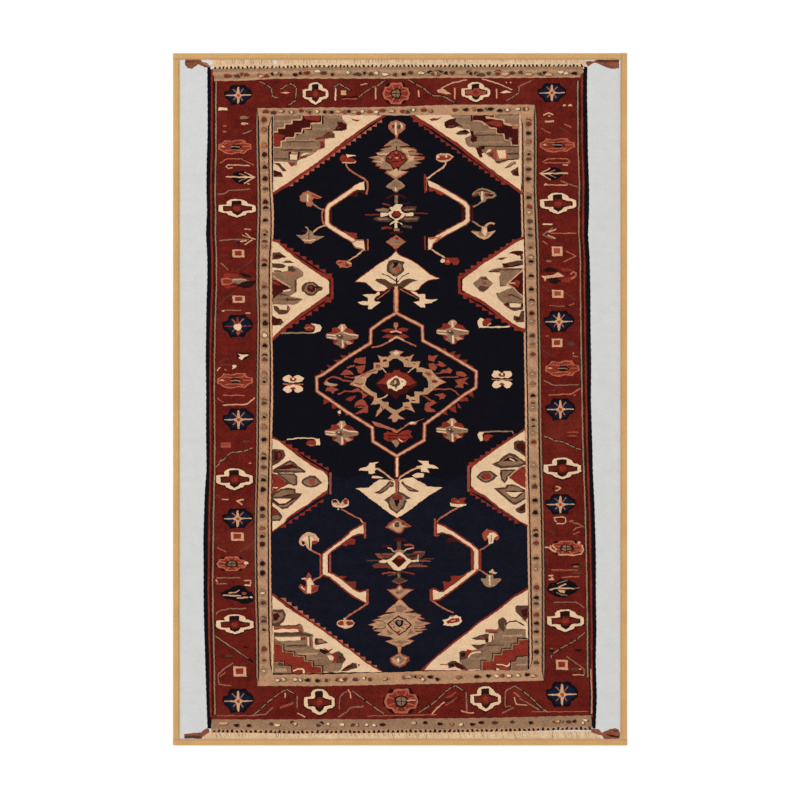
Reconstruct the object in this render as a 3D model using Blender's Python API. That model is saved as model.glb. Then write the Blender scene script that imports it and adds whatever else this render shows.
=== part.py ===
"""Bound area rug, lying flat: three laminated sheets inside four lengths of stitched edge tape.

Frame: metres, +Z up. The origin is on the floor under the middle of the rug, +Y runs along its
length and +X across its width. The printed side faces up.

A rim is described by two distances: "inset" is measured inwards from the rug's outer edge, and
height is measured up from the floor. Both are in millimetres in the tables below, because every
one of them is small, and are turned into metres where they are used.
"""

import math

import bmesh
import bpy
from mathutils import Vector

MM = 0.001

# Driving dimensions of the whole rug, in metres: the 5 ft 3 in by 8 ft trade size.
WIDTH = 1.600
LENGTH = 2.440

# Edge tape, in millimetres.
TAPE_THICKNESS = 1.1
TAPE_REACH = 23.0  # how far the tape covers the rug, measured from the outer edge
SEAM_INSET = 19.2  # the line of stitches
SEAM_HEIGHT = 8.0  # tape surface where the needle thread pulls it down
SEAM_LIFT = 1.2  # tape underside where the bobbin thread pulls it up

# Outer face of the tape as (inset, height) points. The underside runs flat on the floor but for
# the groove at its seam; the nose is an arc between the two; the top swells to a crown and dips
# at its seam.
TAPE_UNDERSIDE = [
    (TAPE_REACH, 0.0),
    (SEAM_INSET + 1.6, 0.2),
    (SEAM_INSET, SEAM_LIFT),
    (SEAM_INSET - 1.6, 0.2),
    (15.0, 0.0),
]
TAPE_TOP = [
    (4.6, 8.7),
    (7.4, 9.35),
    (10.5, 9.5),
    (14.0, 9.3),
    (17.2, 8.8),
    (SEAM_INSET, SEAM_HEIGHT),
    (SEAM_INSET + 1.8, 8.5),
    (TAPE_REACH, 8.1),
]
NOSE_RADIUS = 4.4  # where the tape turns round the rug's edge
NOSE_START = 270  # degrees: touching the floor
NOSE_STOP = 135  # degrees: on the slope that leads to the crown
NOSE_STEPS = 8
CUT_OVERRUN = 5.0  # how far the cutter for the hollow passes each open side

# Seam threads, in millimetres.
THREAD_DIAMETER = 0.8
THREAD_SIDES = 8
THREAD_END = 6.0  # from the end of a seam to the end of its tape

FIT_GAP = 0.3  # clearance between neighbouring pieces, in millimetres

# Laminated sheets, in millimetres: (underside, top) in the open and under the tape.
GRIP_BACKING = {"open": (0.0, 2.2), "rim": (2.6, 3.3)}
CUSHION_FELT = {"open": (2.5, 4.8), "rim": (3.6, 4.9)}
PRINTED_CLOTH = {"open": (5.1, 8.0), "rim": (5.2, 6.5)}
SHEET_EDGE = 3.0  # inset of the sheets' cut edges, clear of the tape's round nose
RIM_END = 24.0  # inset where the pressed rim ends
OPEN_START = 28.0  # inset where the sheets have their full thickness
CORNERS = [(1, 1), (-1, 1), (-1, -1), (1, -1)]

# Sides of the rug: outward direction, and whether each end of its tape runs through to the rug's
# corner. A tape that doesn't run through butts against the tape that does.
SIDES = {
    "left": {"outward": (-1, 0), "start_through": False, "end_through": False},
    "right": {"outward": (1, 0), "start_through": False, "end_through": True},
    "top": {"outward": (0, 1), "start_through": True, "end_through": False},
    "bottom": {"outward": (0, -1), "start_through": True, "end_through": True},
}

# Finishes: colour, roughness.
OCHRE_TAPE = ((0.55, 0.34, 0.15), 0.85)
OCHRE_THREAD = ((0.50, 0.29, 0.12), 0.6)
PRINTED_PILE = ((0.17, 0.06, 0.05), 0.95)
GREY_FELT = ((0.42, 0.41, 0.40), 1.0)
GREY_RUBBER = ((0.16, 0.16, 0.17), 0.7)


def clear_scene():
    """Removes whatever the file held before."""
    for old in list(bpy.data.objects):
        bpy.data.objects.remove(old, do_unlink=True)


def finish(name, look):
    """Returns a Principled material of this (colour, roughness)."""
    colour, roughness = look
    material = bpy.data.materials.new(name)
    material.use_nodes = True
    shader = material.node_tree.nodes["Principled BSDF"]
    shader.inputs["Base Color"].default_value = (*colour, 1.0)
    shader.inputs["Roughness"].default_value = roughness
    shader.inputs["Metallic"].default_value = 0.0
    return material


def object_from(name, form, material):
    """Links a new object holding the closed bmesh, with its faces turned outwards."""
    bmesh.ops.recalc_face_normals(form, faces=form.faces)
    mesh = bpy.data.meshes.new(name)
    form.to_mesh(mesh)
    form.free()
    piece = bpy.data.objects.new(name, mesh)
    piece.data.materials.append(material)
    bpy.context.scene.collection.objects.link(piece)
    return piece


def skin_rings(form, rings):
    """Joins rings of equally many points into one closed skin, with a face over each end ring."""
    loops = [[form.verts.new(point) for point in ring] for ring in rings]
    count = len(loops[0])
    for lower, upper in zip(loops, loops[1:]):
        for i in range(count):
            j = (i + 1) % count
            form.faces.new((lower[i], lower[j], upper[j], upper[i]))
    form.faces.new(loops[0])
    form.faces.new(loops[-1])


def sheet(name, heights, material):
    """A full-size sheet whose rim is pressed thinner where the tape holds it.

    Its section is followed as rectangles: out along the underside, then back along the top.
    """
    low, high = heights["open"]
    rim_low, rim_high = heights["rim"]
    section = [
        (OPEN_START, low),
        (RIM_END, rim_low),
        (SHEET_EDGE, rim_low),
        (SHEET_EDGE, rim_high),
        (RIM_END, rim_high),
        (OPEN_START, high),
    ]
    rings = []
    for inset, height in section:
        x = WIDTH / 2 - inset * MM
        y = LENGTH / 2 - inset * MM
        rings.append([Vector((sx * x, sy * y, height * MM)) for sx, sy in CORNERS])
    form = bmesh.new()
    skin_rings(form, rings)
    return object_from(name, form, material)


def arc(centre, radius, start, stop, steps):
    """Points (inset, height) on an arc from start to stop, in degrees, both ends included."""
    angles = [math.radians(start + (stop - start) * k / steps) for k in range(steps + 1)]
    return [(centre[0] + radius * math.cos(a), centre[1] + radius * math.sin(a)) for a in angles]


def tape_contours():
    """The tape's outer and inner contours as (inset, height) points, from the underside's inner
    edge round the nose to the top's inner edge. Both have the same number of points."""
    nose_centre = (NOSE_RADIUS, NOSE_RADIUS)
    nose = arc(nose_centre, NOSE_RADIUS, NOSE_START, NOSE_STOP, NOSE_STEPS)
    outer = TAPE_UNDERSIDE + nose + TAPE_TOP
    inner = []
    for i, (inset, height) in enumerate(outer):
        before = Vector(outer[max(i - 1, 0)])
        after = Vector(outer[min(i + 1, len(outer) - 1)])
        along = (after - before).normalized()
        inward = Vector((along.y, -along.x))
        inner.append((inset + inward.x * TAPE_THICKNESS, height + inward.y * TAPE_THICKNESS))
    return outer, inner


def edge_frame(side):
    """Maps (distance along the edge, inset, height), in metres, to a point beside this edge.

    The distance along starts at the corner on the left or at the bottom of the rug.
    """
    ox, oy = SIDES[side]["outward"]
    outward = Vector((ox, oy, 0))
    along = Vector((abs(oy), abs(ox), 0))
    reach = WIDTH / 2 if ox else LENGTH / 2
    half = edge_length(side) / 2

    def place(distance, inset, height):
        return along * (distance - half) + outward * (reach - inset) + Vector((0, 0, height))

    return place


def edge_length(side):
    """The rug's full size along this side."""
    return LENGTH if SIDES[side]["outward"][0] else WIDTH


def tape_span(side):
    """Where the tape starts and stops along its edge: at the corner, or short of the other tape."""
    short = (TAPE_REACH + FIT_GAP) * MM
    start = 0.0 if SIDES[side]["start_through"] else short
    stop = edge_length(side) - (0.0 if SIDES[side]["end_through"] else short)
    return start, stop


def extrusion(name, side, contour, start, stop, material):
    """A closed section carried straight along one edge of the rug."""
    place = edge_frame(side)
    form = bmesh.new()
    skin_rings(form, [[place(at, s * MM, h * MM) for s, h in contour] for at in (start, stop)])
    return object_from(name, form, material)


def edge_tape(side, material):
    """One length of tape folded round the edge. Where it runs through to a corner its end is tucked
    in, which closes the fold there with a wall as thick as the tape."""
    outer, inner = tape_contours()
    start, stop = tape_span(side)
    tape = extrusion(f"edge_tape_{side}", side, outer, start, stop, material)
    past = TAPE_REACH + CUT_OVERRUN
    hollow = [(past, inner[0][1]), *inner, (past, inner[-1][1])]
    end_wall = TAPE_THICKNESS * MM
    overrun = CUT_OVERRUN * MM
    cut_start = start + end_wall if SIDES[side]["start_through"] else start - overrun
    cut_stop = stop - end_wall if SIDES[side]["end_through"] else stop + overrun
    cutter = extrusion(f"hollow_{side}", side, hollow, cut_start, cut_stop, material)
    cutter.hide_render = True
    cutter.display_type = "WIRE"
    cut = tape.modifiers.new("hollow", "BOOLEAN")
    cut.operation = "DIFFERENCE"
    cut.solver = "EXACT"
    cut.object = cutter
    return tape


def seam_thread(name, side, height, material):
    """A straight run of thread along a seam, with a round section, at this height."""
    radius = THREAD_DIAMETER / 2
    start, stop = tape_span(side)
    section = arc((SEAM_INSET, height), radius, 0, 360 - 360 / THREAD_SIDES, THREAD_SIDES - 1)
    thread = extrusion(name, side, section, start + THREAD_END * MM, stop - THREAD_END * MM, material)
    thread.data.shade_smooth()
    thread.data.set_sharp_from_angle(angle=math.radians(60))
    return thread


def build():
    """Makes every piece of the rug."""
    clear_scene()
    tape_finish = finish("ochre_tape", OCHRE_TAPE)
    thread_finish = finish("ochre_thread", OCHRE_THREAD)
    sheet("grip_backing", GRIP_BACKING, finish("grey_rubber", GREY_RUBBER))
    sheet("cushion_felt", CUSHION_FELT, finish("grey_felt", GREY_FELT))
    sheet("printed_cloth", PRINTED_CLOTH, finish("printed_pile", PRINTED_PILE))
    stand_off = FIT_GAP + THREAD_DIAMETER / 2
    for side in SIDES:
        edge_tape(side, tape_finish)
        seam_thread(f"needle_thread_{side}", side, SEAM_HEIGHT + stand_off, thread_finish)
        seam_thread(f"bobbin_thread_{side}", side, SEAM_LIFT - stand_off, thread_finish)


build()
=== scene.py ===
"""Looks of the bound area rug: printed pile cloth, edge tape, seam threads, felt and grip backing.

The rug lies flat, printed side up. Lengths are in metres, but the artwork is laid out in
centimetres and the profiles of tape and thread in millimetres, because that is how a maker reads
them. Each is turned into metres in one place.
"""

import logging
import math
from collections.abc import Iterable
from dataclasses import dataclass, field
from enum import Enum

import bpy
import numpy as np
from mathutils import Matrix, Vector
from mathutils.geometry import delaunay_2d_cdt


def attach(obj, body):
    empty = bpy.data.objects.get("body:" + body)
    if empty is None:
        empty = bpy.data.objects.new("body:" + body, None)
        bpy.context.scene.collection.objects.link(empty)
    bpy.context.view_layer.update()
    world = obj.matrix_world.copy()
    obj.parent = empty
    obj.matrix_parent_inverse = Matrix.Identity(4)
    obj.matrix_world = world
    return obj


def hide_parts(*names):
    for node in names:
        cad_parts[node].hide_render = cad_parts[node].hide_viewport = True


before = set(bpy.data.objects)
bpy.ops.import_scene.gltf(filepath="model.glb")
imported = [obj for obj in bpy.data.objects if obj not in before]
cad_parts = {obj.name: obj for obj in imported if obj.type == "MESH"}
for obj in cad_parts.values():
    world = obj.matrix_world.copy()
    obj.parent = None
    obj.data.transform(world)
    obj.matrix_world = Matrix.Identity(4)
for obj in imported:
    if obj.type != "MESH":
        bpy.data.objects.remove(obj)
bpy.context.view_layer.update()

LOG = logging.getLogger("area_rug")
MM = 0.001
CM = 0.01
WELD = 1e-4  # points of the print closer than this, in centimetres, become one
DRIFT_TONE = (150, 74, 52)
CLOTH_MAP = "cloth"
INK_LAYER = "ink"


# ---------------------------------------------------------------------------------------------
# Colours
# ---------------------------------------------------------------------------------------------


def linear(srgb: Iterable[float]) -> tuple[float, float, float]:
    """Turns a display colour of three 0-255 numbers into scene-linear light.

    Args:
        srgb: red, green and blue as they look on a screen.

    Returns:
        The same colour, each part undone from the display curve: a straight foot, then a 2.4 power.
    """
    parts = np.asarray(tuple(srgb), dtype=float) / 255.0
    foot = parts / 12.92
    curve = ((parts + 0.055) / 1.055) ** 2.4
    return tuple(float(v) for v in np.where(parts <= 0.04045, foot, curve))


class Ink(Enum):
    """Inks of the print: display colour, and how much the pile breaks the colour up (0 to 1)."""

    GROUND = (212, 212, 210, 0.12)
    NAVY = (14, 13, 20, 0.6)
    INDIGO = (18, 19, 30, 0.9)
    BLUE = (19, 27, 44, 0.5)
    SOOT = (38, 17, 14, 0.6)
    MAROON = (66, 18, 14, 0.8)
    RED = (98, 27, 20, 1.0)
    BRICK = (131, 45, 33, 0.8)
    RUST = (150, 69, 51, 0.6)
    COPPER = (136, 79, 58, 0.8)
    ROSE = (172, 96, 70, 0.7)
    UMBER = (84, 56, 43, 0.8)
    TAUPE = (135, 103, 79, 0.7)
    SAND = (152, 118, 90, 0.6)
    BEIGE = (181, 137, 103, 0.6)
    TAN = (205, 155, 118, 0.5)
    CREAM = (227, 192, 153, 0.35)
    FRINGE = (221, 186, 149, 0.45)
    CHALK = (216, 214, 208, 0.3)
    BACK = (196, 190, 180, 0.2)


# ---------------------------------------------------------------------------------------------
# Drawing with outlines
# ---------------------------------------------------------------------------------------------


def path_of(numbers: Iterable[float]) -> np.ndarray:
    """Pairs x, y, x, y numbers up into an array of points, one row each."""
    return np.asarray(tuple(numbers), dtype=float).reshape(-1, 2)


def stroke(path: np.ndarray, width: float) -> np.ndarray:
    """Gives a line a width.

    Each point is pushed half the width to its left and to its right, along the mean of the
    normals of the two pieces that meet there, stretched so that both pieces keep their width.

    Args:
        path: the points along the middle of the line.
        width: how wide the line is.

    Returns:
        The outline round the line, as points.
    """
    steps = np.diff(path, axis=0)
    steps = steps / np.maximum(np.linalg.norm(steps, axis=1, keepdims=True), 1e-9)
    normals = np.column_stack([-steps[:, 1], steps[:, 0]])
    before = np.vstack([normals[:1], normals])
    after = np.vstack([normals, normals[-1:]])
    joint = before + after
    joint = joint / np.maximum((joint * joint).sum(axis=1, keepdims=True), 0.8) * 2.0
    left = path + joint * width / 2
    right = path - joint * width / 2
    return np.vstack([left, right[::-1]])


def subdivide(outline: np.ndarray, longest: float) -> np.ndarray:
    """Adds points to a closed outline, so that no piece of it is longer than asked.

    Each piece is cut into equal parts: a point is the piece's start plus its share of the piece.

    Args:
        outline: the closed outline's corners.
        longest: the longest piece wanted.

    Returns:
        The outline with its corners kept and points between them.
    """
    ends = np.roll(outline, -1, axis=0)
    counts = np.maximum(np.ceil(np.linalg.norm(ends - outline, axis=1) / longest), 1).astype(int)
    which = np.repeat(np.arange(len(outline)), counts)
    first = np.repeat(np.cumsum(counts) - counts, counts)
    share = (np.arange(counts.sum()) - first) / counts[which]
    return outline[which] + (ends - outline)[which] * share[:, None]


def inside(points: np.ndarray, outline: np.ndarray) -> np.ndarray:
    """Says which points lie inside a closed outline.

    Counts how often the outline goes round each point: +1 for each piece that crosses the point's
    level upwards on its right, -1 for each that crosses it downwards. Not zero means inside.

    Args:
        points: the points to test, one row each.
        outline: the closed outline's corners.

    Returns:
        One true or false for each point.
    """
    x, y = points[:, 0][:, None], points[:, 1][:, None]
    ax, ay = outline[:, 0][None], outline[:, 1][None]
    bx, by = np.roll(outline[:, 0], -1)[None], np.roll(outline[:, 1], -1)[None]
    side = (bx - ax) * (y - ay) - (x - ax) * (by - ay)
    up = (ay <= y) & (by > y) & (side > 0)
    down = (ay > y) & (by <= y) & (side < 0)
    return up.sum(axis=1) != down.sum(axis=1)


@dataclass
class Artwork:
    """The print, as a pile of inked outlines in centimetres: a later one covers an earlier one."""

    waver: float = 0.07
    finest: float = 1.1
    patches: list[tuple[Ink, np.ndarray]] = field(default_factory=list)

    def fill(self, ink: Ink, *xy: float) -> None:
        """Inks a closed outline given as x, y, x, y numbers."""
        self.shape(ink, path_of(xy))

    def line(self, ink: Ink, width: float, *xy: float) -> None:
        """Inks an open line of this width through x, y, x, y numbers."""
        self.shape(ink, stroke(path_of(xy), width))

    def box(self, ink: Ink, left: float, low: float, right: float, high: float) -> None:
        """Inks an upright rectangle."""
        self.fill(ink, left, low, right, low, right, high, left, high)

    def spot(self, ink: Ink, x: float, y: float, rx: float, ry: float, turn: float = 0.0) -> None:
        """Inks a knotted spot: an oval of ten points whose radius swells and shrinks a little.

        Args:
            ink: the spot's ink.
            x: across to its centre.
            y: up to its centre.
            rx: half its width.
            ry: half its height.
            turn: where its bumps start, in radians.
        """
        angle = np.linspace(0, 2 * math.pi, 10, endpoint=False) + 0.2
        swell = 1 + 0.10 * np.sin(3 * angle + turn + x) + 0.06 * np.sin(5 * angle + y)
        ring = np.column_stack([x + rx * swell * np.cos(angle), y + ry * swell * np.sin(angle)])
        self.shape(ink, ring)

    def shape(self, ink: Ink, outline: np.ndarray) -> None:
        """Adds an outline, with the slight waver of a hand-knotted edge.

        Both coordinates are moved by a sum of sines of the place itself, so outlines that share
        points still share them afterwards.
        """
        points = subdivide(outline, self.finest)
        x, y = points[:, 0], points[:, 1]
        dx = np.sin(3.7 * y + 1.3 * x) + 0.7 * np.sin(6.1 * y - 2.9 * x + 1.0)
        dy = np.sin(4.3 * x - 1.1 * y + 2.0) + 0.7 * np.sin(7.3 * x + 2.3 * y)
        self.patches.append((ink, points + self.waver * np.column_stack([dx, dy])))

    def inks_at(self, points: np.ndarray) -> np.ndarray:
        """Which ink each point has: the last patch that holds the point, as a place in Ink.

        Args:
            points: places on the print, in centimetres.

        Returns:
            One number for each point.
        """
        order = list(Ink)
        found = np.zeros(len(points), dtype=int)
        for ink, outline in self.patches:
            low, high = outline.min(axis=0), outline.max(axis=0)
            near = np.flatnonzero(((points >= low) & (points <= high)).all(axis=1))
            if len(near):
                hit = inside(points[near], outline)
                found[near[hit]] = order.index(ink)
        return found


# ---------------------------------------------------------------------------------------------
# Motifs that the borders repeat
# ---------------------------------------------------------------------------------------------

CROSS_EDGE = (-1, .35, -.55, .42, -.57, .68, -.45, .87, -.25, 1, .2, 1, .5, .77, .6, .5, .8, .42,
              .98, .27, 1, -.27, .84, -.45, .5, -.53, .45, -.72, .2, -.87, 0, -1, -.27, -.85,
              -.45, -.74, -.55, -.55, -.8, -.48, -1, -.3)
CROSS_HEART = (-.78, .24, -.3, .29, -.3, .8, 0, .87, .23, .84, .23, .37, .55, .24, .8, .18, .8,
               -.21,
               .32, -.34, .18, -.63, 0, -.8, -.25, -.55, -.28, -.34, -.75, -.32)
STAR_EDGE = (-1, .35, -.68, .45, -.6, .8, -.45, 1, 0, .95, .5, 1, .6, .75, .9, .5, 1, .15, .93, -.2,
             .6, -.55, .42, -.95, 0, -.9, -.5, -1, -.62, -.6, -.9, -.3, -1, 0)
FLOWER_EDGE = (-1, -.3, -.98, .3, -.78, .5, -.62, .95, -.2, .78, .1, .98, .55, .98, .7, .5, .97, .4,
               1, -.25, .75, -.45, .55, -.92, .2, -.78, -.2, -1, -.6, -.85, -.8, -.5)
LEAF_EDGE = (-.6, .1, -.45, .6, -.2, .85, .15, .9, .45, .75, .7, .3, 1, -.03, .65, -.35, .25, -1,
             -.1, -1, -.4, -.65, -.57, -.25)


@dataclass
class Motifs:
    """Rosettes, flowers and leaves, each drawn round its centre to its half width and height."""

    art: Artwork

    def placed(self, x: float, y: float, rx: float, ry: float, form: Iterable[float]) -> np.ndarray:
        """Stretches a form drawn in a square of half size one, and moves it to its place."""
        return path_of(form) * (rx, ry) + (x, y)

    def put(self, ink: Ink, x: float, y: float, rx: float, ry: float, *form: float) -> None:
        """Inks a stretched form."""
        self.art.shape(ink, self.placed(x, y, rx, ry, form))

    def ray(self, ink: Ink, wide: float, x: float, y: float, rx: float, ry: float,
            *form: float) -> None:
        """Inks a stretched line of this width."""
        self.art.shape(ink, stroke(self.placed(x, y, rx, ry, form), wide))

    def cross(self, x: float, y: float, rx: float, ry: float, heart: Ink = Ink.RED) -> None:
        """A cream four-lobed rosette round a dark cross, with a red heart."""
        self.put(Ink.SOOT, x, y - 0.15, rx * 1.06, ry * 1.1, *CROSS_EDGE)
        self.put(Ink.CREAM, x, y, rx, ry, *CROSS_EDGE)
        self.put(Ink.SOOT, x, y, rx, ry, *CROSS_HEART)
        self.put(heart, x, y, rx, ry, -.74, .18, -.24, .22, -.14, .4, .2, .38, .26, .18, .74, .12,
                 .72, -.16,
                 .24, -.24, .1, -.46, -.14, -.42, -.24, -.24, -.7, -.24)
        self.art.spot(Ink.BRICK, x, y - 0.1, rx * 0.2, ry * 0.26)

    def star(self, x: float, y: float, rx: float, ry: float, tone: Ink = Ink.TAN) -> None:
        """A navy rosette: a four-rayed star in this tone over thin rose rays that lean."""
        self.put(Ink.SOOT, x, y, rx * 1.05, ry * 1.06, *STAR_EDGE)
        self.put(Ink.NAVY, x, y, rx, ry, *STAR_EDGE)
        self.put(Ink.BLUE, x, y, rx * 0.85, ry * 0.8, *STAR_EDGE)
        for form in ((-.4, .62, .05, 0, .32, -.55), (.38, .66, 0, 0, -.36, -.5)):
            self.ray(Ink.ROSE, 0.34, x, y, rx, ry, *form)
        self.put(tone, x, y, rx, ry, -.94, 0, -.3, .05, -.13, .17, -.06, .84, .04, .84, .1, .17, .3,
                 .06,
                 .94, .06, .92, -.03, .3, -.07, .12, -.2, .04, -.88, -.06, -.86, -.12, -.2, -.35,
                 -.08,
                 -.92, -.07)
        self.art.spot(Ink.RUST, x, y - 0.1, rx * 0.13, ry * 0.16)

    def flower(self, x: float, y: float, rx: float, ry: float, eye: Ink = Ink.NAVY) -> None:
        """A brick-red flower edged in rose, with a split dark eye."""
        self.put(Ink.ROSE, x, y, rx, ry, *FLOWER_EDGE)
        self.put(Ink.BRICK, x, y, rx * 0.9, ry * 0.84, *FLOWER_EDGE)
        for form in ((-.55, .5, -.1, .34, .5, .55), (-.6, -.5, 0, -.38, .5, -.5),
                     (-.9, .05, -.55, .0),
                     (.45, .05, .9, .1), (-.5, .75, -.62, .3), (.45, .8, .62, .35),
                     (.3, -.8, .5, -.4)):
            self.ray(Ink.ROSE, 0.3, x, y, rx, ry, *form)
        self.put(eye, x, y, rx, ry, -.34, .02, -.1, .38, .2, .34, .42, 0, .12, -.36, -.14, -.3)
        self.ray(Ink.SAND, 0.36, x, y, rx, ry, -.28, .02, .02, .06, .3, -.02)
        self.put(Ink.TAN, x, y, rx, ry, -.86, .1, -.7, .2, -.6, .04, -.72, -.06)

    def leaf(self, x: float, y: float, rx: float, ry: float) -> None:
        """A navy leaf with a pale spine and two chevrons; it points left if rx is below zero."""
        self.put(Ink.NAVY, x, y, rx, ry, *LEAF_EDGE)
        self.ray(Ink.TAN, 0.5, x, y, rx, ry, -.97, .03, -.5, .02, .98, -.02)
        self.ray(Ink.TAN, 0.42, x, y, rx, ry, .28, .74, .97, 0, .24, -.98)
        self.ray(Ink.ROSE, 0.42, x, y, rx, ry, -.08, .5, .55, 0, -.12, -.66)
        self.put(Ink.CREAM, x, y, rx, ry, .35, .1, 1, 0, .4, -.14, .1, -.02)

    def frame(self, x: float, y: float, rx: float, ry: float, pad: Ink = Ink.BRICK) -> None:
        """A cream square round a brick-red pad."""
        self.put(Ink.TAN, x, y, rx, ry, -1, 1, 1, .9, 1, -.85, 1.1, -1, -.95, -1)
        self.put(pad, x, y, rx, ry, -.62, .6, .58, .62, .55, -.5, -.55, -.55)

    def rosette(self, x: float, y: float, rx: float, ry: float) -> None:
        """A ring of rose petals round a mottled centre."""
        self.put(Ink.SOOT, x, y, rx * 1.06, ry * 1.06, *FLOWER_EDGE)
        self.put(Ink.ROSE, x, y, rx, ry, -1, 0, -.8, .6, -.5, .65, -.4, .95, .4, 1, .5, .6, .85, .5,
                 1, 0,
                 .85, -.55, .5, -.6, .35, -.95, -.35, -.95, -.55, -.6, -.85, -.5)
        self.put(Ink.BRICK, x, y, rx * .86, ry * .84, -1, 0, -.8, .6, -.5, .65, -.4, .95, .4, 1, .5,
                 .6,
                 .85, .5, 1, 0, .85, -.55, .5, -.6, .35, -.95, -.35, -.95, -.55, -.6, -.85, -.5)
        angle = np.linspace(0, 2 * math.pi, 8, endpoint=False) + 0.4
        for a in angle:
            self.ray(Ink.ROSE, 0.35, x, y, rx, ry, .4 * math.cos(a), .4 * math.sin(a),
                     .88 * math.cos(a), .88 * math.sin(a))
        self.art.spot(Ink.SOOT, x, y, rx * 0.42, ry * 0.5)
        self.art.spot(Ink.TAUPE, x, y, rx * 0.3, ry * 0.36)
        self.ray(Ink.SOOT, 0.3, x, y, rx, ry, -.3, 0, .3, 0)
        self.ray(Ink.SOOT, 0.3, x, y, rx, ry, 0, -.35, 0, .35)


# ---------------------------------------------------------------------------------------------
# Ground, selvedges, borders and guards
# ---------------------------------------------------------------------------------------------

# Stations down the rug where the side stripes are measured, top to bottom, in centimetres.
STATIONS = (117, 104, 88, 75, 66, 58, 50, 40, 28, 15, 0, -12, -25, -38, -50, -66, -80, -92, -104,
            -117)


@dataclass(frozen=True)
class SideLines:
    """How the stripes of one side of the print wander, as distances across at the stations."""

    sign: int
    selvedge: tuple[float, ...]
    taupe: tuple[float, ...]
    rail: tuple[float, ...]
    field: tuple[float, ...]

    def at(self, line: tuple[float, ...], y: np.ndarray | float) -> np.ndarray:
        """Where a stripe is at this height, between stations in straight steps."""
        return np.interp(y, STATIONS[::-1], line[::-1])


LEFT = SideLines(
    -1,
    (-68.0, -67.8, -68.0, -68.35, -68.05, -68.4, -68.0, -68.0, -68.4, -68.45, -68.4, -68.35, -68.3,
     -69.1, -69.3, -69.3, -69.05, -68.75, -68.3, -67.8),
    (-64.8, -64.9, -64.85, -65.2, -65.0, -65.1, -64.7, -64.7, -65.15, -65.4, -65.45, -65.3, -65.35,
     -65.7, -65.85, -66.05, -65.85, -65.5, -65.35, -65.1),
    (-50.5, -50.5, -50.3, -49.95, -49.85, -50.15, -50.3, -50.35, -50.0, -50.2, -50.35, -50.4,
     -50.55,
     -50.95, -51.05, -50.9, -50.5, -50.4, -50.3, -50.3),
    (-45.3, -45.3, -45.3, -45.05, -44.4, -44.5, -45.0, -45.1, -45.1, -44.75, -44.75, -45.0, -45.3,
     -45.5, -45.45, -45.4, -45.2, -44.7, -44.7, -44.7),
)
RIGHT = SideLines(
    1,
    (66.0, 65.9, 66.2, 66.65, 66.55, 66.3, 66.85, 67.0, 67.15, 67.3, 67.3, 67.6, 67.9, 68.6, 68.9,
     69.05, 69.15, 69.0, 69.3, 68.9),
    (62.6, 62.6, 62.7, 63.2, 62.95, 63.0, 63.5, 63.5, 63.65, 63.85, 64.1, 64.3, 64.7, 65.2, 65.5,
     65.8,
     66.0, 66.05, 66.1, 66.1),
    (47.75, 47.75, 47.9, 47.75, 48.1, 48.4, 48.7, 48.8, 49.0, 49.3, 49.4, 49.5, 49.8, 50.2, 50.45,
     50.6, 50.65, 50.6, 50.6, 50.6),
    (42.1, 42.1, 42.2, 42.3, 42.55, 42.7, 43.0, 43.1, 43.5, 43.6, 43.9, 44.05, 44.2, 44.6, 44.8,
     45.1,
     45.4, 45.6, 45.6, 45.6),
)

# Level edges across the print, as (across, up) points in centimetres.
TEETH_TOP = (-66, 116.3, -55, 116.5, -45, 116.6, -30, 116.9, -10, 117.0, 5, 117.1, 20, 117.0, 36,
             117.1,
             50, 117.2, 64.6, 117.1)
BORDER_TOP = (-65.5, 112.1, -55, 112.25, -50, 112.6, -45, 112.9, -36, 113, 0, 113, 15, 113.3, 36,
              113.2,
              50, 113.3, 63.5, 113.4)
GUARD_TOP = (-50.3, 102.6, -40, 102.6, -30, 102.8, -15, 102.8, -5, 103, 5, 103.3, 12, 103.6, 20,
             103.8,
             35, 103.8, 47.4, 103.8)
FIELD_TOP = (-45.3, 99.8, -30, 99.7, -20, 99.6, -8, 100, 10, 100.1, 25, 100.2, 42.1, 100.5)
FIELD_FOOT = (-44.7, -97.1, -38, -97, -25, -96.9, -18, -96.7, -12, -96.4, 0, -96.2, 5, -95.9, 20,
              -95.7,
              38, -95.5, 45.6, -95.2)
GUARD_FOOT = (-50.3, -101, -38, -101, -30, -101.1, -20, -100.9, -10, -100.7, 0, -100.4, 10, -100.3,
              20, -100.1, 30, -99.7, 40, -99.4, 50.6, -99.1)
BORDER_FOOT = (-66.4, -112.8, -40, -112.8, -25, -112.7, -5, -112.8, 0, -112.5, 20, -112.4, 35,
               -112.2,
               42, -112, 50, -111.8, 60, -111.5, 67.3, -111.3)
TEETH_FOOT = (-66.6, -116.2, -55, -116.3, -45, -116.5, -38, -116.6, -25, -116.5, -10, -116.4, 0,
              -116.3,
              15, -116.2, 30, -116, 40, -115.8, 50, -115.6, 60, -115.3, 67.6, -115.4)

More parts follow.
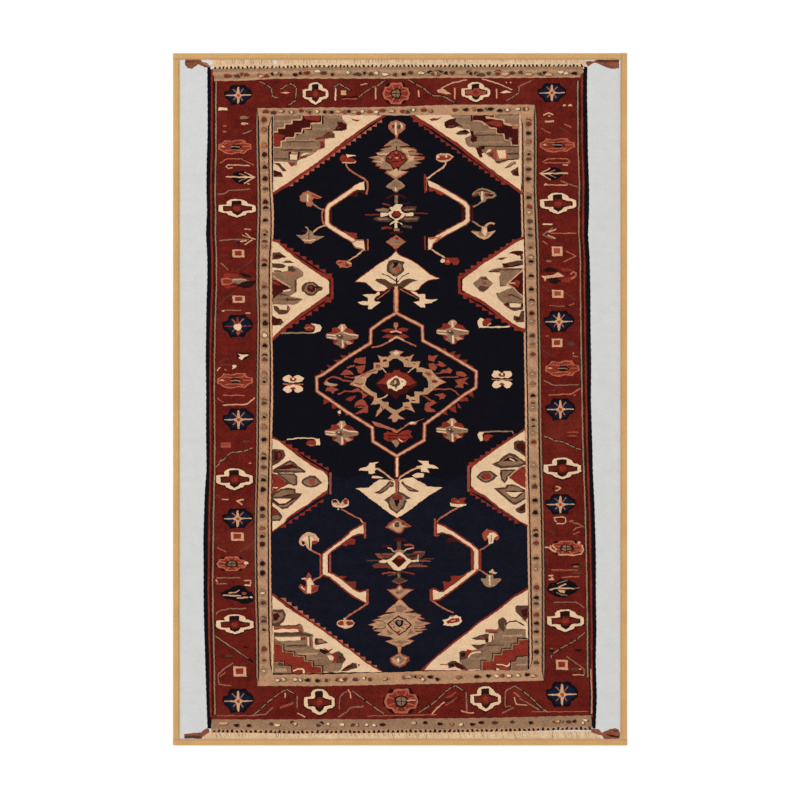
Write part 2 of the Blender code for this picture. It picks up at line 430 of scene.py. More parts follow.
# Blots down the middle of the side guards: height, ink letter, half height.
LEFT_BLOTS = (
    (98.5, "b", .8), (95, "o", .6), (89.5, "o", .7), (86.2, "m", .8), (82.6, "s", .4),
    (81.8, "m", .6),
    (77.7, "m", .8), (74.1, "u", .4), (69.4, "m", .9), (67.5, "s", .4), (63.1, "s", .45),
    (58.8, "b", .6),
    (58, "s", .3), (55.6, "u", .4), (54, "o", .4), (48.8, "b", .5), (47.3, "s", .5),
    (40.2, "s", .6),
    (39.6, "b", .4), (36.1, "m", .6), (33.3, "b", .3), (29.7, "b", .5), (27.6, "s", .6),
    (26.8, "m", .9),
    (22.6, "c", .7), (18.9, "s", .6), (15.6, "s", .4), (14, "b", .5), (9, "o", .5), (7.6, "s", .5),
    (6.8, "m", .7), (6.1, "s", .3), (-.4, "b", .5), (-1.4, "u", .4), (-5.6, "b", .4),
    (-6.3, "s", .3),
    (-9.7, "o", .6), (-14.2, "s", .6), (-20, "m", .9), (-20.8, "s", .5), (-24, "u", .5),
    (-27.6, "u", .5),
    (-28.4, "s", .5), (-31.8, "s", .8), (-38.6, "s", .7), (-41.2, "u", .6), (-45.5, "r", .5),
    (-47.4, "s", .4), (-48.3, "m", .5), (-51.1, "m", .8), (-57.9, "s", .8), (-61.2, "s", .9),
    (-68, "b", .7), (-68.3, "c", .4), (-71.8, "u", .5), (-77, "u", .4), (-78.2, "u", .5),
    (-81.2, "s", .3),
    (-88, "b", .8), (-92, "b", .3), (-95.6, "b", .8), (-95.7, "c", .3),
)
RIGHT_BLOTS = (
    (98.3, "u", .4), (97, "b", .7), (93.7, "s", .6), (90.7, "o", .5), (86.8, "m", .5),
    (86.3, "s", .3),
    (84.6, "b", .4), (81, "u", .5), (77.6, "m", .6), (71.8, "s", .5), (71.1, "m", .5),
    (67.6, "b", .9),
    (65.9, "r", .6), (65.9, "c", .3), (62.7, "u", .6), (60, "u", .3), (57.8, "u", .4),
    (54.5, "m", .5),
    (54.2, "c", .2), (53.5, "b", .3), (50, "t", .5), (48.6, "s", .4), (43.5, "s", .4),
    (38.8, "s", .5),
    (34.9, "s", .4), (33.6, "t", .3), (30.3, "m", .6), (27.5, "s", .7), (27.5, "t", .3),
    (22.4, "u", .6),
    (19.4, "s", .7), (19.4, "r", .3), (15.9, "b", .5), (8.8, "s", .8), (8.9, "t", .3),
    (5.5, "o", .4),
    (1.3, "s", .5), (-1.4, "u", .3), (-3, "s", .6), (-2.9, "t", .25), (-7.2, "s", .3),
    (-9.5, "s", .2),
    (-11.7, "s", .6), (-11.8, "t", .2), (-15.1, "b", .5), (-23.2, "m", .7), (-23.1, "t", .3),
    (-27.2, "u", .3), (-30.8, "u", .7), (-35.6, "s", .6), (-39.9, "s", .7), (-46.2, "m", .4),
    (-47.9, "s", .6), (-50.6, "b", .6), (-56, "m", .4), (-59.3, "s", .7), (-59.7, "t", .25),
    (-66.3, "b", .7), (-69.9, "s", .5), (-72, "u", .4), (-75.9, "b", .5), (-78.9, "s", .5),
    (-81.9, "s", .35), (-85.5, "u", .3), (-89, "m", .7), (-92.8, "u", .4),
)
# Blots along the end guards and end bands: across, up, ink letter, half width.
END_BLOTS = (
    (-61, 114, "b", 1.3), (-57.5, 114, "u", 1.1), (-55.9, 114.6, "b", .5), (-54.3, 114.4, "b", .8),
    (-49.9, 114.2, "b", .4), (-49, 113.8, "t", .7), (-47.3, 114, "b", .8), (-45, 114.7, "s", .6),
    (-42.2, 114.4, "s", .45), (-43.8, 115, "t", .8), (-37, 114.4, "s", .9), (-35.3, 114.9, "s", .5),
    (-33.1, 115, "b", 1), (-29.2, 115.6, "c", 1), (-27.1, 115, "u", 1), (-24, 114.5, "s", .5),
    (-18.4, 115.1, "c", .6), (-15.2, 114.6, "u", 1.4), (-12.7, 115, "s", .4),
    (-10.4, 114.7, "u", .8),
    (-8.4, 115, "c", .7), (-5.3, 114.5, "c", 1.2), (-2, 114.4, "u", .6), (1.1, 114.6, "s", .7),
    (3.5, 115.1, "u", .8), (7.4, 115, "c", 1.2), (10.4, 115.3, "s", .9), (11.8, 114.7, "b", .9),
    (13.3, 115.4, "s", 1.4), (13.1, 114.5, "s", .7), (12.6, 114.9, "t", .35), (16, 115, "s", .6),
    (18.2, 115.1, "u", .8), (24, 115.3, "b", .7), (24.8, 114.8, "s", .5), (26.8, 115, "u", 1),
    (28.3, 114.4, "u", 1.4), (31, 114.9, "u", .6), (34.3, 115.6, "b", 1), (34.2, 114.7, "b", .8),
    (37, 114.6, "t", 1.3), (39.3, 115, "u", .9), (42.3, 115.2, "u", .7), (45.2, 114.5, "t", 1.4),
    (49.6, 114.7, "u", 1.3), (51, 115.1, "s", .9), (52.4, 114.4, "t", 1.1), (56.6, 115.3, "c", 1.1),
    (58.5, 114.9, "c", .8), (61.3, 114.9, "s", 1), (-62.3, -114.2, "t", 1.6),
    (-57.7, -114.8, "s", .9),
    (-53.4, -114.9, "s", .7), (-43.4, -114.8, "c", 1.1), (-45.6, -114.3, "u", .6),
    (-38.2, -113.8, "m", .5),
    (-37, -114.5, "b", .9), (-36.9, -114.4, "c", .4), (-28, -114, "s", .8), (-29, -114.8, "u", .7),
    (-25.3, -114.1, "m", 1.1), (-25.4, -114.4, "c", .6), (-20.5, -114.6, "c", .9),
    (-16.8, -114.7, "u", .6),
    (-15.2, -114.7, "t", .4), (-11.8, -114.7, "c", .5), (-9.2, -114.8, "c", .7),
    (-6.3, -114.6, "s", 1),
    (4.8, -114.1, "t", .9), (8.8, -113.9, "s", .7), (13.9, -114.3, "s", .9), (18, -114.4, "o", .8),
    (21.4, -114.6, "c", .7), (25.4, -114.5, "s", .8), (28.5, -113.9, "s", .9),
    (33.2, -113.9, "u", .9),
    (39.3, -113.6, "u", .7), (46, -113.9, "s", .7), (55.5, -113.6, "b", 1.9),
    (55.6, -113.5, "t", .7),
    (59.3, -113.6, "u", .9), (61.3, -113.4, "s", .6), (65.3, -113.1, "c", .8),
    (64.4, -114, "c", .4),
    (-47.5, 101.4, "b", 1), (-44.8, 101.1, "u", .9), (-42, 101.6, "t", .8), (-38.2, 101.1, "s", 1),
    (-38.2, 101.1, "c", .4), (-35, 101.7, "b", .7), (-32.2, 101.5, "m", .9), (-32, 101.2, "b", .4),
    (-29.2, 101.4, "c", .5), (-26.7, 101.3, "s", .5), (-25, 101.3, "r", .6),
    (-24.2, 101.2, "s", .7),
    (-22, 101.4, "t", .9), (-19.8, 101.3, "r", .8), (-18.2, 101.5, "s", .5), (-16, 101.2, "t", .9),
    (-14.8, 100.8, "b", .7), (-13.3, 101.5, "c", .5), (-11, 101.4, "r", .8), (-8.8, 101.3, "s", .5),
    (-8.4, 101.2, "c", .7), (-6.4, 101.8, "b", 1), (-3, 101.6, "t", .9), (.8, 101.5, "b", .8),
    (2.5, 101.3, "u", .6), (4.6, 102, "s", 1), (4.7, 102, "c", .45), (8.2, 102, "b", 1),
    (10.7, 101.5, "o", .5), (19.2, 102, "b", .7), (23, 102.1, "s", .8), (26, 102.2, "o", .6),
    (28, 101.9, "s", 1), (30.6, 102.3, "s", .6), (31.7, 102.3, "s", 1), (35, 101.8, "s", .9),
    (37.7, 102, "s", 1.1), (37.8, 102, "c", .6), (41.5, 102.3, "c", .8), (44, 102.3, "b", .9),
    (44.6, 102.3, "c", .3), (-41.3, -98.7, "c", .9), (-43.2, -99, "c", .7), (-37, -98.7, "c", .8),
    (-35.2, -98.9, "c", .5), (-32.7, -98.9, "s", .8), (-29.2, -99.1, "s", .8), (-26.2, -99, "c", 1),
    (-26.2, -99, "b", .4), (-21.9, -98.8, "b", .9), (-20.6, -98.9, "c", .9),
    (-19.6, -98.6, "b", .5),
    (-16, -98.7, "u", .8), (-12.8, -98.2, "c", .5), (-10.8, -98.7, "b", .5), (-5.4, -98.5, "t", .7),
    (1.2, -98, "r", .6), (3, -97.7, "t", 1), (5.4, -97.7, "s", .5), (6.8, -97.7, "o", .8),
    (8, -98.7, "c", .5), (10.5, -97.8, "s", .9), (13, -98.6, "s", .6), (20.5, -97.9, "o", .8),
    (27, -97.7, "m", 1), (31, -97.4, "s", .7), (34, -97.5, "c", .8), (35.8, -97.3, "r", .6),
    (38.3, -97.4, "c", .9), (41.5, -97.3, "c", .6), (44.7, -97, "s", .8), (46.8, -97.4, "t", .9),
)
BLOT_INKS = {"s": Ink.SOOT, "m": Ink.MAROON, "b": Ink.BRICK, "r": Ink.RUST, "o": Ink.ROSE,
             "u": Ink.UMBER, "t": Ink.TAN, "c": Ink.CREAM}


# Where a bluer dye lot takes over in the field.
DYE_CHANGE = (-43.6, -26, -34, -28.4, -28, -25.8, -19, -28, -9, -25.4, 0, -28.6, 8, -26.2, 17,
              -28.8,
              26, -25.8, 34, -28, 43.8, -26.4)


@dataclass
class Ground:
    """Everything under the motifs: bare ground, stripes, borders, guards, end bands and fringes."""

    art: Artwork
    half_width: float = 79.7
    half_length: float = 121.7
    tooth: float = 1.42
    tooth_foot: float = 1.66

    def column(self, ink: Ink, lines: SideLines, line: tuple[float, ...], out: float, wide: float,
               high: float = 112.5, low: float = -112.5) -> None:
        """Inks a wandering upright stripe.

        Args:
            ink: the stripe's ink.
            lines: the side it is on.
            line: the wandering line it keeps to.
            out: from that line to the stripe's middle, towards the rug's edge.
            wide: the stripe's width.
            high: its upper end.
            low: its lower end.
        """
        y = np.linspace(high, low, 60)
        x = lines.at(line, y) + lines.sign * out
        self.art.shape(ink, np.vstack([np.column_stack([x - wide / 2, y]),
                                       np.column_stack([x + wide / 2, y])[::-1]]))

    def band(self, ink: Ink, lower: np.ndarray, upper: np.ndarray) -> None:
        """Inks what lies between two level edges."""
        self.art.shape(ink, np.vstack([lower, upper[::-1]]))

    def panel(self, ink: Ink, line: str, out: float, top: np.ndarray, foot: np.ndarray) -> None:
        """Inks all between a stripe on the left, the same stripe on the right and two edges."""
        y = np.linspace(top[0, 1], foot[0, 1], 50)[1:-1]
        left = LEFT.at(getattr(LEFT, line), y) - out
        y_right = np.linspace(foot[-1, 1], top[-1, 1], 50)[1:-1]
        right = RIGHT.at(getattr(RIGHT, line), y_right) + out
        self.art.shape(ink, np.vstack([top[::-1], np.column_stack([left, y]), foot,
                                       np.column_stack([right, y_right])]))

    def teeth(self, edge: np.ndarray, pitch: float, height: float) -> None:
        """A row of dark slanted blocks along an end band, one each pitch.

        A block's lean, place and height each vary with a sine of the distance across.

        Args:
            edge: the band's edge, which the blocks stand on.
            pitch: from one block to the next.
            height: how tall the tallest is.
        """
        for x in np.arange(edge[0, 0] + 0.4, edge[-1, 0] - 0.4, pitch):
            lean = 0.3 * math.sin(0.31 * x)
            x = x + 0.12 * math.sin(3.1 * x)
            y = float(np.interp(x, edge[:, 0], edge[:, 1]))
            tall = height * (0.85 + 0.15 * math.sin(2.3 * x))
            wide = pitch * 0.55
            top = y + tall
            self.art.fill(Ink.SOOT, x, y, x + wide, y, x + wide - .06 - lean, top, x + .12 - lean,
                          top)

    def fringe(self, low: float, high: float, left: float, right: float, seed: int) -> None:
        """A printed fringe: a cream band under slanting threads in four tones.

        Args:
            low: its lower edge.
            high: its upper edge.
            left: its left end.
            right: its right end.
            seed: what the threads' lean, length, tone and width are drawn from.
        """
        self.art.fill(Ink.FRINGE, left, low, right, low, right, high, left, high)
        draw = np.random.default_rng(seed)
        for x in np.arange(left + 1.0, right - 2.0, 1.05):
            lean = draw.uniform(-0.3, 1.1)
            start = draw.uniform(0.05, 0.5) * (high - low)
            ink = (Ink.TAN, Ink.BEIGE, Ink.SAND, Ink.CREAM)[int(draw.integers(4))]
            wide = draw.uniform(0.14, 0.3)
            self.art.line(ink, wide, x, high - 0.1, x + lean, low + start)

    def tassels(self) -> None:
        """The four printed corner tassels, and bare patches beside the upper two."""
        for ink, xy in (
            (Ink.COPPER, (-75.6, 120, -70.5, 119.9, -69.6, 118.9, -68, 118.5, -67.2, 117.6, -67.6,
                          116.9,
                        -68.9, 117, -70, 117.6, -71.2, 118, -72.6, 116.9, -73.6, 116.4, -74.9,
                          116.7,
                        -75.7, 117.6, -75.9, 118.8)),
            (Ink.UMBER, (-75.4, 119.1, -73, 119.2, -70.5, 119.3, -73, 118.8, -75.5, 118.7)),
            (Ink.BEIGE, (-70, 118.6, -68.6, 118, -67.6, 117.4, -67.8, 117.9, -68.6, 118.4)),
            (Ink.COPPER, (65.2, 118.7, 66.4, 119.3, 68, 119.1, 69.3, 119.7, 77.2, 119.8, 77.2,
                          116.6,
                        74.8, 116.4, 72.5, 117, 70.5, 117.9, 68.8, 118.6, 67.5, 118.2, 66.2,
                          117.2)),
            (Ink.UMBER, (69, 118.9, 77.2, 118.7, 77.2, 119.4, 70, 119.5)),
            (Ink.COPPER, (-76.1, -119.5, -76.1, -118, -73.5, -117.6, -70, -117.3, -68.9, -116.3,
                          -68.1, -115.9,
                        -67.2, -116.3, -67.3, -117.4, -68.2, -117.9, -69.3, -118.7, -70, -119.6)),
            (Ink.UMBER, (-76, -119.3, -75.8, -118.6, -73, -118.4, -70.5, -118.7, -70, -119.3)),
            (Ink.COPPER, (67.4, -116.1, 69, -116.1, 70.3, -116.4, 71, -117.5, 72.3, -116.9, 74,
                          -116.2,
                        75.8, -115.8, 77, -116.4, 77.5, -117.5, 77.4, -119.6, 71.8, -119.7, 71.2,
                          -118.5,
                        69, -117.9, 67.3, -117.3)),
            (Ink.MAROON, (72.4, -117.9, 75, -118.2, 77.2, -118.9, 77.2, -119.3, 74, -118.8)),
            (Ink.UMBER, (74.6, -116.5, 76.6, -116.6, 76.8, -117.3, 75, -117.1)),
        ):
            self.art.fill(ink, *xy)
        self.art.spot(Ink.CHALK, -68.6, 119.4, 1.2, 0.6)
        self.art.spot(Ink.CHALK, -66.9, 118.6, 0.8, 0.9)
        self.art.spot(Ink.CHALK, 66.1, 119.6, 1.2, 0.3)

    def blots(self) -> None:
        """Small knotted spots along the guards and end bands, each in an umber and a sand ring."""
        for side, table, across in ((LEFT, LEFT_BLOTS, 2.4), (RIGHT, RIGHT_BLOTS, 2.65)):
            for y, letter, tall in table:
                x = float(side.at(side.rail, y)) - side.sign * across
                self.art.spot(Ink.SAND, x, y - 0.1, 1.4, tall + 1.0)
                self.art.spot(Ink.UMBER, x + 0.1, y, 1.05 if tall > 0.3 else 0.7, tall + 0.2)
                self.art.spot(BLOT_INKS[letter], x, y, 0.85 if tall > 0.3 else 0.6, tall)
        for x, y, letter, wide in END_BLOTS:
            self.art.spot(Ink.SAND, x + 0.3, y, wide + 0.7, 0.9)
            self.art.spot(Ink.UMBER, x + 0.2, y - 0.1, wide + 0.25, 0.65)
            self.art.spot(BLOT_INKS[letter], x, y, wide, 0.5)

    def build(self) -> None:
        """Lays the inks down from the bare ground inwards."""
        corners = np.array([[-1, -1], [1, -1], [1, 1], [-1, 1]])
        self.art.patches.append((Ink.GROUND, corners * (self.half_width, self.half_length)))
        self.fringes()
        self.side_stripes()
        self.end_bands()
        self.red_border()
        self.guards()
        self.inner_field()

    def fringes(self) -> None:
        """Both fringes, the pale foot of each row of teeth, and the tassels."""
        top, foot = path_of(TEETH_TOP), path_of(TEETH_FOOT)
        self.fringe(117.2, 119.9, -67.6, 65.6, 3)
        self.fringe(-119.8, -117.0, -69.2, 70.6, 4)
        self.band(Ink.FRINGE, top, top + (0, 1.6))
        self.band(Ink.BEIGE, foot - (0, 1.2), foot)
        self.art.spot(Ink.CHALK, -44, 118.8, 0.8, 0.8)
        self.tassels()

    def side_stripes(self) -> None:
        """The selvedges and the stripes between them and the border.

        The selvedge is laid twice: the soot stripe covers its inner edge, but may not reach it
        everywhere.
        """
        for lines in (LEFT, RIGHT):
            self.column(Ink.NAVY, lines, lines.selvedge, -0.62, 1.24, 117.2, -116)
            self.column(Ink.SOOT, lines, lines.taupe, 1.3, 2.2, 116.4, -115.4)
            self.column(Ink.NAVY, lines, lines.selvedge, -0.6, 1.2, 117.2, -116)
            self.column(Ink.BRICK, lines, lines.taupe, 1.45, 0.62, 116, -112)
            self.column(Ink.MAROON, lines, lines.taupe, 0.72, 0.42)

    def end_bands(self) -> None:
        """The sand bands between the border and the fringes, and their teeth."""
        top, foot = path_of(TEETH_TOP), path_of(TEETH_FOOT)
        border_top = path_of(BORDER_TOP)
        self.band(Ink.SAND, border_top, top + (0, 0.15))
        self.band(Ink.SAND, foot, path_of(BORDER_FOOT))
        self.band(Ink.BEIGE, border_top, border_top + (0, 0.7))
        self.band(Ink.BEIGE, top - (0, 2.2), top - (0, 1.0))
        self.teeth(top, self.tooth, 1.0)
        self.teeth(foot - (0, 1.15), self.tooth_foot, 1.1)

    def red_border(self) -> None:
        """The red border and the lines along its outer edge; the lower right corner runs wide."""
        self.panel(Ink.RED, "taupe", -0.1, path_of(BORDER_TOP), path_of(BORDER_FOOT))
        for lines in (LEFT, RIGHT):
            self.column(Ink.SOOT, lines, lines.taupe, 0, 1.0, 112.2,
                        -110.8 if lines is LEFT else -99)
            self.column(Ink.SAND, lines, lines.taupe, 0, 0.5, 112.2, -111 if lines is LEFT else -99)
        art = self.art
        art.fill(Ink.RED, 64.8, -98, 66.5, -98, 66.7, -104, 66.7, -111.3, 64.8, -111.3)
        art.line(Ink.SOOT, 0.55, 66.6, -96, 66.85, -100, 67, -104, 66.9, -111.3)
        art.line(Ink.BEIGE, 0.5, 67.2, -95, 67.3, -99, 67.55, -104, 67.4, -110.8)

    def guards(self) -> None:
        """The pale guard stripe round the field: four nested panels, then its blots."""
        top, foot = path_of(GUARD_TOP), path_of(GUARD_FOOT)
        for ink, out in ((Ink.SOOT, 0.55), (Ink.SAND, 0.25), (Ink.SOOT, -0.25), (Ink.BEIGE, -0.8)):
            self.panel(ink, "rail", out, top, foot)
        self.blots()

    def inner_field(self) -> None:
        """The field and the lines round it, in nested panels; its lower part is a bluer dye lot."""
        top, foot = path_of(FIELD_TOP), path_of(FIELD_FOOT)
        self.panel(Ink.SOOT, "field", 1.25, top + (0, 0.1), foot - (0, 0.1))
        self.panel(Ink.TAN, "field", 0.72, top + (0, 0.1), foot - (0, 0.1))
        self.panel(Ink.SOOT, "field", 0.08, top, foot)
        self.panel(Ink.NAVY, "field", -0.15, top - (0, 0.1), foot + (0, 0.3))
        self.panel(Ink.INDIGO, "field", -0.15, path_of(DYE_CHANGE), foot + (0, 0.3))


@dataclass
class Field:
    """The navy field: corner spandrels, side pendants, hooked arms, poles and the centre."""

    art: Artwork

    def stairs(self, ink: Ink, ax: float, ay: float, bx: float, by: float, count: int,
               across: bool) -> None:
        """A row of right-angled steps on one side of a slope.

        Args:
            ink: the steps' ink.
            ax: across to the slope's start.
            ay: up to the slope's start.
            bx: across to its end.
            by: up to its end.
            count: how many steps.
            across: whether each step goes across first, and then up or down.
        """
        share = np.linspace(0, 1, count + 1)
        x, y = ax + (bx - ax) * share, ay + (by - ay) * share
        corner = (x[1:], y[:-1]) if across else (x[:-1], y[1:])
        steps = np.stack([np.column_stack([x[:-1], y[:-1]]), np.column_stack(corner)], axis=1)
        outline = np.vstack([steps.reshape(-1, 2), [[bx, by]]])
        self.art.shape(ink, outline)

    def batch(self, *rows: tuple) -> None:
        """Inks several shapes: (ink, numbers) fills, and (ink, width, numbers) draws a line."""
        for row in rows:
            if len(row) == 2:
                self.art.fill(row[0], *row[1])
            else:
                self.art.line(row[0], row[1], *row[2])

    def spots(self, ink: Ink, *rows: tuple[float, float, float, float]) -> None:
        """Inks several spots of one ink."""
        for row in rows:
            self.art.spot(ink, *row)

    def top_left_spandrel(self) -> None:
        """Cream corner with a taupe cloud, crossed by a stepped red band."""
        self.stairs(Ink.ROSE, -39.5, 75.2, -6.4, 98.7, 18, True)
        self.batch(
            (Ink.BRICK, (-44.6, 72, -42, 73.6, -38.5, 75.6, -35, 78.2, -30, 81.6, -25, 85.2, -20,
                         89.2, -15, 93,
                         -11, 96.3, -8, 98.1, -4.2, 100.2, -8, 100.2, -44.6, 76)),
            (Ink.CREAM, (-44.7, 73, -42, 74.9, -39, 76.7, -35, 79.6, -30, 83, -25, 86.8, -20, 90.9,
                         -15, 94.4,
                         -11, 97.3, -8, 99, -6.3, 100, -44.7, 100)),
            (Ink.TAUPE, (-44.6, 100, -20.5, 100, -20.2, 98.6, -18.6, 97, -18.8, 95.3, -19.3, 94.7,
                         -23.7, 94.4,
                         -23, 93.4, -22.9, 92.1, -26.4, 91.7, -26.6, 88.5, -29, 88, -32, 86.3, -34,
                         85,
                         -36, 84.3, -36.4, 82.4, -38.6, 82.2, -39.6, 83.6, -44.6, 83.8)),
            (Ink.SAND, (-44.6, 97.7, -37, 97.8, -37, 98.3, -44.6, 98.4)),
            (Ink.SAND, (-32, 95.6, -24.5, 95.7, -24.5, 94.9, -32, 94.8)),
            (Ink.SAND, (-40, 91.6, -29, 91.6, -29, 91, -40, 91)),
            (Ink.UMBER, (-40, 90.9, -30, 90.9, -30, 90.5, -40, 90.5)),
            (Ink.SAND, (-42, 88.9, -29, 88.9, -29, 88.3, -42, 88.3)),
            (Ink.UMBER, (-42, 88.1, -31, 88.1, -31, 87.6, -42, 87.6)),
            (Ink.UMBER, (-44.6, 85, -39.6, 85, -39.6, 84.5, -44.6, 84.5)),
            (Ink.SAND, (-26, 99.7, -21, 99.7, -21, 99, -26, 99)),
            (Ink.SOOT, (-27.4, 99.9, -26.9, 99.9, -27, 96.9, -27.7, 96.8, -31, 96.9, -31, 94.9,
                        -33.8, 95.1,
                        -33.9, 93.7, -36.4, 93.6, -36.6, 92.2, -37, 92.2, -31.4, 97.2, -27.7,
                        97.3)),
            (Ink.TAN, (-44.6, 94.5, -43.4, 94.4, -43.4, 95.7, -41, 95.8, -40.8, 97.1, -38.4, 97.2,
                       -38.2, 98.6,
                       -35, 98.7, -34.8, 99.9, -27.6, 99.9, -27.6, 96.9, -31.3, 96.9, -31.4, 95.2,
                       -34.2, 95.2,
                       -34.5, 93.5, -36.8, 93.5, -37, 92, -40.1, 91.9, -40.3, 91, -41.7, 90.7,
                       -41.8, 88.6,
                       -44.6, 88.6)),
            (Ink.MAROON, (-44.6, 94, -43, 94, -43, 95.3, -40.6, 95.4, -40.4, 96.8, -38, 96.9, -37.8,
                          98.2,
                          -34.6, 98.3, -34.4, 99.9, -27.7, 99.9, -27.9, 97.5, -31.5, 97.4, -31.7,
                          95.7,
                          -34.6, 95.6, -34.9, 94, -37.1, 93.9, -37.4, 92.4, -40.4, 92.3, -40.7,
                          91.3,
                          -42.1, 91, -42.2, 89, -44.6, 89)),
            (Ink.BRICK, (-44.6, 93.6, -42.4, 93.6, -40.5, 92.8, -42.3, 91, -42.3, 89.2, -44.6,
                         89.2)),
            (Ink.BRICK, (-34, 99.8, -28.3, 99.8, -28.5, 98, -31, 98.3, -33.5, 98.7)),
            (Ink.MAROON, (-22.2, 97.7, -20.6, 97.8, -18.9, 96.8, -19, 95.2, -20.5, 94.6, -23.6,
                          94.7,
                          -22.6, 95.6, -21.9, 96.6)),
            (Ink.UMBER, (-22.2, 96, -21, 96, -21.1, 95.5, -22.4, 95.4)),
            (Ink.SOOT, (-23.4, 95.1, -21.4, 95.3, -20.5, 94.7, -23.5, 94.6)),
            (Ink.UMBER, (-26, 94, -24.4, 94.3, -23.2, 93.2, -23.2, 92.2, -25.8, 92.3, -27.4, 92.6)),
            (Ink.BRICK, (-25.7, 94.3, -24, 94.4, -23.9, 93.4, -25.2, 93.4)),
            (Ink.BRICK, (-29.9, 92.1, -28, 92.4, -25.4, 92.5, -25.4, 91.9, -28.5, 91.6, -29.8,
                         91.3)),
            (Ink.BRICK, (-28.2, 91, -26.9, 90.9, -26.6, 88.7, -27.4, 88.6, -28.2, 89.6)),
            (Ink.SOOT, (-28.2, 89.1, -27.2, 89.1, -27.4, 88.6, -28.4, 88.7)),
            (Ink.RUST, .35, (-36, 84.4, -34, 85, -31, 86.5, -29, 88, -27, 88.6)),
            (Ink.MAROON, (-39.3, 87.2, -35.2, 87.2, -35.8, 84.2, -39.4, 84.2)),
            (Ink.CREAM, (-38.8, 86.3, -36.1, 86.3, -36.3, 84.4, -38.8, 84.5)),
            (Ink.TAN, (-38.4, 87, -36, 87, -36, 86.6, -38.4, 86.6)),
            (Ink.CREAM, (-35.2, 85.7, -34, 86.7, -31.8, 87, -33.2, 86.2)),
            (Ink.UMBER, (-35.2, 84.8, -33.4, 85.3, -32, 86, -33.8, 85.8, -35.2, 85.4)),
            (Ink.BRICK, (-39.2, 83.5, -37, 83.3, -37.6, 82, -38.6, 82)),
            (Ink.UMBER, (-44.6, 83.3, -42.5, 83.3, -41, 81.5, -39.8, 80.3, -41.4, 80.3, -43, 82.3)),
            (Ink.CREAM, (-44.4, 81.7, -43.8, 82.3, -41.6, 80.7, -43.3, 80.4)),
            (Ink.MAROON, (-44.6, 80.9, -43, 80.3, -42, 80, -41.1, 78.4, -44.6, 78.4)),
            (Ink.UMBER, (-43.2, 79, -41.4, 78.9, -41.1, 78.4, -43.2, 78.4)),
            (Ink.BRICK, (-17.2, 99, -15.8, 98.6, -13.8, 98.4, -15.2, 97.8, -16.8, 98.2)),
        )

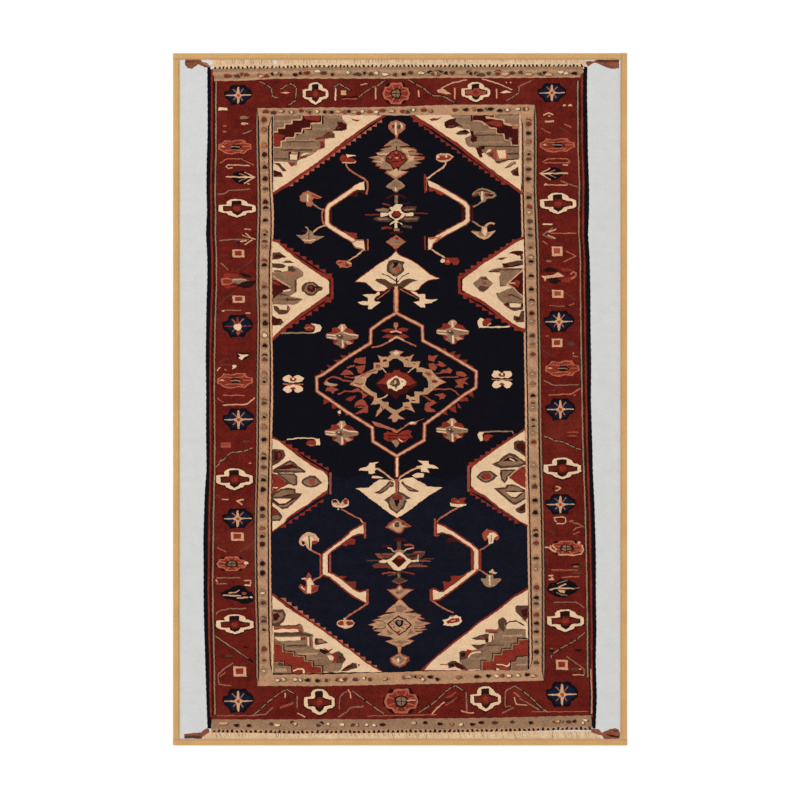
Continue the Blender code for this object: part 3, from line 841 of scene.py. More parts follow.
    def top_right_spandrel(self) -> None:
        """The mirrored corner, which the weaver drew more loosely."""
        self.stairs(Ink.BRICK, 4.6, 99, 37.5, 75.6, 17, False)
        self.batch(
            (Ink.BRICK, (3.2, 100.2, 5.2, 98.3, 8, 96.9, 12, 94.6, 16, 91.9, 20, 89.2, 25, 85, 30,
                         81.4, 35, 77.6,
                         40, 74.3, 42.9, 72, 42.9, 76, 8, 100.2)),
            (Ink.CREAM, (5.2, 100.1, 8, 98.3, 12, 95.9, 16, 93, 20, 90.6, 25, 86.5, 30, 82.7, 35,
                         79, 40, 75.5,
                         42.6, 73.4, 42.4, 100.3)),
            (Ink.TAUPE, (17.3, 100.2, 19.5, 99, 19, 96, 24.4, 95, 25, 93, 22.8, 92, 23, 90.4, 24,
                         89, 26.5, 88.6,
                         27.6, 86.6, 28.6, 85.2, 31, 85.5, 33, 84.8, 33.2, 83.8, 34.8, 83.1, 37,
                         83.6,
                         39, 84.6, 42, 84.8, 42, 100.3)),
            (Ink.SAND, (17.8, 99.8, 24.8, 99.8, 24.8, 99.2, 19, 99.1)),
            (Ink.SAND, (26, 94.6, 33.6, 94.8, 33.6, 94.2, 26, 94)),
            (Ink.SAND, (24.5, 90.8, 36, 90.9, 37, 90.3, 24.5, 90.1)),
            (Ink.UMBER, (26, 93.3, 36, 93.4, 36, 93, 26, 92.8)),
            (Ink.UMBER, (27.5, 89.4, 41.8, 89.3, 41.8, 88.8, 27.5, 88.9)),
            (Ink.SAND, (35, 99.8, 41.6, 99.9, 41.6, 99, 35, 98.9)),
            (Ink.UMBER, (37.6, 86.8, 41.8, 86.9, 41.8, 86.2, 37.6, 86.2)),
            (Ink.SOOT, (24.9, 100.2, 25.6, 100.2, 25.6, 98.2, 24.9, 98)),
            (Ink.TAN, (25.6, 98, 28.4, 97.9, 29.4, 96.7, 31, 96.4, 31.6, 95.4, 33.7, 95.3, 33.8,
                       93.4, 36.4, 93.3,
                       36.6, 91.5, 38.8, 90.8, 39.2, 89.4, 41.8, 89.3, 41.8, 96.8, 38.9, 96.8, 38.7,
                       97.2,
                       36.9, 97.3, 36.7, 98.8, 33.6, 99, 33.4, 100.2, 25.6, 100.2)),
            (Ink.MAROON, (25.7, 100.1, 33, 100.1, 33.3, 98.6, 36.2, 98.2, 36.5, 96.9, 39, 96.2,
                          41.7, 96.4,
                          41.7, 89.6, 39.5, 89.7, 39.2, 91.1, 37, 91.6, 36.7, 93.6, 34.1, 93.7, 34,
                          95.6,
                          31.9, 95.7, 30.3, 97, 28.8, 98.1, 25.7, 98.3)),
            (Ink.BRICK, (29.5, 97.4, 33, 98.2, 36, 97.8, 36, 96, 34, 96.2)),
            (Ink.TAN, (30, 99.7, 33.2, 99.4, 33.4, 98.7, 30.3, 98.9)),
            (Ink.ROSE, (39.4, 96.6, 41.6, 96.5, 41.4, 95.2, 39.6, 95.4)),
            (Ink.SAND, (38.4, 92.3, 39.5, 92, 39.1, 90.9, 38.2, 91.2)),
            (Ink.MAROON, (15.7, 97.7, 17.4, 98.6, 19.7, 99.1, 19.5, 97.9, 21.4, 96.5, 22.3, 96,
                          20.4, 96.3,
                          18.4, 95.4, 16.2, 95.6, 15.5, 96.6)),
            (Ink.UMBER, (17, 96.6, 19.6, 96.5, 18.6, 95.8, 17, 95.9)),
            (Ink.SAND, (21, 96.8, 23.6, 95.8, 25, 95.2, 24.6, 96.6, 22, 97.3)),
            (Ink.UMBER, (19.4, 93.6, 20.8, 94.6, 23, 95.1, 24.6, 94, 23.4, 93.1, 20.2, 93.3)),
            (Ink.SOOT, (21, 94.6, 23.6, 94.8, 24.6, 94, 22.4, 93.8)),
            (Ink.MAROON, (24.6, 94.7, 25.8, 94.4, 26, 92.9, 27.2, 92.4, 27, 91, 25.6, 90.5, 24.7,
                          91.4,
                          25.2, 92.8)),
            (Ink.SOOT, (28.4, 89.3, 29.8, 89.4, 29.7, 88, 28.6, 88.1)),
            (Ink.MAROON, (26.6, 88.6, 28.4, 88.9, 29, 87, 28.9, 85.3, 28, 85.2, 27.4, 86.6)),
            (Ink.CREAM, (30.2, 86.9, 31, 88, 32.5, 88, 31.2, 87)),
            (Ink.CREAM, (28.8, 86.6, 29.8, 86.8, 31.2, 85.6, 33.2, 84.8, 33, 84, 29.4, 84.6)),
            (Ink.RUST, (32.4, 88.2, 33.9, 88.2, 34, 84.4, 32.9, 84.4, 30.6, 86.7, 31.4, 87)),
            (Ink.UMBER, (31.2, 86.7, 32.8, 87.1, 32.8, 85.4, 31.8, 85.6)),
            (Ink.ROSE, (33.9, 88, 37.6, 88.1, 37.8, 84.6, 34, 84.4)),
            (Ink.CREAM, (34.1, 87.7, 37.1, 87.8, 37.2, 84.9, 34.9, 84.8)),
            (Ink.MAROON, .4, (35.6, 84, 38.6, 84.5, 41.8, 84.6)),
            (Ink.UMBER, (33.2, 84, 36.4, 84.1, 35, 83, 33.9, 83.2)),
            (Ink.SAND, (38.8, 83.4, 40.2, 84, 41, 83.4, 38.6, 81.7, 36.6, 81.2)),
            (Ink.UMBER, .3, (37, 81.6, 39, 82.2, 40.8, 83.2)),
            (Ink.CREAM, (38.6, 80.8, 41.7, 83.4, 41.7, 82.6, 39.6, 80.4)),
            (Ink.UMBER, (38.8, 80.3, 41.7, 82, 41.7, 79, 39.8, 78.8)),
            (Ink.MAROON, (40, 80.2, 41.6, 80.6, 41.9, 78.6, 40.4, 78.8)),
            (Ink.BRICK, (10.2, 98.8, 12, 99, 13.6, 99, 14.9, 99.9, 13.4, 98.4, 11, 98.1)),
        )

    def top_left_arm(self) -> None:
        """The hooked arm on the upper left, with its four blossoms."""
        line = (-14.6, 75.2, -19.5, 71.9, -25.1, 68.1, -25.8, 66.6, -25.8, 62, -24.8, 60.9, -15, 55)
        self.batch(
            (Ink.MAROON, .7, (-24.4, 67.6, -24.4, 62)),
            (Ink.ROSE, .6, (-27.2, 67.2, -27.5, 65, -27.4, 63, -26.6, 61.3)),
            (Ink.MAROON, (-19.6, 71.7, -15.1, 71.3, -14.9, 73.3, -12.2, 72.3, -12, 73, -14.8,
                          74.2)),
            (Ink.BRICK, (-20, 59.5, -18, 58.8, -15.3, 58.6, -15.2, 56.7, -17.5, 56.8)),
            (Ink.RUST, 1.9, line),
            (Ink.CREAM, 1.15, line),
            (Ink.CREAM, (-12.7, 76.7, -12.5, 73.7, -15, 73.9, -16.8, 74.8, -14.2, 76.2)),
            (Ink.ROSE, (-17, 55.2, -15.3, 56.4, -12.7, 56.3, -12.2, 52.2, -13.7, 52.8, -15.8,
                        53.2)),
            (Ink.CREAM, (-16.8, 55.1, -15.3, 55.9, -12.9, 55.8, -12.5, 52.6, -13.4, 53.3, -15.6,
                         53.6)),
            (Ink.ROSE, .6, (-19.1, 83.4, -18.8, 82, -17.8, 80.8, -15, 79, -12.6, 77.6, -11.5, 76.6,
                            -11.4, 74.5,
                            -11.9, 72.2)),
            (Ink.BRICK, (-21.2, 84.2, -21.2, 85.3, -20.2, 86.2, -18.9, 86, -18.8, 85.2, -16.5, 84.8,
                         -15.5, 84,
                         -16.1, 83.2, -20.3, 83.2)),
            (Ink.CREAM, (-19, 86.3, -17, 86.2, -15.4, 85.8, -18.6, 85.3)),
            (Ink.TAN, .4, (-20.4, 83.5, -18.5, 83.3, -16, 83.4, -15.6, 84)),
            (Ink.MAROON, .5, (-11.95, 56.4, -12, 52.5)),
            (Ink.ROSE, .45, (-11.4, 56.5, -11.4, 52.4)),
            (Ink.TAN, .5, (-12.9, 52.6, -15.5, 50.4, -18.2, 48.9)),
            (Ink.ROSE, (-22.6, 48.2, -22, 49, -19.8, 48.9, -18, 49, -17, 47.9, -17.2, 46.8, -18.4,
                        46.4,
                        -21.2, 46.4, -21.9, 47.3)),
            (Ink.BRICK, (-22.2, 48.3, -20.4, 48.5, -20.2, 47.9, -22, 47.8)),
            (Ink.BRICK, (-19.2, 48.2, -17.8, 47.2, -18.6, 46.7, -19.4, 47)),
            (Ink.CREAM, .3, (-18.6, 48.4, -17.2, 47.7)),
            (Ink.SAND, .5, (-30.4, 68.6, -28.4, 67.2, -26.8, 66.8)),
            (Ink.ROSE, (-35.3, 70.1, -35.4, 71.6, -34.2, 72.8, -32.4, 73.5, -30.9, 72.8, -27.5,
                        71.1, -28.7, 70.6,
                        -30.2, 71, -31, 70, -30.3, 68.7, -31.5, 67.8, -32.9, 68.1, -33.1, 69.4,
                        -34.4, 69.6)),
            (Ink.SAND, (-34.9, 70.4, -34.8, 71.5, -33.4, 72.5, -32.2, 72.6, -31.4, 71.8, -31.9,
                        69.6, -31, 68.6,
                        -32, 68.3, -32.8, 69.9, -34, 70)),
            (Ink.CREAM, .5, (-32.6, 72.2, -32.6, 69.6)),
            (Ink.BRICK, .5, (-31.2, 71.9, -28.9, 71.1)),
            (Ink.SAND, (-36.8, 57.9, -34.6, 57.8, -33.2, 58.4, -32.3, 59.6, -30.9, 59.1, -30.4,
                        57.7, -26.7, 57.4,
                        -29, 56.2, -31, 55.1, -33.5, 55.3, -35.2, 56.7)),
            (Ink.UMBER, .35, (-32.1, 59.2, -32.1, 56.4)),
            (Ink.CREAM, .35, (-34.4, 56.2, -32, 55.9, -29.8, 56.3)),
            (Ink.ROSE, .3, (-33.8, 55.2, -31, 55)),
            (Ink.SAND, .5, (-32.3, 59.4, -32.6, 60.4, -33.4, 60.8)),
            (Ink.MAROON, .5, (-34.8, 59.4, -32.8, 59.1)),
            (Ink.TAN, .5, (-30.7, 58.8, -29, 60.3, -27.2, 61.1, -25.9, 61.2)),
        )

    def top_right_arm(self) -> None:
        """The hooked arm on the upper right, with its four blossoms."""
        line = (10.6, 75.9, 16.5, 72.9, 22.8, 69, 23.8, 67.6, 23.8, 63.2, 22.8, 62.2, 16, 58.6,
                11.6, 56)
        self.batch(
            (Ink.MAROON, .8, (22.1, 68.6, 22.1, 62.6)),
            (Ink.MAROON, .55, (25.4, 68.8, 25.4, 62.8)),
            (Ink.MAROON, .5, (13, 59.5, 17, 59.3)),
            (Ink.MAROON, .5, (12.9, 58.2, 16, 58.2)),
            (Ink.BRICK, (10.1, 75.2, 13.6, 74.8, 15.8, 72.6, 14.6, 71.8, 12.8, 72.4, 12.6, 73.4,
                         10.2, 73.2)),
            (Ink.RUST, 2.0, line),
            (Ink.CREAM, 1.25, line),
            (Ink.CREAM, (9.7, 77.2, 10.2, 74.9, 13, 74.2, 14, 75.2)),
            (Ink.BRICK, .55, (8.7, 79.4, 8.7, 76, 8.9, 72.8)),
            (Ink.ROSE, .3, (9.2, 78.4, 9.3, 73.4)),
            (Ink.BRICK, .55, (8.7, 57.5, 8.8, 52.6)),
            (Ink.ROSE, (9.9, 57, 13.4, 57.2, 14.8, 57.8, 13, 55.4, 11.6, 54.6, 11.2, 52.8, 9.8,
                        52.6)),
            (Ink.CREAM, (9.9, 56.6, 11, 56.2, 13.4, 56.8, 11.6, 55.2, 11.2, 54, 10.8, 52.8, 10,
                         52.9)),
            (Ink.TAN, .55, (9.4, 77.6, 12, 79.6, 15.2, 81.7, 16, 82.8, 16, 84)),
            (Ink.TAN, (12.6, 84.4, 12.8, 86, 14.4, 86.7, 17.3, 86.6, 18.8, 85.4, 17.6, 84.2, 16.5,
                       83.6, 14.1, 83.6)),
            (Ink.BRICK, (13, 84.6, 13.3, 85.8, 14.8, 86.2, 17.2, 86, 18.3, 85.3, 17, 84.5, 14.4,
                         84.2)),
            (Ink.TAN, .55, (11.1, 52.8, 13, 51.5, 15.3, 50.2, 16.2, 49.4)),
            (Ink.BRICK, (15.8, 50, 17.6, 49.9, 20.2, 49.9, 21, 48.6, 20.2, 47.4, 18.8, 47.3, 18.2,
                         48.4, 17.4, 47.4,
                         16, 47.4, 15.3, 48.4)),
            (Ink.SAND, .5, (25.6, 67.8, 27.4, 68.6, 29, 69.8)),
            (Ink.SAND, (25.3, 71.8, 25.8, 73, 27.5, 74.1, 29, 74.5, 30.7, 74.1, 33.4, 72.9, 33.9,
                        71.9, 33, 70.9,
                        30.6, 70.6, 29.7, 69.5, 28.6, 69.5, 28.3, 71.4, 27.2, 72.6)),
            (Ink.UMBER, (26, 72.8, 28.6, 74, 30.5, 73.6, 32.8, 72.6, 30.2, 73, 28.2, 73.2)),
            (Ink.BRICK, (25.4, 71.6, 27.8, 72.8, 27.2, 71.6, 26, 71.4)),
            (Ink.BRICK, (29.9, 72.7, 32, 72.6, 31, 71.3, 29.8, 71.6)),
            (Ink.CREAM, .75, (28.9, 73.3, 28.9, 70.1)),
            (Ink.SOOT, (31, 72.3, 33, 72.3, 32.6, 71.4, 31.2, 71.5)),
            (Ink.TAN, (24.9, 59.2, 26.8, 59, 28.7, 58.6, 28.7, 61, 30.5, 60.9, 30.8, 58.8, 33.7,
                       59.5, 32.6, 58.2,
                       31, 56.8, 29.5, 56.3, 28, 56.8, 26.4, 58)),
            (Ink.SAND, (27, 58.6, 32, 58.8, 30.8, 57.4, 28.2, 57.4)),
            (Ink.ROSE, .35, (25.2, 59.2, 28.4, 59)),
            (Ink.TAN, .7, (29.9, 61, 31.4, 62, 32.6, 62.1, 33.3, 61.7)),
            (Ink.MAROON, .4, (30.6, 60.5, 31.9, 61)),
            (Ink.SAND, .5, (25.3, 62.8, 27, 61.8, 28.8, 60.7)),
        )
        self.spots(Ink.CREAM, (13.4, 85.4, .5, .35), (16.3, 85.6, .4, .4), (15, 48.8, .8, .8),
                   (29.8, 58.8, .7, 1.2))
        self.spots(Ink.ROSE, (14.6, 85.9, 1.2, .35), (16.8, 48.6, .6, .6))

    def top_column(self) -> None:
        """The rosettes and diamonds above the centre."""
        big = (-1.6, 91.8, -3.5, 90.9, -5.8, 89.1, -3.3, 89.5, -2.8, 89, -4.2, 88.6, -7.1, 88, -5.6,
               87.5, -8.6, 86.8,
               -6.9, 86.2, -11, 85.2, -8.4, 84.5, -10, 83.8, -8, 83.2, -8.5, 82.4, -6.5, 82.1, -7.1,
               81.5, -5, 81.2,
               -4.4, 80.8, -5.2, 79.9, -3.5, 78.9, -1.9, 77.7, -1.3, 77.7, 0, 78.5, 1.5, 79.4, 2.8,
               80.2, .5, 80.5,
               1.6, 81, 3.5, 81.7, 5.8, 82.1, 4.6, 82.7, 7.4, 83.3, 5, 84, 8.4, 84.7, 8.4, 85.3, 5,
               85.7, 7.9, 86.3,
               5.4, 86.8, 5.8, 87.7, 4.8, 88.3, 2.5, 88.7, 0, 88.6, -.1, 89.3, 3.2, 89.4, 1.5, 90.3,
               -.3, 91.4)
        self.batch(
            (Ink.ROSE, (-4.1, 95.2, -4.2, 96.8, -3.2, 97.8, -1.4, 98.3, .6, 97.7, 1.8, 96.8, 1.9,
                        95.4, .8, 94.4,
                        -.6, 93.5, -1, 91.7, -1.5, 91.7, -1.9, 93.2, -2.8, 94, -3.8, 95)),
            (Ink.SAND, (-3.3, 95.6, -3.3, 96.8, -2.2, 97.4, .4, 97.3, 1.2, 96.6, 1.2, 95.6, 0, 94.7,
                        -2.6, 94.8)),
            (Ink.UMBER, (-2.9, 96.6, -2, 96.8, -1.9, 95.4, -2.8, 95.5)),
            (Ink.UMBER, (-1, 96.6, .2, 96.6, 0, 95.3, -1, 95.3)),
            (Ink.CREAM, .6, (-1.55, 97.5, -1.55, 94.4, -1.2, 93)),
            (Ink.CREAM, .4, (0, 97.3, .7, 96.4, .6, 95.4)),
            (Ink.BRICK, .5, big + big[:2]),
            (Ink.SAND, big),
            (Ink.TAUPE, (-3.8, 89.6, -1.4, 91.3, 2.6, 89.5, 0, 90, -1.4, 90.2)),
            (Ink.TAN, (.2, 88.4, 4.6, 88, 2.6, 87.4, 3.2, 86.4, 1.6, 87)),
            (Ink.TAN, (2.4, 86.2, 5, 85.6, 4.6, 84, 2.6, 83.6, 3, 84.8)),
            (Ink.TAN, (-8.4, 86.7, -4, 86.8, -4.4, 86, -9.5, 85.5, -5.8, 85, -5.6, 84, -9.4, 83.9,
                       -6, 83.3)),
            (Ink.MAROON, .3, (-10.6, 85.5, -7.5, 85.9, -5, 85.8)),
            (Ink.MAROON, .3, (3.4, 85.9, 7.4, 86.2)),
            (Ink.RUST, (5, 85.2, 8.2, 85.2, 8, 84.6, 4.8, 84.7)),
            (Ink.RUST, (2.8, 87.6, 5.6, 87.6, 4.6, 87, 3, 87)),
            (Ink.TAN, (-4.6, 80, -2.4, 80.6, -1.6, 81.4, -.6, 80.6, 2.2, 80.1, -.6, 79, -1.6,
                       78.4)),
            (Ink.SOOT, (-3.4, 87.2, -1.3, 88.1, .4, 87.3, 1.7, 86.3, 2.7, 84.4, 1.2, 82.8, 0, 81.8,
                        -.6, 80.6,
                        -1.1, 81.5, -2.4, 80.9, -3.4, 82.7, -5.2, 83.9, -5, 85.6, -3.9, 86.5)),
            (Ink.BRICK, (-3, 86.9, -1.3, 87.6, .3, 86.9, 1.4, 86.1, 2.2, 84.4, 1, 83.1, -.2, 82, -1,
                         81.8,
                         -2.4, 81.6, -3.2, 83, -4.8, 84.1, -4.6, 85.4, -3.6, 86.2)),
            (Ink.SOOT, .35, (-2.6, 86.6, -1.4, 85.9, -.2, 86.6)),
            (Ink.SOOT, .35, (-4.4, 84.9, -3, 84.6, -2.4, 85.6)),
            (Ink.SOOT, .35, (-.2, 85.6, .6, 84.2, 1.8, 84.5)),
            (Ink.SOOT, .35, (-3.2, 83.4, -1.8, 83.9, -.4, 83.7)),
            (Ink.ROSE, .5, (-3.8, 85.5, -3.4, 84.9)),
            (Ink.ROSE, .5, (.8, 85.4, 1.2, 84.9)),
            (Ink.ROSE, .5, (-1.6, 87.1, -1, 86.6)),
            (Ink.CREAM, .4, (-1.5, 85, -.7, 85)),
            (Ink.SOOT, .4, (-1.3, 89.2, -1.3, 87.8)),
            (Ink.SOOT, .35, (-4.6, 80.9, -3, 80.7)),
            (Ink.SOOT, .35, (.3, 80.7, 2.4, 80.8)),
            (Ink.SAND, (-5.1, 75, -3.6, 76.3, -1.6, 77.8, .3, 76.6, 1.8, 75.4, 1.3, 74.7, -.3, 73.8,
                        -1.2, 72.9,
                        -2, 73.2, -3, 74.1, -4.6, 74.6)),
            (Ink.TAUPE, (-3.4, 75.6, -1.5, 76.9, .2, 75.8, -.6, 75, -2.6, 75)),
            (Ink.CREAM, .5, (-1.6, 74.6, -1.6, 73.4)),
            (Ink.MAROON, .5, (-4.8, 70.8, -3, 71.8, -1.4, 72.7, 0, 71.9, 2.1, 70.8)),
            (Ink.MAROON, .8, (-1.5, 73, -1.5, 72)),
            (Ink.TAUPE, 1.1, (-1.3, 71.8, -1.4, 69)),
            (Ink.TAUPE, (-8.8, 66.8, -6, 67.5, -3.6, 67, -4.4, 66, -7.6, 66.2)),
            (Ink.SAND, (-7.4, 66.9, -4.6, 66.9, -4.6, 66.6, -7.4, 66.5)),
            (Ink.UMBER, (0, 67.2, 2.6, 68.1, 5.9, 68, 5.4, 66.4, 2, 66.1)),
            (Ink.SAND, .35, (1.4, 66.6, 5, 67)),
            (Ink.UMBER, (-9.6, 63.5, -8, 64.3, -4.4, 64.3, -2.4, 63.2, -4, 62.4, -8, 62.8)),
            (Ink.TAUPE, (-8.2, 63.9, -4.6, 63.9, -4, 63.2, -7.4, 63.1)),
            (Ink.UMBER, (-.2, 63.2, 1.6, 64.4, 7, 64.4, 6.2, 62.8, 2, 62.4)),
            (Ink.TAUPE, .4, (1.6, 63.5, 6, 63.6)),
            (Ink.BRICK, .4, (-12.3, 65, -6.6, 65.1)),
            (Ink.BRICK, .35, (4.6, 65.7, 9.9, 65.4)),
            (Ink.BRICK, .5, (-6.2, 69, -3.6, 68.3)),
            (Ink.MAROON, .4, (.2, 68.8, 3.8, 69.3)),
            (Ink.CREAM, (-4.4, 65.6, -3, 66.6, -3.8, 67.5, -2.6, 67.9, -1.3, 68.9, .9, 68.5, .2,
                         67.4, .4, 66.4,
                         2, 65.3, .9, 63.9, -1, 62.9, .9, 61.2, .6, 62.1, -1.1, 62.3, -1, 60.3,
                         -1.9, 60.3,
                         -1.9, 62.3, -3.8, 61.3, -2.9, 62.5, -1.7, 63.1, -3.6, 64.2)),
            (Ink.CREAM, (-6.9, 65.8, -4.2, 65.6, -4.2, 64.9, -6.9, 64.2)),
            (Ink.CREAM, (1.8, 65.5, 4.6, 65.8, 4.7, 64.6, 2, 64.5)),
            (Ink.MAROON, (-3.1, 65.2, -2.2, 66.4, -.4, 66.4, .6, 65.2, -.2, 64, -1.6, 63.5, -2.8,
                          64.2)),
            (Ink.BRICK, (-2.6, 65.2, -1.9, 66, -.5, 66, .1, 65.2, -.6, 64.4, -1.9, 64.4)),
            (Ink.BRICK, .8, (-6.6, 60.1, -5, 60.5, -3, 60.3)),
            (Ink.UMBER, .8, (.6, 61.2, 2.4, 60.8, 4.2, 60.6)),
            (Ink.TAUPE, (-2.2, 60.2, -.2, 60.2, -.2, 59.2, -2.2, 59.2)),
            (Ink.MAROON, .7, (-3.6, 58.5, -1, 58.7, 1.2, 58.9)),
            (Ink.ROSE, (-5.1, 55.4, -3.3, 56.7, -1.4, 57.9, .2, 56.8, 2, 55.5, 0, 54.1, -1.1, 53,
                        -1.9, 53, -3, 54)),
            (Ink.SAND, (-4.2, 55.5, -1.5, 56.7, 1.2, 55.5, -.4, 54.3, -2.6, 54.3)),
            (Ink.TAUPE, (-3, 55.2, -1, 55.6, .8, 55.3, -1, 54.8)),
            (Ink.BRICK, (-1.7, 57.1, -.6, 57.1, -.6, 56.2, -1.7, 56.3)),
            (Ink.BRICK, .7, (-1.45, 53.2, -1.45, 51)),
        )

    def upper_left_pendant(self) -> None:
        """The half lozenge that hangs into the field from the upper left side."""
        self.stairs(Ink.BRICK, -44.5, 56.3, -24, 42.8, 9, True)
        self.stairs(Ink.BRICK, -42.5, 23.6, -24.3, 35.6, 8, True)
        self.batch(
            (Ink.BRICK, (-45, 56.5, -43, 55.8, -40, 53.2, -35, 49.3, -30, 46, -24, 42.8, -23.6,
                         42.6, -23.5, 35.3,
                         -27, 34.4, -32, 31, -35, 29, -40, 25, -42.4, 22.8, -45, 20.4)),
            (Ink.MAROON, (-25.4, 42.6, -24.4, 42.2, -24.4, 36.2, -26, 36)),
            (Ink.CREAM, (-45, 55.7, -43, 54.9, -40, 52.2, -35, 48.3, -30, 44.9, -25.3, 41.8, -25,
                         41.2, -25, 37.4,
                         -28, 35.2, -32, 32.4, -35, 30.4, -40, 26.4, -42.5, 24.2, -45, 21.8)),
            (Ink.UMBER, (-45, 51.7, -42.5, 51.9, -41.3, 51, -39.9, 50, -41.5, 49.8, -43.5, 49.3,
                         -45, 49.2)),
            (Ink.MAROON, (-44, 50.9, -42.2, 51, -40.6, 50.1, -43, 49.9, -44.8, 49.6)),
            (Ink.UMBER, (-41.8, 48.2, -40.2, 48.9, -38.7, 48.9, -37.2, 48.2, -39, 47.9)),
            (Ink.UMBER, (-45, 47.9, -43, 47.9, -41, 47.6, -40.3, 46.9, -41, 46.1, -45, 46.4)),
            (Ink.TAUPE, (-45, 44.7, -39.6, 45.2, -39.5, 46.9, -37.7, 47, -35.6, 46.2, -34.1, 44.6,
                         -34.1, 43.4,
                         -36.4, 42.2, -36.5, 37.7, -39, 36.3, -37, 35.9, -34.2, 35.3, -36, 33.8,
                         -37.5, 33.3,
                         -45, 33.4)),
            (Ink.UMBER, (-39.4, 46.7, -37.7, 46.8, -36.6, 45.5, -37.6, 45, -39.4, 45.1)),
            (Ink.SAND, .4, (-37.6, 46.4, -35.6, 45.6, -34.7, 44.4)),
            (Ink.UMBER, (-36.5, 42.2, -36.5, 37.8, -37.2, 38, -37.2, 42)),
            (Ink.UMBER, .5, (-44.6, 45.3, -41.8, 45.1)),
            (Ink.ROSE, (-41.2, 44.1, -40.6, 44.6, -37.1, 44.6, -36.9, 43.9, -37.4, 43.6, -40.8,
                        43.6)),
            (Ink.MAROON, (-45, 42.2, -43.5, 42, -41.5, 40.7, -38.1, 39.2, -41, 38, -45, 35.4)),
            (Ink.BRICK, (-45, 41.8, -43.6, 41.6, -42, 40.2, -45, 40.6)),
            (Ink.TAN, .4, (-44.8, 43.5, -43.2, 42.2, -41, 41, -38.8, 39.4)),
            (Ink.CREAM, (-41.3, 38.3, -38.5, 38.9, -38.8, 38.2, -41, 37.8)),
            (Ink.UMBER, (-42, 37.6, -39, 36.5, -42.6, 36.6)),
            (Ink.MAROON, (-40.1, 35.7, -39.3, 35.7, -39.4, 34.6, -40, 34.5)),
            (Ink.UMBER, (-43.6, 35.1, -37, 35.5, -35, 35.2, -38, 34.7)),
            (Ink.UMBER, (-44.7, 33, -43.3, 32.8, -42.4, 31.6, -40, 31.4, -39.6, 33.3, -38.6, 32,
                         -39.6, 30.3,
                         -40.5, 30, -42.6, 29.9, -44.3, 31.3)),
            (Ink.ROSE, (-39.3, 32.6, -38.5, 32, -39.1, 31.1, -39.7, 31.4)),
            (Ink.MAROON, (-45, 29.4, -43.2, 28.5, -41.8, 28.4, -41.1, 27, -42, 26.1, -45, 26)),
            (Ink.UMBER, (-42, 28.3, -41.2, 27, -42, 26.2, -43, 26.3, -42.4, 27.2)),
            (Ink.UMBER, (-34.7, 38, -34.7, 39.8, -33.5, 41, -32, 41.5, -30.4, 41.4, -29.3, 40.6,
                         -28.6, 39.9,
                         -27.1, 39.4, -27.7, 38.3, -28.9, 38, -30, 36.7, -31.5, 36.4, -33, 36.8,
                         -33.8, 37.8)),
            (Ink.TAUPE, (-33.7, 38.4, -33.6, 39.6, -32.6, 40.8, -30.6, 40.8, -29.6, 39.9, -29.6,
                         38.2, -30.8, 37.2,
                         -32.6, 37.4)),
            (Ink.MAROON, (-33, 39, -32.2, 40.2, -31, 40.4, -29.8, 39.5, -30, 38.3, -31, 37.7, -32.3,
                          38.1)),
            (Ink.BRICK, (-32.4, 39.4, -31.4, 40.1, -30.6, 39.4, -31.4, 38.8)),
            (Ink.SOOT, .5, (-30.4, 39.4, -28.3, 39.5)),
        )

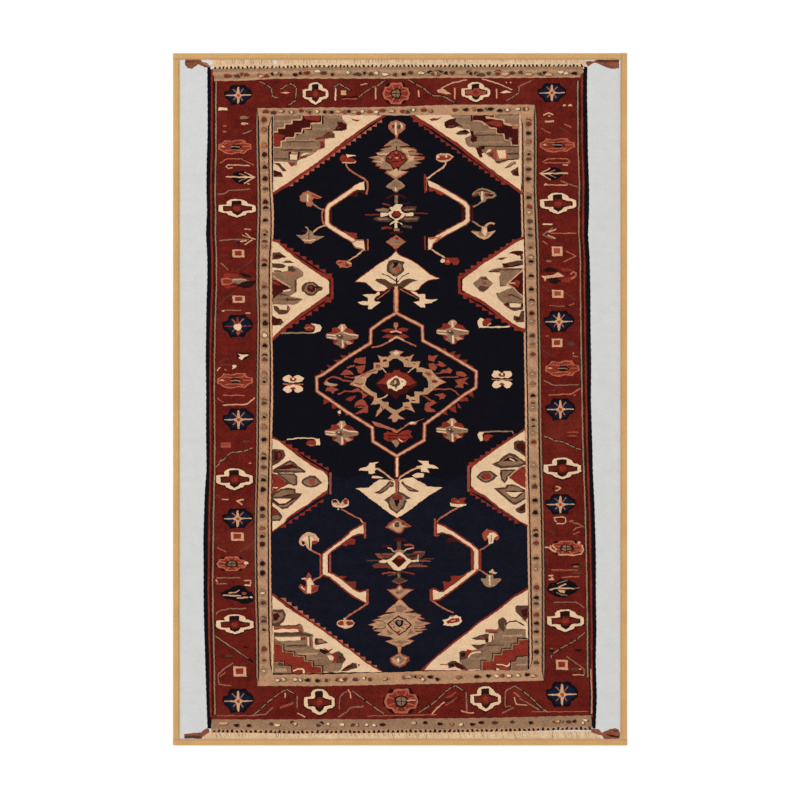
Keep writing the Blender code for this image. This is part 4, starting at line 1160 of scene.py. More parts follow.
    def upper_right_pendant(self) -> None:
        """The half lozenge on the upper right side."""
        self.stairs(Ink.BRICK, 41.5, 56.3, 20.8, 43.2, 10, True)
        self.stairs(Ink.BRICK, 22.2, 36.9, 42.5, 24.2, 9, False)
        self.batch(
            (Ink.BRICK, (43.6, 57.4, 41.5, 56.7, 38, 54.6, 34, 51.8, 30, 49.4, 26, 46.4, 21.6, 43.4,
                         20.4, 43.2,
                         20.5, 37.2, 25, 35.6, 28.6, 33.9, 32, 31.4, 36, 28.2, 39.5, 25.6, 42, 24.2,
                         44.2, 23.4)),
            (Ink.MAROON, (22.6, 43.2, 21.3, 42.4, 21.3, 38.2, 22.6, 37.4)),
            (Ink.CREAM, (43.6, 56.3, 42.4, 56.1, 38, 53.4, 34, 50.6, 30, 48.2, 26, 45.2, 22, 42.2,
                         21.9, 38.4,
                         25, 36.8, 28.6, 35.1, 32, 32.6, 36, 29.6, 39.5, 26.9, 42, 25.5, 44, 24.8)),
            (Ink.MAROON, (37.9, 51.5, 40, 52.3, 43.3, 52.3, 43.3, 51, 41.5, 50.6, 39.8, 51.3)),
            (Ink.UMBER, (41.6, 51, 43.3, 50.8, 43.3, 49, 42.3, 49.4, 42.4, 50.2)),
            (Ink.UMBER, (33.7, 49.3, 35.6, 50, 37.9, 50, 36, 49.1)),
            (Ink.UMBER, (36.6, 47.8, 40.5, 48.8, 43.3, 49, 43.3, 47.4, 40, 46.9, 37, 46.3, 36,
                         46.9)),
            (Ink.MAROON, (35.9, 47.8, 37.6, 47.9, 39, 46.8, 41.6, 47.8, 43.3, 47.4, 40, 46.6, 36.4,
                          46.2)),
            (Ink.TAUPE, (30.8, 45, 33, 46, 35.5, 46.4, 43.3, 46.2, 43.3, 34, 36, 34, 34.5, 35.6,
                         33.7, 37.4,
                         36, 38.4, 38.6, 39.3, 36.6, 39.8, 35.2, 40, 34.9, 43, 35.4, 44.6)),
            (Ink.UMBER, .5, (33, 45.4, 37, 45.7, 43, 45.8)),
            (Ink.MAROON, .35, (31.2, 45, 35, 44.9)),
            (Ink.SOOT, .35, (35.2, 39.9, 37.6, 39.8)),
            (Ink.CREAM, (36.2, 39.8, 37.6, 40, 39.6, 39.3, 38, 38.9, 35, 37.5, 33.4, 37.6, 31, 38.2,
                         34.2, 38.2)),
            (Ink.TAN, (43.3, 46, 41.4, 44.2, 37.2, 40.4, 37.4, 39.8, 39.4, 39.6, 40.8, 38.2, 43.3,
                       35.8)),
            (Ink.MAROON, (43.3, 45.2, 41.5, 43.8, 38.1, 40.6, 39.9, 39.7, 41.4, 38, 43.3, 36.4)),
            (Ink.BRICK, (39, 40.6, 41, 42.2, 42.4, 41.4, 41.6, 39.4)),
            (Ink.TAN, .4, (38.6, 40.9, 40.6, 40.9)),
            (Ink.MAROON, (36.4, 36.4, 39, 37.1, 40.8, 36.7, 38, 36.1)),
            (Ink.ROSE, .3, (37, 36.4, 40, 36.5)),
            (Ink.UMBER, .4, (39.6, 36.6, 43, 35.2)),
            (Ink.UMBER, (36, 33.7, 38.5, 34.1, 43.3, 34, 43.4, 31.6, 40, 31.1, 38.5, 31.8, 37,
                         32.9)),
            (Ink.MAROON, (36.6, 33.8, 38.4, 34, 38.2, 33, 37.4, 33)),
            (Ink.CREAM, (38.5, 33.8, 42.6, 33.8, 42.8, 33, 41.8, 32.3, 38.7, 32.5)),
            (Ink.SOOT, (42.4, 33.4, 43.4, 33.7, 43.4, 32.5, 42.6, 32.6)),
            (Ink.UMBER, (40, 29.5, 41.8, 29.1, 42.8, 31.2, 43.7, 31.2, 43.7, 27.3, 41, 27.1, 39.9,
                         28.2)),
            (Ink.MAROON, (40.6, 28.8, 42.4, 28.9, 42.2, 27.8, 40.8, 27.9)),
            (Ink.TAUPE, (25.6, 41, 27.5, 42.3, 28.5, 43.3, 30.3, 43.3, 31.2, 42.2, 32.8, 40.9, 31.5,
                         39.4,
                         30.5, 38.5, 29.3, 37.7, 28, 37.9, 27.2, 39.2, 26.2, 40)),
            (Ink.UMBER, (28.8, 38, 30.4, 38.4, 31.6, 39.6, 30, 39.8, 28, 40, 27.4, 39)),
            (Ink.UMBER, (28, 42.8, 30.2, 43, 31, 42, 29.4, 42.2)),
            (Ink.RUST, (29, 41.8, 30.4, 41.6, 30.5, 40.4, 29.1, 40.2)),
        )

    def scrolls(self) -> None:
        """The small curled stalks beside each pendant, and the two double-lobed motifs between."""
        self.batch(
            (Ink.SAND, .5, (-42, 23.3, -36, 23.4, -30.6, 23.4)),
            (Ink.CREAM, (-31, 23.2, -29, 23.7, -28, 24.2, -27.7, 25.3, -28.2, 26.3, -31.5, 26.7,
                         -30, 25.8,
                         -30, 24.8, -30.2, 24)),
            (Ink.BRICK, (-33.9, 25.4, -33, 26.4, -30.8, 26.3, -30, 25.5, -30.4, 24.5, -32, 24.1,
                         -33.5, 24.4)),
            (Ink.ROSE, .4, (-33.4, 24.9, -32, 25.4, -30.6, 25)),
            (Ink.CREAM, .5, (28.2, 25.5, 32, 25.4, 38.6, 25.6)),
            (Ink.CREAM, (27.4, 26.2, 27.3, 27.6, 28.3, 28.7, 29.7, 28.2, 28.9, 27.2, 28.9, 26.2,
                         29.8, 25.5,
                         28, 25.2)),
            (Ink.BRICK, (29, 27, 29.9, 28.3, 31, 28.6, 32.4, 28.1, 31.8, 27.1, 32, 26.6, 30.6, 25.8,
                         29.2, 26)),
            (Ink.TAN, .4, (30.8, 26, 32, 26.8)),
            (Ink.CREAM, .4, (-39.9, -14.2, -36, -13.7, -30.4, -13.7, -28.7, -14.3)),
            (Ink.CREAM, (-30, -14.1, -28.3, -13.9, -28.2, -16.2, -29.6, -16.1, -30.4, -16.4)),
            (Ink.BRICK, (-33.2, -15.5, -32.4, -14.5, -30, -14.3, -29.4, -15.4, -29.9, -16.4, -31.6,
                         -16.7,
                         -32.8, -16.1)),
            (Ink.ROSE, .4, (-32.2, -16, -30.4, -16.3)),
            (Ink.SAND, .45, (28.5, -11.6, 34, -11.3, 39.4, -11.3, 39.8, -12)),
            (Ink.CREAM, (27.2, -12.5, 28, -11.5, 29.5, -11.7, 29, -12.6, 29.3, -14.4, 28.2, -14.9,
                         27.8, -13.8)),
            (Ink.BRICK, (29.3, -14.4, 29.5, -12.6, 31, -12.2, 32.9, -12.9, 31.6, -13.6, 31.3, -14.5,
                         30.4, -14.8)),
        )
        for x, y in ((-37.7, 5.3), (35.9, 6.9)):
            self.spots(Ink.CREAM, (x - 1.8, y + 1.9, 1.8, 1.3), (x + 1.8, y + 1.9, 1.8, 1.3),
                       (x - 1.9, y - 1.7, 1.6, 1.3), (x + 1.9, y - 1.7, 1.6, 1.3))
            self.batch(
                (Ink.ROSE, .4, (x - 3.6, y + .1, x + 3.6, y - .1)),
                (Ink.CREAM, (x - 2.4, y + 1.2, x, y + .4, x + 2.4, y + 1.2, x, y + 2)),
                (Ink.CREAM, (x - 2.8, y - 1, x, y - .1, x + 2.8, y - 1, x, y - 1)),
                (Ink.NAVY, (x - .7, y + 3.6, x + .7, y + 3.6, x + .3, y + 2.4, x - .3, y + 2.4)),
                (Ink.NAVY, (x - .9, y - 3.2, x + .9, y - 3.2, x + .3, y - 1.9, x - .3, y - 1.9)),
                (Ink.SOOT, .3, (x - 2.2, y + .4, x, y + .3, x + 2.2, y + .4)),
            )
            self.spots(Ink.BRICK, (x, y + 1.7, 1.3, .8), (x, y - 1.6, 1.1, .35))
            self.spots(Ink.CREAM, (x, y + 1.9, .5, .4))

    def side_cross(self, x: float, y: float, rx: float, ry: float) -> None:
        """A brick lozenge with stepped edges, quartered by four pale arms.

        Args:
            x: across to its centre.
            y: up to its centre.
            rx: half its width.
            ry: half its height.
        """
        def at(*form: float) -> tuple[float, ...]:
            """Stretches a form of half size one to the lozenge."""
            return tuple((path_of(form) * (rx, ry) + (x, y)).ravel())

        self.batch(
            (Ink.BRICK, at(-1, -.15, -1, .22, -.66, .36, -.62, .66, -.3, .74, -.1, 1, .14, .98, .24,
                           .72, .62, .5,
                           .78, .2, 1, .05, .95, -.2, .68, -.3, .66, -.58, .3, -.72, .14, -1, -.12,
                           -1,
                           -.22, -.78, -.54, -.6, -.58, -.3)),
            (Ink.SAND, at(-1, -.12, -1, .18, -.5, .2, -.14, .36, -.12, .9, .06, .96, .12, .36, .5,
                          .24, .98, .1,
                          .94, -.16, .5, -.26, .14, -.34, .1, -.96, -.08, -.98, -.14, -.36, -.5,
                          -.26)),
            (Ink.TAUPE, at(-.5, -.18, -.1, .2, .5, .12, .9, 0, .5, -.2, .1, -.3, -.14, -.3)),
            (Ink.UMBER, at(-.4, .06, -.1, .2, .1, -.1, -.1, -.24)),
            (Ink.BEIGE, at(-.32, .7, -.1, 1, .14, .98, .26, .7, 0, .42)),
            (Ink.TAUPE, at(-.46, -.6, -.2, -.28, -.06, -.32, -.08, -.9, -.22, -.78)),
            (Ink.BEIGE, at(.62, -.56, .3, -.7, .12, -.4, .3, -.34)),
            (Ink.CREAM, .6, at(-.03, .9, -.02, .36)),
            (Ink.CREAM, .6, at(0, -.3, .02, -.92)),
            (Ink.CREAM, .4, at(.06, .3, .4, .16, .9, .08)),
            (Ink.CREAM, .4, at(-.94, .13, -.4, .06)),
            (Ink.CREAM, .35, at(-.94, -.1, -.36, -.16)),
            (Ink.CREAM, .4, at(-.22, .06, -.12, .08)),
        )

    def upper_palmette(self) -> None:
        """The cream fan above the centre, its rosette, leaves and the two birds under it."""
        stem = (-1.4, 40, -1.4, 30.2)
        fan = (-1.5, 52, -.6, 51, 1.2, 50, 3.2, 49.3, 6, 47.5, 8.4, 45.7, 10.4, 43.9, 12, 43.2,
               13.8, 42.6, 11, 42.2,
               9.6, 41.9, 7.6, 40.5, 6.4, 38.9, 5, 38.2, 2.8, 38.5, 1.2, 39.2, -4.4, 39, -5.6, 38.3,
               -7.6, 38,
               -9, 38.5, -10.6, 40, -12.4, 41.4, -15.6, 41.4, -14, 42.8, -11, 45, -8, 47.3, -5, 49,
               -3, 50.4)
        left = (-13.2, 36.8, -11.5, 37, -9, 37, -8, 37.7, -7.3, 37.9, -7.2, 37, -8.4, 36.2, -9.1,
                35.4, -9, 34.5,
                -6.7, 34.3, -8, 33.5, -9.2, 32.5, -10, 31.8, -11.3, 31.7, -11.1, 33, -13.4, 33.3,
                -15, 34.2,
                -13, 34.6, -11.3, 34.5, -11.4, 35.8)
        right = (3.4, 38.3, 5.7, 37.7, 6.2, 37.1, 8.8, 37.1, 8.8, 35.4, 10, 35.2, 13.2, 35.2, 11,
                 33.9, 8.6, 33.6,
                 8.8, 32.3, 7.4, 32.4, 6.2, 33.3, 4.6, 34.3, 6.8, 34.6, 6.8, 36, 5, 37)
        self.batch(
            (Ink.RUST, 1.9, stem), (Ink.TAN, 1.0, stem),
            (Ink.BRICK, .6, fan + fan[:2]), (Ink.CREAM, fan),
            (Ink.UMBER, (-4.7, 45, -4.7, 47.4, -4, 48.7, -2.7, 49.3, 0, 48.9, 1.7, 48.3, 1, 47.4,
                         1.5, 45.2,
                         .2, 44.1, -1.2, 43.1, -2.6, 43.5, -4, 44.5)),
            (Ink.TAUPE, (-3.6, 45.2, -3.8, 47, -2.6, 48, -.4, 48, .6, 47.2, .4, 45.4, -1.2, 44.2,
                         -2.6, 44.4)),
            (Ink.SOOT, (-2.6, 48.3, -.6, 48.4, -.8, 47.2, -1.8, 46.4, -2.8, 46.2, -2.2, 47.3)),
            (Ink.NAVY, (-2, 48.1, -.9, 48.1, -1.2, 47.3, -1.9, 47.2)),
            (Ink.RUST, (-1.9, 45.9, -1, 46.8, -.1, 46, 0, 44.8, -1.2, 44.8)),
            (Ink.RUST, (-2.2, 43.9, -.2, 43.9, -1.2, 43.2)),
            (Ink.MAROON, .35, (-1.6, 49, 0, 48.6, 1.4, 48.4)),
            (Ink.UMBER, .4, (-6.4, 44.3, -4, 43.4, -1.5, 41.5)),
            (Ink.UMBER, .4, (3.3, 44.5, 1, 43.4, -.9, 41.3)),
            (Ink.UMBER, (-9, 42.1, -7, 42.4, -5, 42, -3.4, 41.1, -1.4, 40.7, -.2, 40.9, 1, 42, 3,
                         42.6, 6.4, 42,
                         4, 41.3, 2.4, 40.1, 1, 39, -4.2, 38.9, -5.4, 40, -7.4, 40.9)),
            (Ink.MAROON, .3, (-8.6, 42.3, -6, 42.4, -4.6, 41.8)),
            (Ink.SOOT, .6, (-1.2, 43, -1.2, 40.6)),
            (Ink.CREAM, .6, (-1.5, 43.1, -1.5, 42.6)),
            (Ink.CREAM, (-5, 42.4, -3.4, 41.2, -2.4, 40.7, -1.8, 41.2, -2.4, 41.9, -4, 42.7)),
            (Ink.CREAM, (.9, 42.5, .1, 41.3, -.3, 40.7, -.6, 41.2, -.3, 42, .6, 42.8)),
            (Ink.MAROON, .9, (-3.4, 39.2, -1.4, 39.2)), (Ink.MAROON, .9, (-1.2, 39.2, .6, 39.2)),
            (Ink.TAN, 1.0, (-1.4, 39.8, -1.4, 37)),
            (Ink.MAROON, .8, (-3.6, 38.9, -6, 37.4, -8.6, 35.8, -8.8, 34.8)),
            (Ink.ROSE, .3, (-3.6, 38.5, -5.6, 37, -8.2, 35.2)),
            (Ink.MAROON, .8, (1.2, 38.8, 4, 37.2, 6.6, 35.8, 6.6, 34.8)),
            (Ink.ROSE, .3, (0, 38.8, 3, 37.2, 6.4, 35.5)),
            (Ink.MAROON, .35, left + left[:2]), (Ink.CREAM, left),
            (Ink.MAROON, .35, right + right[:2]), (Ink.CREAM, right),
        )

    def thorns(self, ink: Ink, *rows: tuple[float, ...]) -> None:
        """Small thorns along the medallion's frame."""
        for row in rows:
            self.art.fill(ink, *row)

    def medallion(self) -> None:
        """The centre: a lined lozenge frame, a stepped tan wreath, a red lozenge and its eye."""
        frame_line = (-1.3, 30.4, 7.8, 25.7, 8, 20.7, 14, 17.5, 20, 14, 26.8, 9.8, 26.7, 4.2, 22,
                      1.2, 15, -4.2,
                      8.6, -8.8, 8.5, -14.4, -1.2, -20, -9.6, -14.8, -9.8, -10, -15, -6.8, -20,
                      -3.6, -25, 0,
                      -29.3, 2.9, -29.4, 7.7, -27, 8.8, -20, 13.8, -15, 17, -10.4, 19.8, -10.3,
                      24.6, -5, 28.4,
                      -1.3, 30.4)
        self.thorns(Ink.BRICK, (-28, 10.2, -26.6, 10, -25.4, 10.4, -27.5, 8.3),
                    (-25.7, 12.2, -23.4, 11.4, -24.8, 10.6),
                    (-23.5, 13.9, -20.3, 13.8, -22, 12.6), (-21.2, 15.6, -18.4, 15.2, -19.8, 13.8),
                    (-18.2, 16.5, -16.4, 16.4, -17.8, 15.4),
                    (15.4, 18.1, 16.4, 17.6, 16.2, 16.6, 14, 17.2),
                    (17, 16.4, 19.6, 17, 18.9, 15.2), (18.8, 15.4, 21.4, 16, 20.6, 14.2),
                    (21.2, 14, 23.9, 14, 23, 12.4), (23.2, 12.4, 25.8, 11.6, 25, 10.6),
                    (-27, -1.8, -26.7, 1, -25.2, 0, -24.4, -.9),
                    (-24.1, -3.1, -23.9, -1.4, -22.2, -2.2, -22.8, -3.3),
                    (-22.1, -5.4, -21, -3.4, -20.8, -4.8, -21.4, -6),
                    (-19.4, -5.7, -18.6, -4.2, -16.8, -5.4),
                    (26, .4, 25.4, 3.2, 23.4, 2.2), (21, -.8, 24.2, -.6, 23.6, .6, 21.6, .8),
                    (19.8, -.8, 21.8, -3.2, 20.6, -3), (17, -3.4, 19.4, -2, 19.8, -4.8, 18.2, -4.2),
                    (14.6, -5, 16.8, -5.6, 16, -3.8))
        self.spots(Ink.CREAM, (-21.4, -4.5, .5, .6), (-18.4, -5, .7, .3))
        wreath = (-3.8, 16.7, -1.4, 17.3, 1.1, 16.7, -.2, 15.8, -.1, 15, 1.5, 14.8, 3.4, 15, 4.8,
                  15.9, 4, 14.6,
                  3.6, 13.1, 7, 13.3, 6.4, 11.2, 7.5, 11.2, 9.2, 10.7, 11, 10.3, 12.3, 8.6, 14, 7.1,
                  16.1, 6,
                  14, 5.2, 12.5, 4.2, 11, 2.9, 9.6, 1.9, 6.7, 1.5, 6.7, -1.4, 3.7, -1.1, 4, -2.4,
                  5.1, -4.6,
                  3.9, -3.8, 2, -3.4, .4, -4.1, -.8, -5, -.4, -5.8, 1.6, -7, -.5, -6.8, -1.4, -7.7,
                  -2.4, -8.1,
                  -3, -6.7, -4.2, -6.8, -2.6, -5.2, -3.6, -4.3, -5.3, -3.1, -6.2, -3.6, -7.2, -4.9,
                  -8.6, -6.1,
                  -8, -4.2, -6.9, -2.6, -6.9, -1.5, -10.2, -1.9, -9.3, -.4, -9.2, .9, -10.6, 1.6,
                  -12.4, 2.7,
                  -14, 4.1, -17.7, 5.2, -15.8, 7, -16, 7.9, -13.9, 8.5, -11, 9.9, -9.2, 10.7, -9.2,
                  12.8,
                  -7, 12.9, -6.9, 13.6, -7.8, 15.4, -6, 14.9, -4.3, 14.9, -3, 15.9)
        hole = (-1.6, 14.5, -.2, 13.9, 1.1, 12.9, 1.4, 11.5, 4.2, 11.3, 5.7, 11, 5.9, 9.7, 8, 9.6,
                8, 8.6, 9.2, 7.4,
                9.9, 6.4, 9.9, 4, 8.5, 3.9, 8.2, 2.7, 5, 2.7, 5.2, 1, 3.2, .6, 2.2, 1.6, 2.2, .4,
                3.4, -.3,
                3.2, -1, 1, -1.1, 1, -2.6, -.2, -3.3, -1.4, -3.9, -2.8, -3.3, -4.1, -2.4, -4.1, -.9,
                -6.3, -.9,
                -6.6, 0, -8, .1, -8.2, 2, -10, 3, -11.6, 4.2, -12.3, 5, -12.3, 7, -11, 7.9, -10.2,
                9, -8, 9.1,
                -7.8, 10.2, -6.2, 10.5, -6.2, 11.3, -4.1, 11.3, -3.9, 13.2, -2.6, 14.2)
        self.batch(
            (Ink.RUST, (-14.8, 4, -12.8, 2.2, -11, 1.6, -12, .9, -13.4, .1, -13.2, 1.4, -14, 2.5,
                        -17, 3.1)),
            (Ink.RUST, .5, (-22, 1.8, -21, 2, -19.6, 2.8, -13, 2.8)),
            (Ink.RUST, (10, 15.5, 11.4, 15.2, 13.4, 15.6, 12.4, 14.3, 12, 13.2, 10, 13.8)),
            (Ink.RUST, (13.3, 13.5, 14.6, 13.2, 16.4, 11.8, 15, 11.4, 13.2, 12, 12, 12, 13.6,
                        12.6)),
            (Ink.RUST, (9.9, 12.6, 12, 12.7, 13, 11.3, 12.4, 10.1, 11, 10.3, 10.2, 11.2)),
            (Ink.RUST, (13.9, 9.4, 15, 10.6, 16, 10.3, 17, 11.3, 18.5, 10.2, 17.6, 9.2)),
            (Ink.RUST, (19.8, 9.8, 22, 9.7, 23.6, 8.5, 22.6, 7.9, 20.6, 8.3, 19.8, 8.4)),
            (Ink.RUST, .35, (12.4, 9.1, 15, 9.3)),
            (Ink.RUST, .45, (13.6, 7.6, 16, 7.8, 20.6, 7.9)),
            (Ink.RUST, (19.3, 6.8, 21, 7.2, 24.3, 7.8, 22.7, 6.4, 24.1, 5.2, 22.2, 5.6, 22.3, 3.9,
                        19.2, 4.3,
                        20.4, 5.2)),
            (Ink.RUST, .5, (11.8, 3.5, 18, 3.6, 19.6, 2.7, 20.8, 1.3)),
            (Ink.RUST, (11.9, 1.7, 15, 2.1, 16.2, 1.3, 15.5, .3, 13.9, -.1, 14, .9)),
            (Ink.RUST, (7.4, 1.6, 9.5, 1, 10.4, .1, 11.6, -.4, 13.1, -1.2, 12, -1.7, 10.7, -2.5,
                        10.5, -3.1,
                        11.8, -3.5, 12.7, -4.5, 9.3, -4.5, 8.6, -3.4, 8.8, -1.7, 9.8, -1, 11, -1,
                        9.4, .2)),
            (Ink.RUST, (-12.2, 14.8, -15.7, 14.4, -16.4, 13.1, -14, 12.5, -12.2, 12.3)),
            (Ink.RUST, (-15.8, 11.6, -12.2, 12, -12.6, 10.4, -13.6, 9, -14.8, 9.4, -15.1, 10.6)),
            (Ink.RUST, .6, (-16, 11.9, -17.4, 11.6, -18.6, 11)),
            (Ink.RUST, (-21.3, 8.6, -19.2, 10.5, -17.4, 10, -16.2, 8.7)),
            (Ink.RUST, .45, (-19.6, 8, -17.5, 7.6, -15.4, 7.9)),
            (Ink.RUST, .6, (-25.6, 5.4, -26.6, 5.9, -25.6, 7.2, -23.6, 8, -21.4, 7.4, -20, 6.6, -17,
                            6.3)),
            (Ink.BEIGE, (-26.8, 5.4, -25.8, 6.5, -25, 5.7, -21.9, 5.3, -22.6, 4.6, -25, 4.7)),
            (Ink.RUST, (-26.4, 2.9, -25.7, 4.3, -23.8, 4.6, -21.6, 3.3, -23, 2.8, -23.8, 1.9, -24.6,
                        2.8)),
            (Ink.BRICK, (-19.2, .1, -18, .8, -15.5, 1.4, -16.1, .2, -17.4, -.7, -18.8, -.3)),
            (Ink.RUST, (-14, 0, -12.8, -.2, -12, -1.2, -11.3, -2.4, -11.3, -4.8, -13, -4.7, -15.2,
                        -5.3, -16, -5.1,
                        -13.8, -3.8, -12.9, -3.1, -14.6, -3, -16.1, -2.8, -15.8, -1.2)),
            (Ink.MAROON, .4, (-15.8, -2.6, -14, -2.2, -12.4, -2.4)),
            (Ink.RUST, .3, wreath + wreath[:2]), (Ink.BEIGE, wreath), (Ink.NAVY, hole),
            (Ink.MAROON, (-9.2, .9, -10.6, 1.4, -11.2, .8, -10.2, 0, -9.2, .1)),
            (Ink.TAN, .45, (-4.4, 1.7, -5.4, .8, -7, .2, -8.4, -.1)),
            (Ink.TAN, .5, (2.3, 1.4, 3.4, .6, 5.4, 0)),
            (Ink.TAN, .35, (-4.6, 9, -6, 10.6, -6.8, 11.2)),
            (Ink.TAN, .35, (2.4, 9.2, 4.6, 10.9, 5.4, 11.6)),
            (Ink.TAN, .4, (-14, 8, -12, 7.4, -12.6, 5.4, -13.4, 4.4)),
            (Ink.TAN, .5, (11, 8.4, 14.6, 6)),
            (Ink.TAN, .45, (-16.4, 5.4, -12.8, 3.6, -9.8, 1.8)),
            (Ink.SOOT, .3, (1.8, 13.9, 2.6, 14.1, 3, 13.4)), (Ink.SOOT, .3, (4.5, 12.6, 5.4, 12.5)),
            (Ink.SOOT, .35, (4, -.5, 5.4, -.4)), (Ink.SOOT, .3, (-6.6, -2.6, -6, -3.4)),
            (Ink.MAROON, (-6, 14, -4.8, 14.1, -4.8, 13.2, -6, 13.2)),
            (Ink.BRICK, (11, 6.6, 12, 6.9, 13.6, 6.4, 12.6, 5.7, 11.4, 5.8)),
            (Ink.RUST, (1.4, -2.7, 2.6, -2.5, 3.6, -3.2, 1.2, -3.2)),
            (Ink.BRICK, .4, (-16, 5.6, -14, 5.3, -13.2, 5.6)),
            (Ink.RUST, (-8.6, 12.4, -7.2, 12.2, -7, 11.3, -8.6, 11)),
            (Ink.RUST, (8.2, 9.4, 10.4, 9.6, 11.4, 8.4, 10, 8.3)),
            (Ink.RUST, .4, (-8.4, 10.2, -11.6, 9.4, -14, 8)),
            (Ink.CREAM, (-2.8, 16.4, -1.4, 16.9, 0, 16.4, -1.4, 15.6)),
            (Ink.MAROON, (-8.7, 5.4, -7.7, 6.6, -5.8, 7.9, -5.3, 9.3, -3, 9.6, -2.4, 10.5, -.2,
                          10.6, .4, 9.7,
                          2.6, 9.5, 3.7, 8.2, 5.4, 6.8, 6.2, 5.8, 5.8, 4.9, 3.6, 3.7, 2, 2, 0, 1.8,
                          -1.2, -.1,
                          -2.5, .8, -3.2, 1.8, -5.2, 2, -6.5, 3.4, -7.9, 4.6)),
            (Ink.BRICK, (-8.2, 5.6, -5.6, 7.6, -4.9, 9.1, -2.8, 9.2, -2, 10.2, -.4, 10.2, .6, 9.3,
                         2.4, 9, 4.4, 7,
                         5.6, 5.8, 3.4, 5, -5, 5.2)),
            (Ink.CREAM, (-4.8, 5.8, -4, 6.9, -2.6, 7.7, -1.4, 8.4, -.4, 7.7, 1, 7.3, 2.2, 6.2, 2,
                         5.1, 1, 4.5,
                         .6, 3.7, -.4, 3.5, -1.2, 2.9, -2.2, 3.1, -2.8, 3.7, -4.2, 3.9, -4.4, 4.8)),
            (Ink.UMBER, (-3.9, 5.2, -2.8, 6.6, -2, 7.5, -.6, 7.4, -.1, 6.2, -.1, 5.2, -1, 4.6, -1.5,
                         3.5,
                         -2, 4.4, -3.2, 4.8)),
            (Ink.TAUPE, (-3.4, 5.2, -2.4, 6.5, -2.2, 5.2)),
            (Ink.TAN, (-2.1, 6.6, -1.5, 6.9, -1.2, 6, -1.6, 5.2, -2.1, 5.4)),
            (Ink.RUST, .3, (.4, 6.4, 1.2, 6.2)),
            (Ink.ROSE, 1.5, (-1.4, 27, -1.5, 25.4)), (Ink.SAND, .6, (-1.4, 26.4, -1.5, 23.8)),
            (Ink.BRICK, (-6.7, 24.1, -4.5, 25, -1.5, 24.6, .8, 25.2, 2.9, 24.8, 2.5, 24, -1.5, 23.5,
                         -5, 23.7)),
            (Ink.TAN, .5, (-3.6, 23.7, -1.4, 24, .6, 23.4)),
            (Ink.BRICK, (-6.6, 21.8, -4.5, 22.9, -1.5, 22.6, 1.5, 23, 3.4, 21.9, 1, 21.5, -4,
                         21.5)),
            (Ink.ROSE, .55, (-10, 18.2, -7, 18.8, -4, 20.3, -1.2, 21.9, 2.5, 20.1, 5.6, 18.7)),
            (Ink.TAN, .8, (-4, 20.4, -1.2, 22, 1.4, 20.8)),
            (Ink.BRICK, (-5.8, -12, -4.5, -11.3, -2, -11.9, -.8, -12.4, .8, -11.2, 2.8, -10.8, 4.1,
                         -11.2,
                         3.6, -12.3, 4.5, -13.6, 3, -13.7, 1.8, -15.2, -.2, -15.4, -2, -14.8, -4.4,
                         -14.8,
                         -5.8, -13.9)),
            (Ink.MAROON, .35, (-4.6, -12.7, -1, -12.9, 3, -12.5)),
            (Ink.MAROON, .35, (-4.4, -13.8, 2.2, -14.2)),
            (Ink.SAND, (-3.2, -14.7, -1.2, -14.2, -.3, -15.6, -1.4, -17.1, -2.4, -15.7)),
            (Ink.CREAM, .4, (-.5, -13.9, 0, -14.4, .9, -14.9)),
            (Ink.ROSE, (-10.2, -7.7, -7.6, -8.3, -5, -9.3, -2.4, -10.3, -1.2, -10.9, 1, -9.8, 3,
                        -8.2, 5.6, -7.7,
                        8.8, -6.6, 6, -8, 5.4, -9, 3, -9, .6, -10.6, -1.2, -12, -3.2, -10.9, -5.6,
                        -10.1,
                        -8.6, -9.4)),
            (Ink.CREAM, (3, -8.4, 4.4, -7.8, 5.6, -8.4, 4, -8.8)),
            (Ink.RUST, 1.25, frame_line), (Ink.TAN, .62, frame_line),
        )

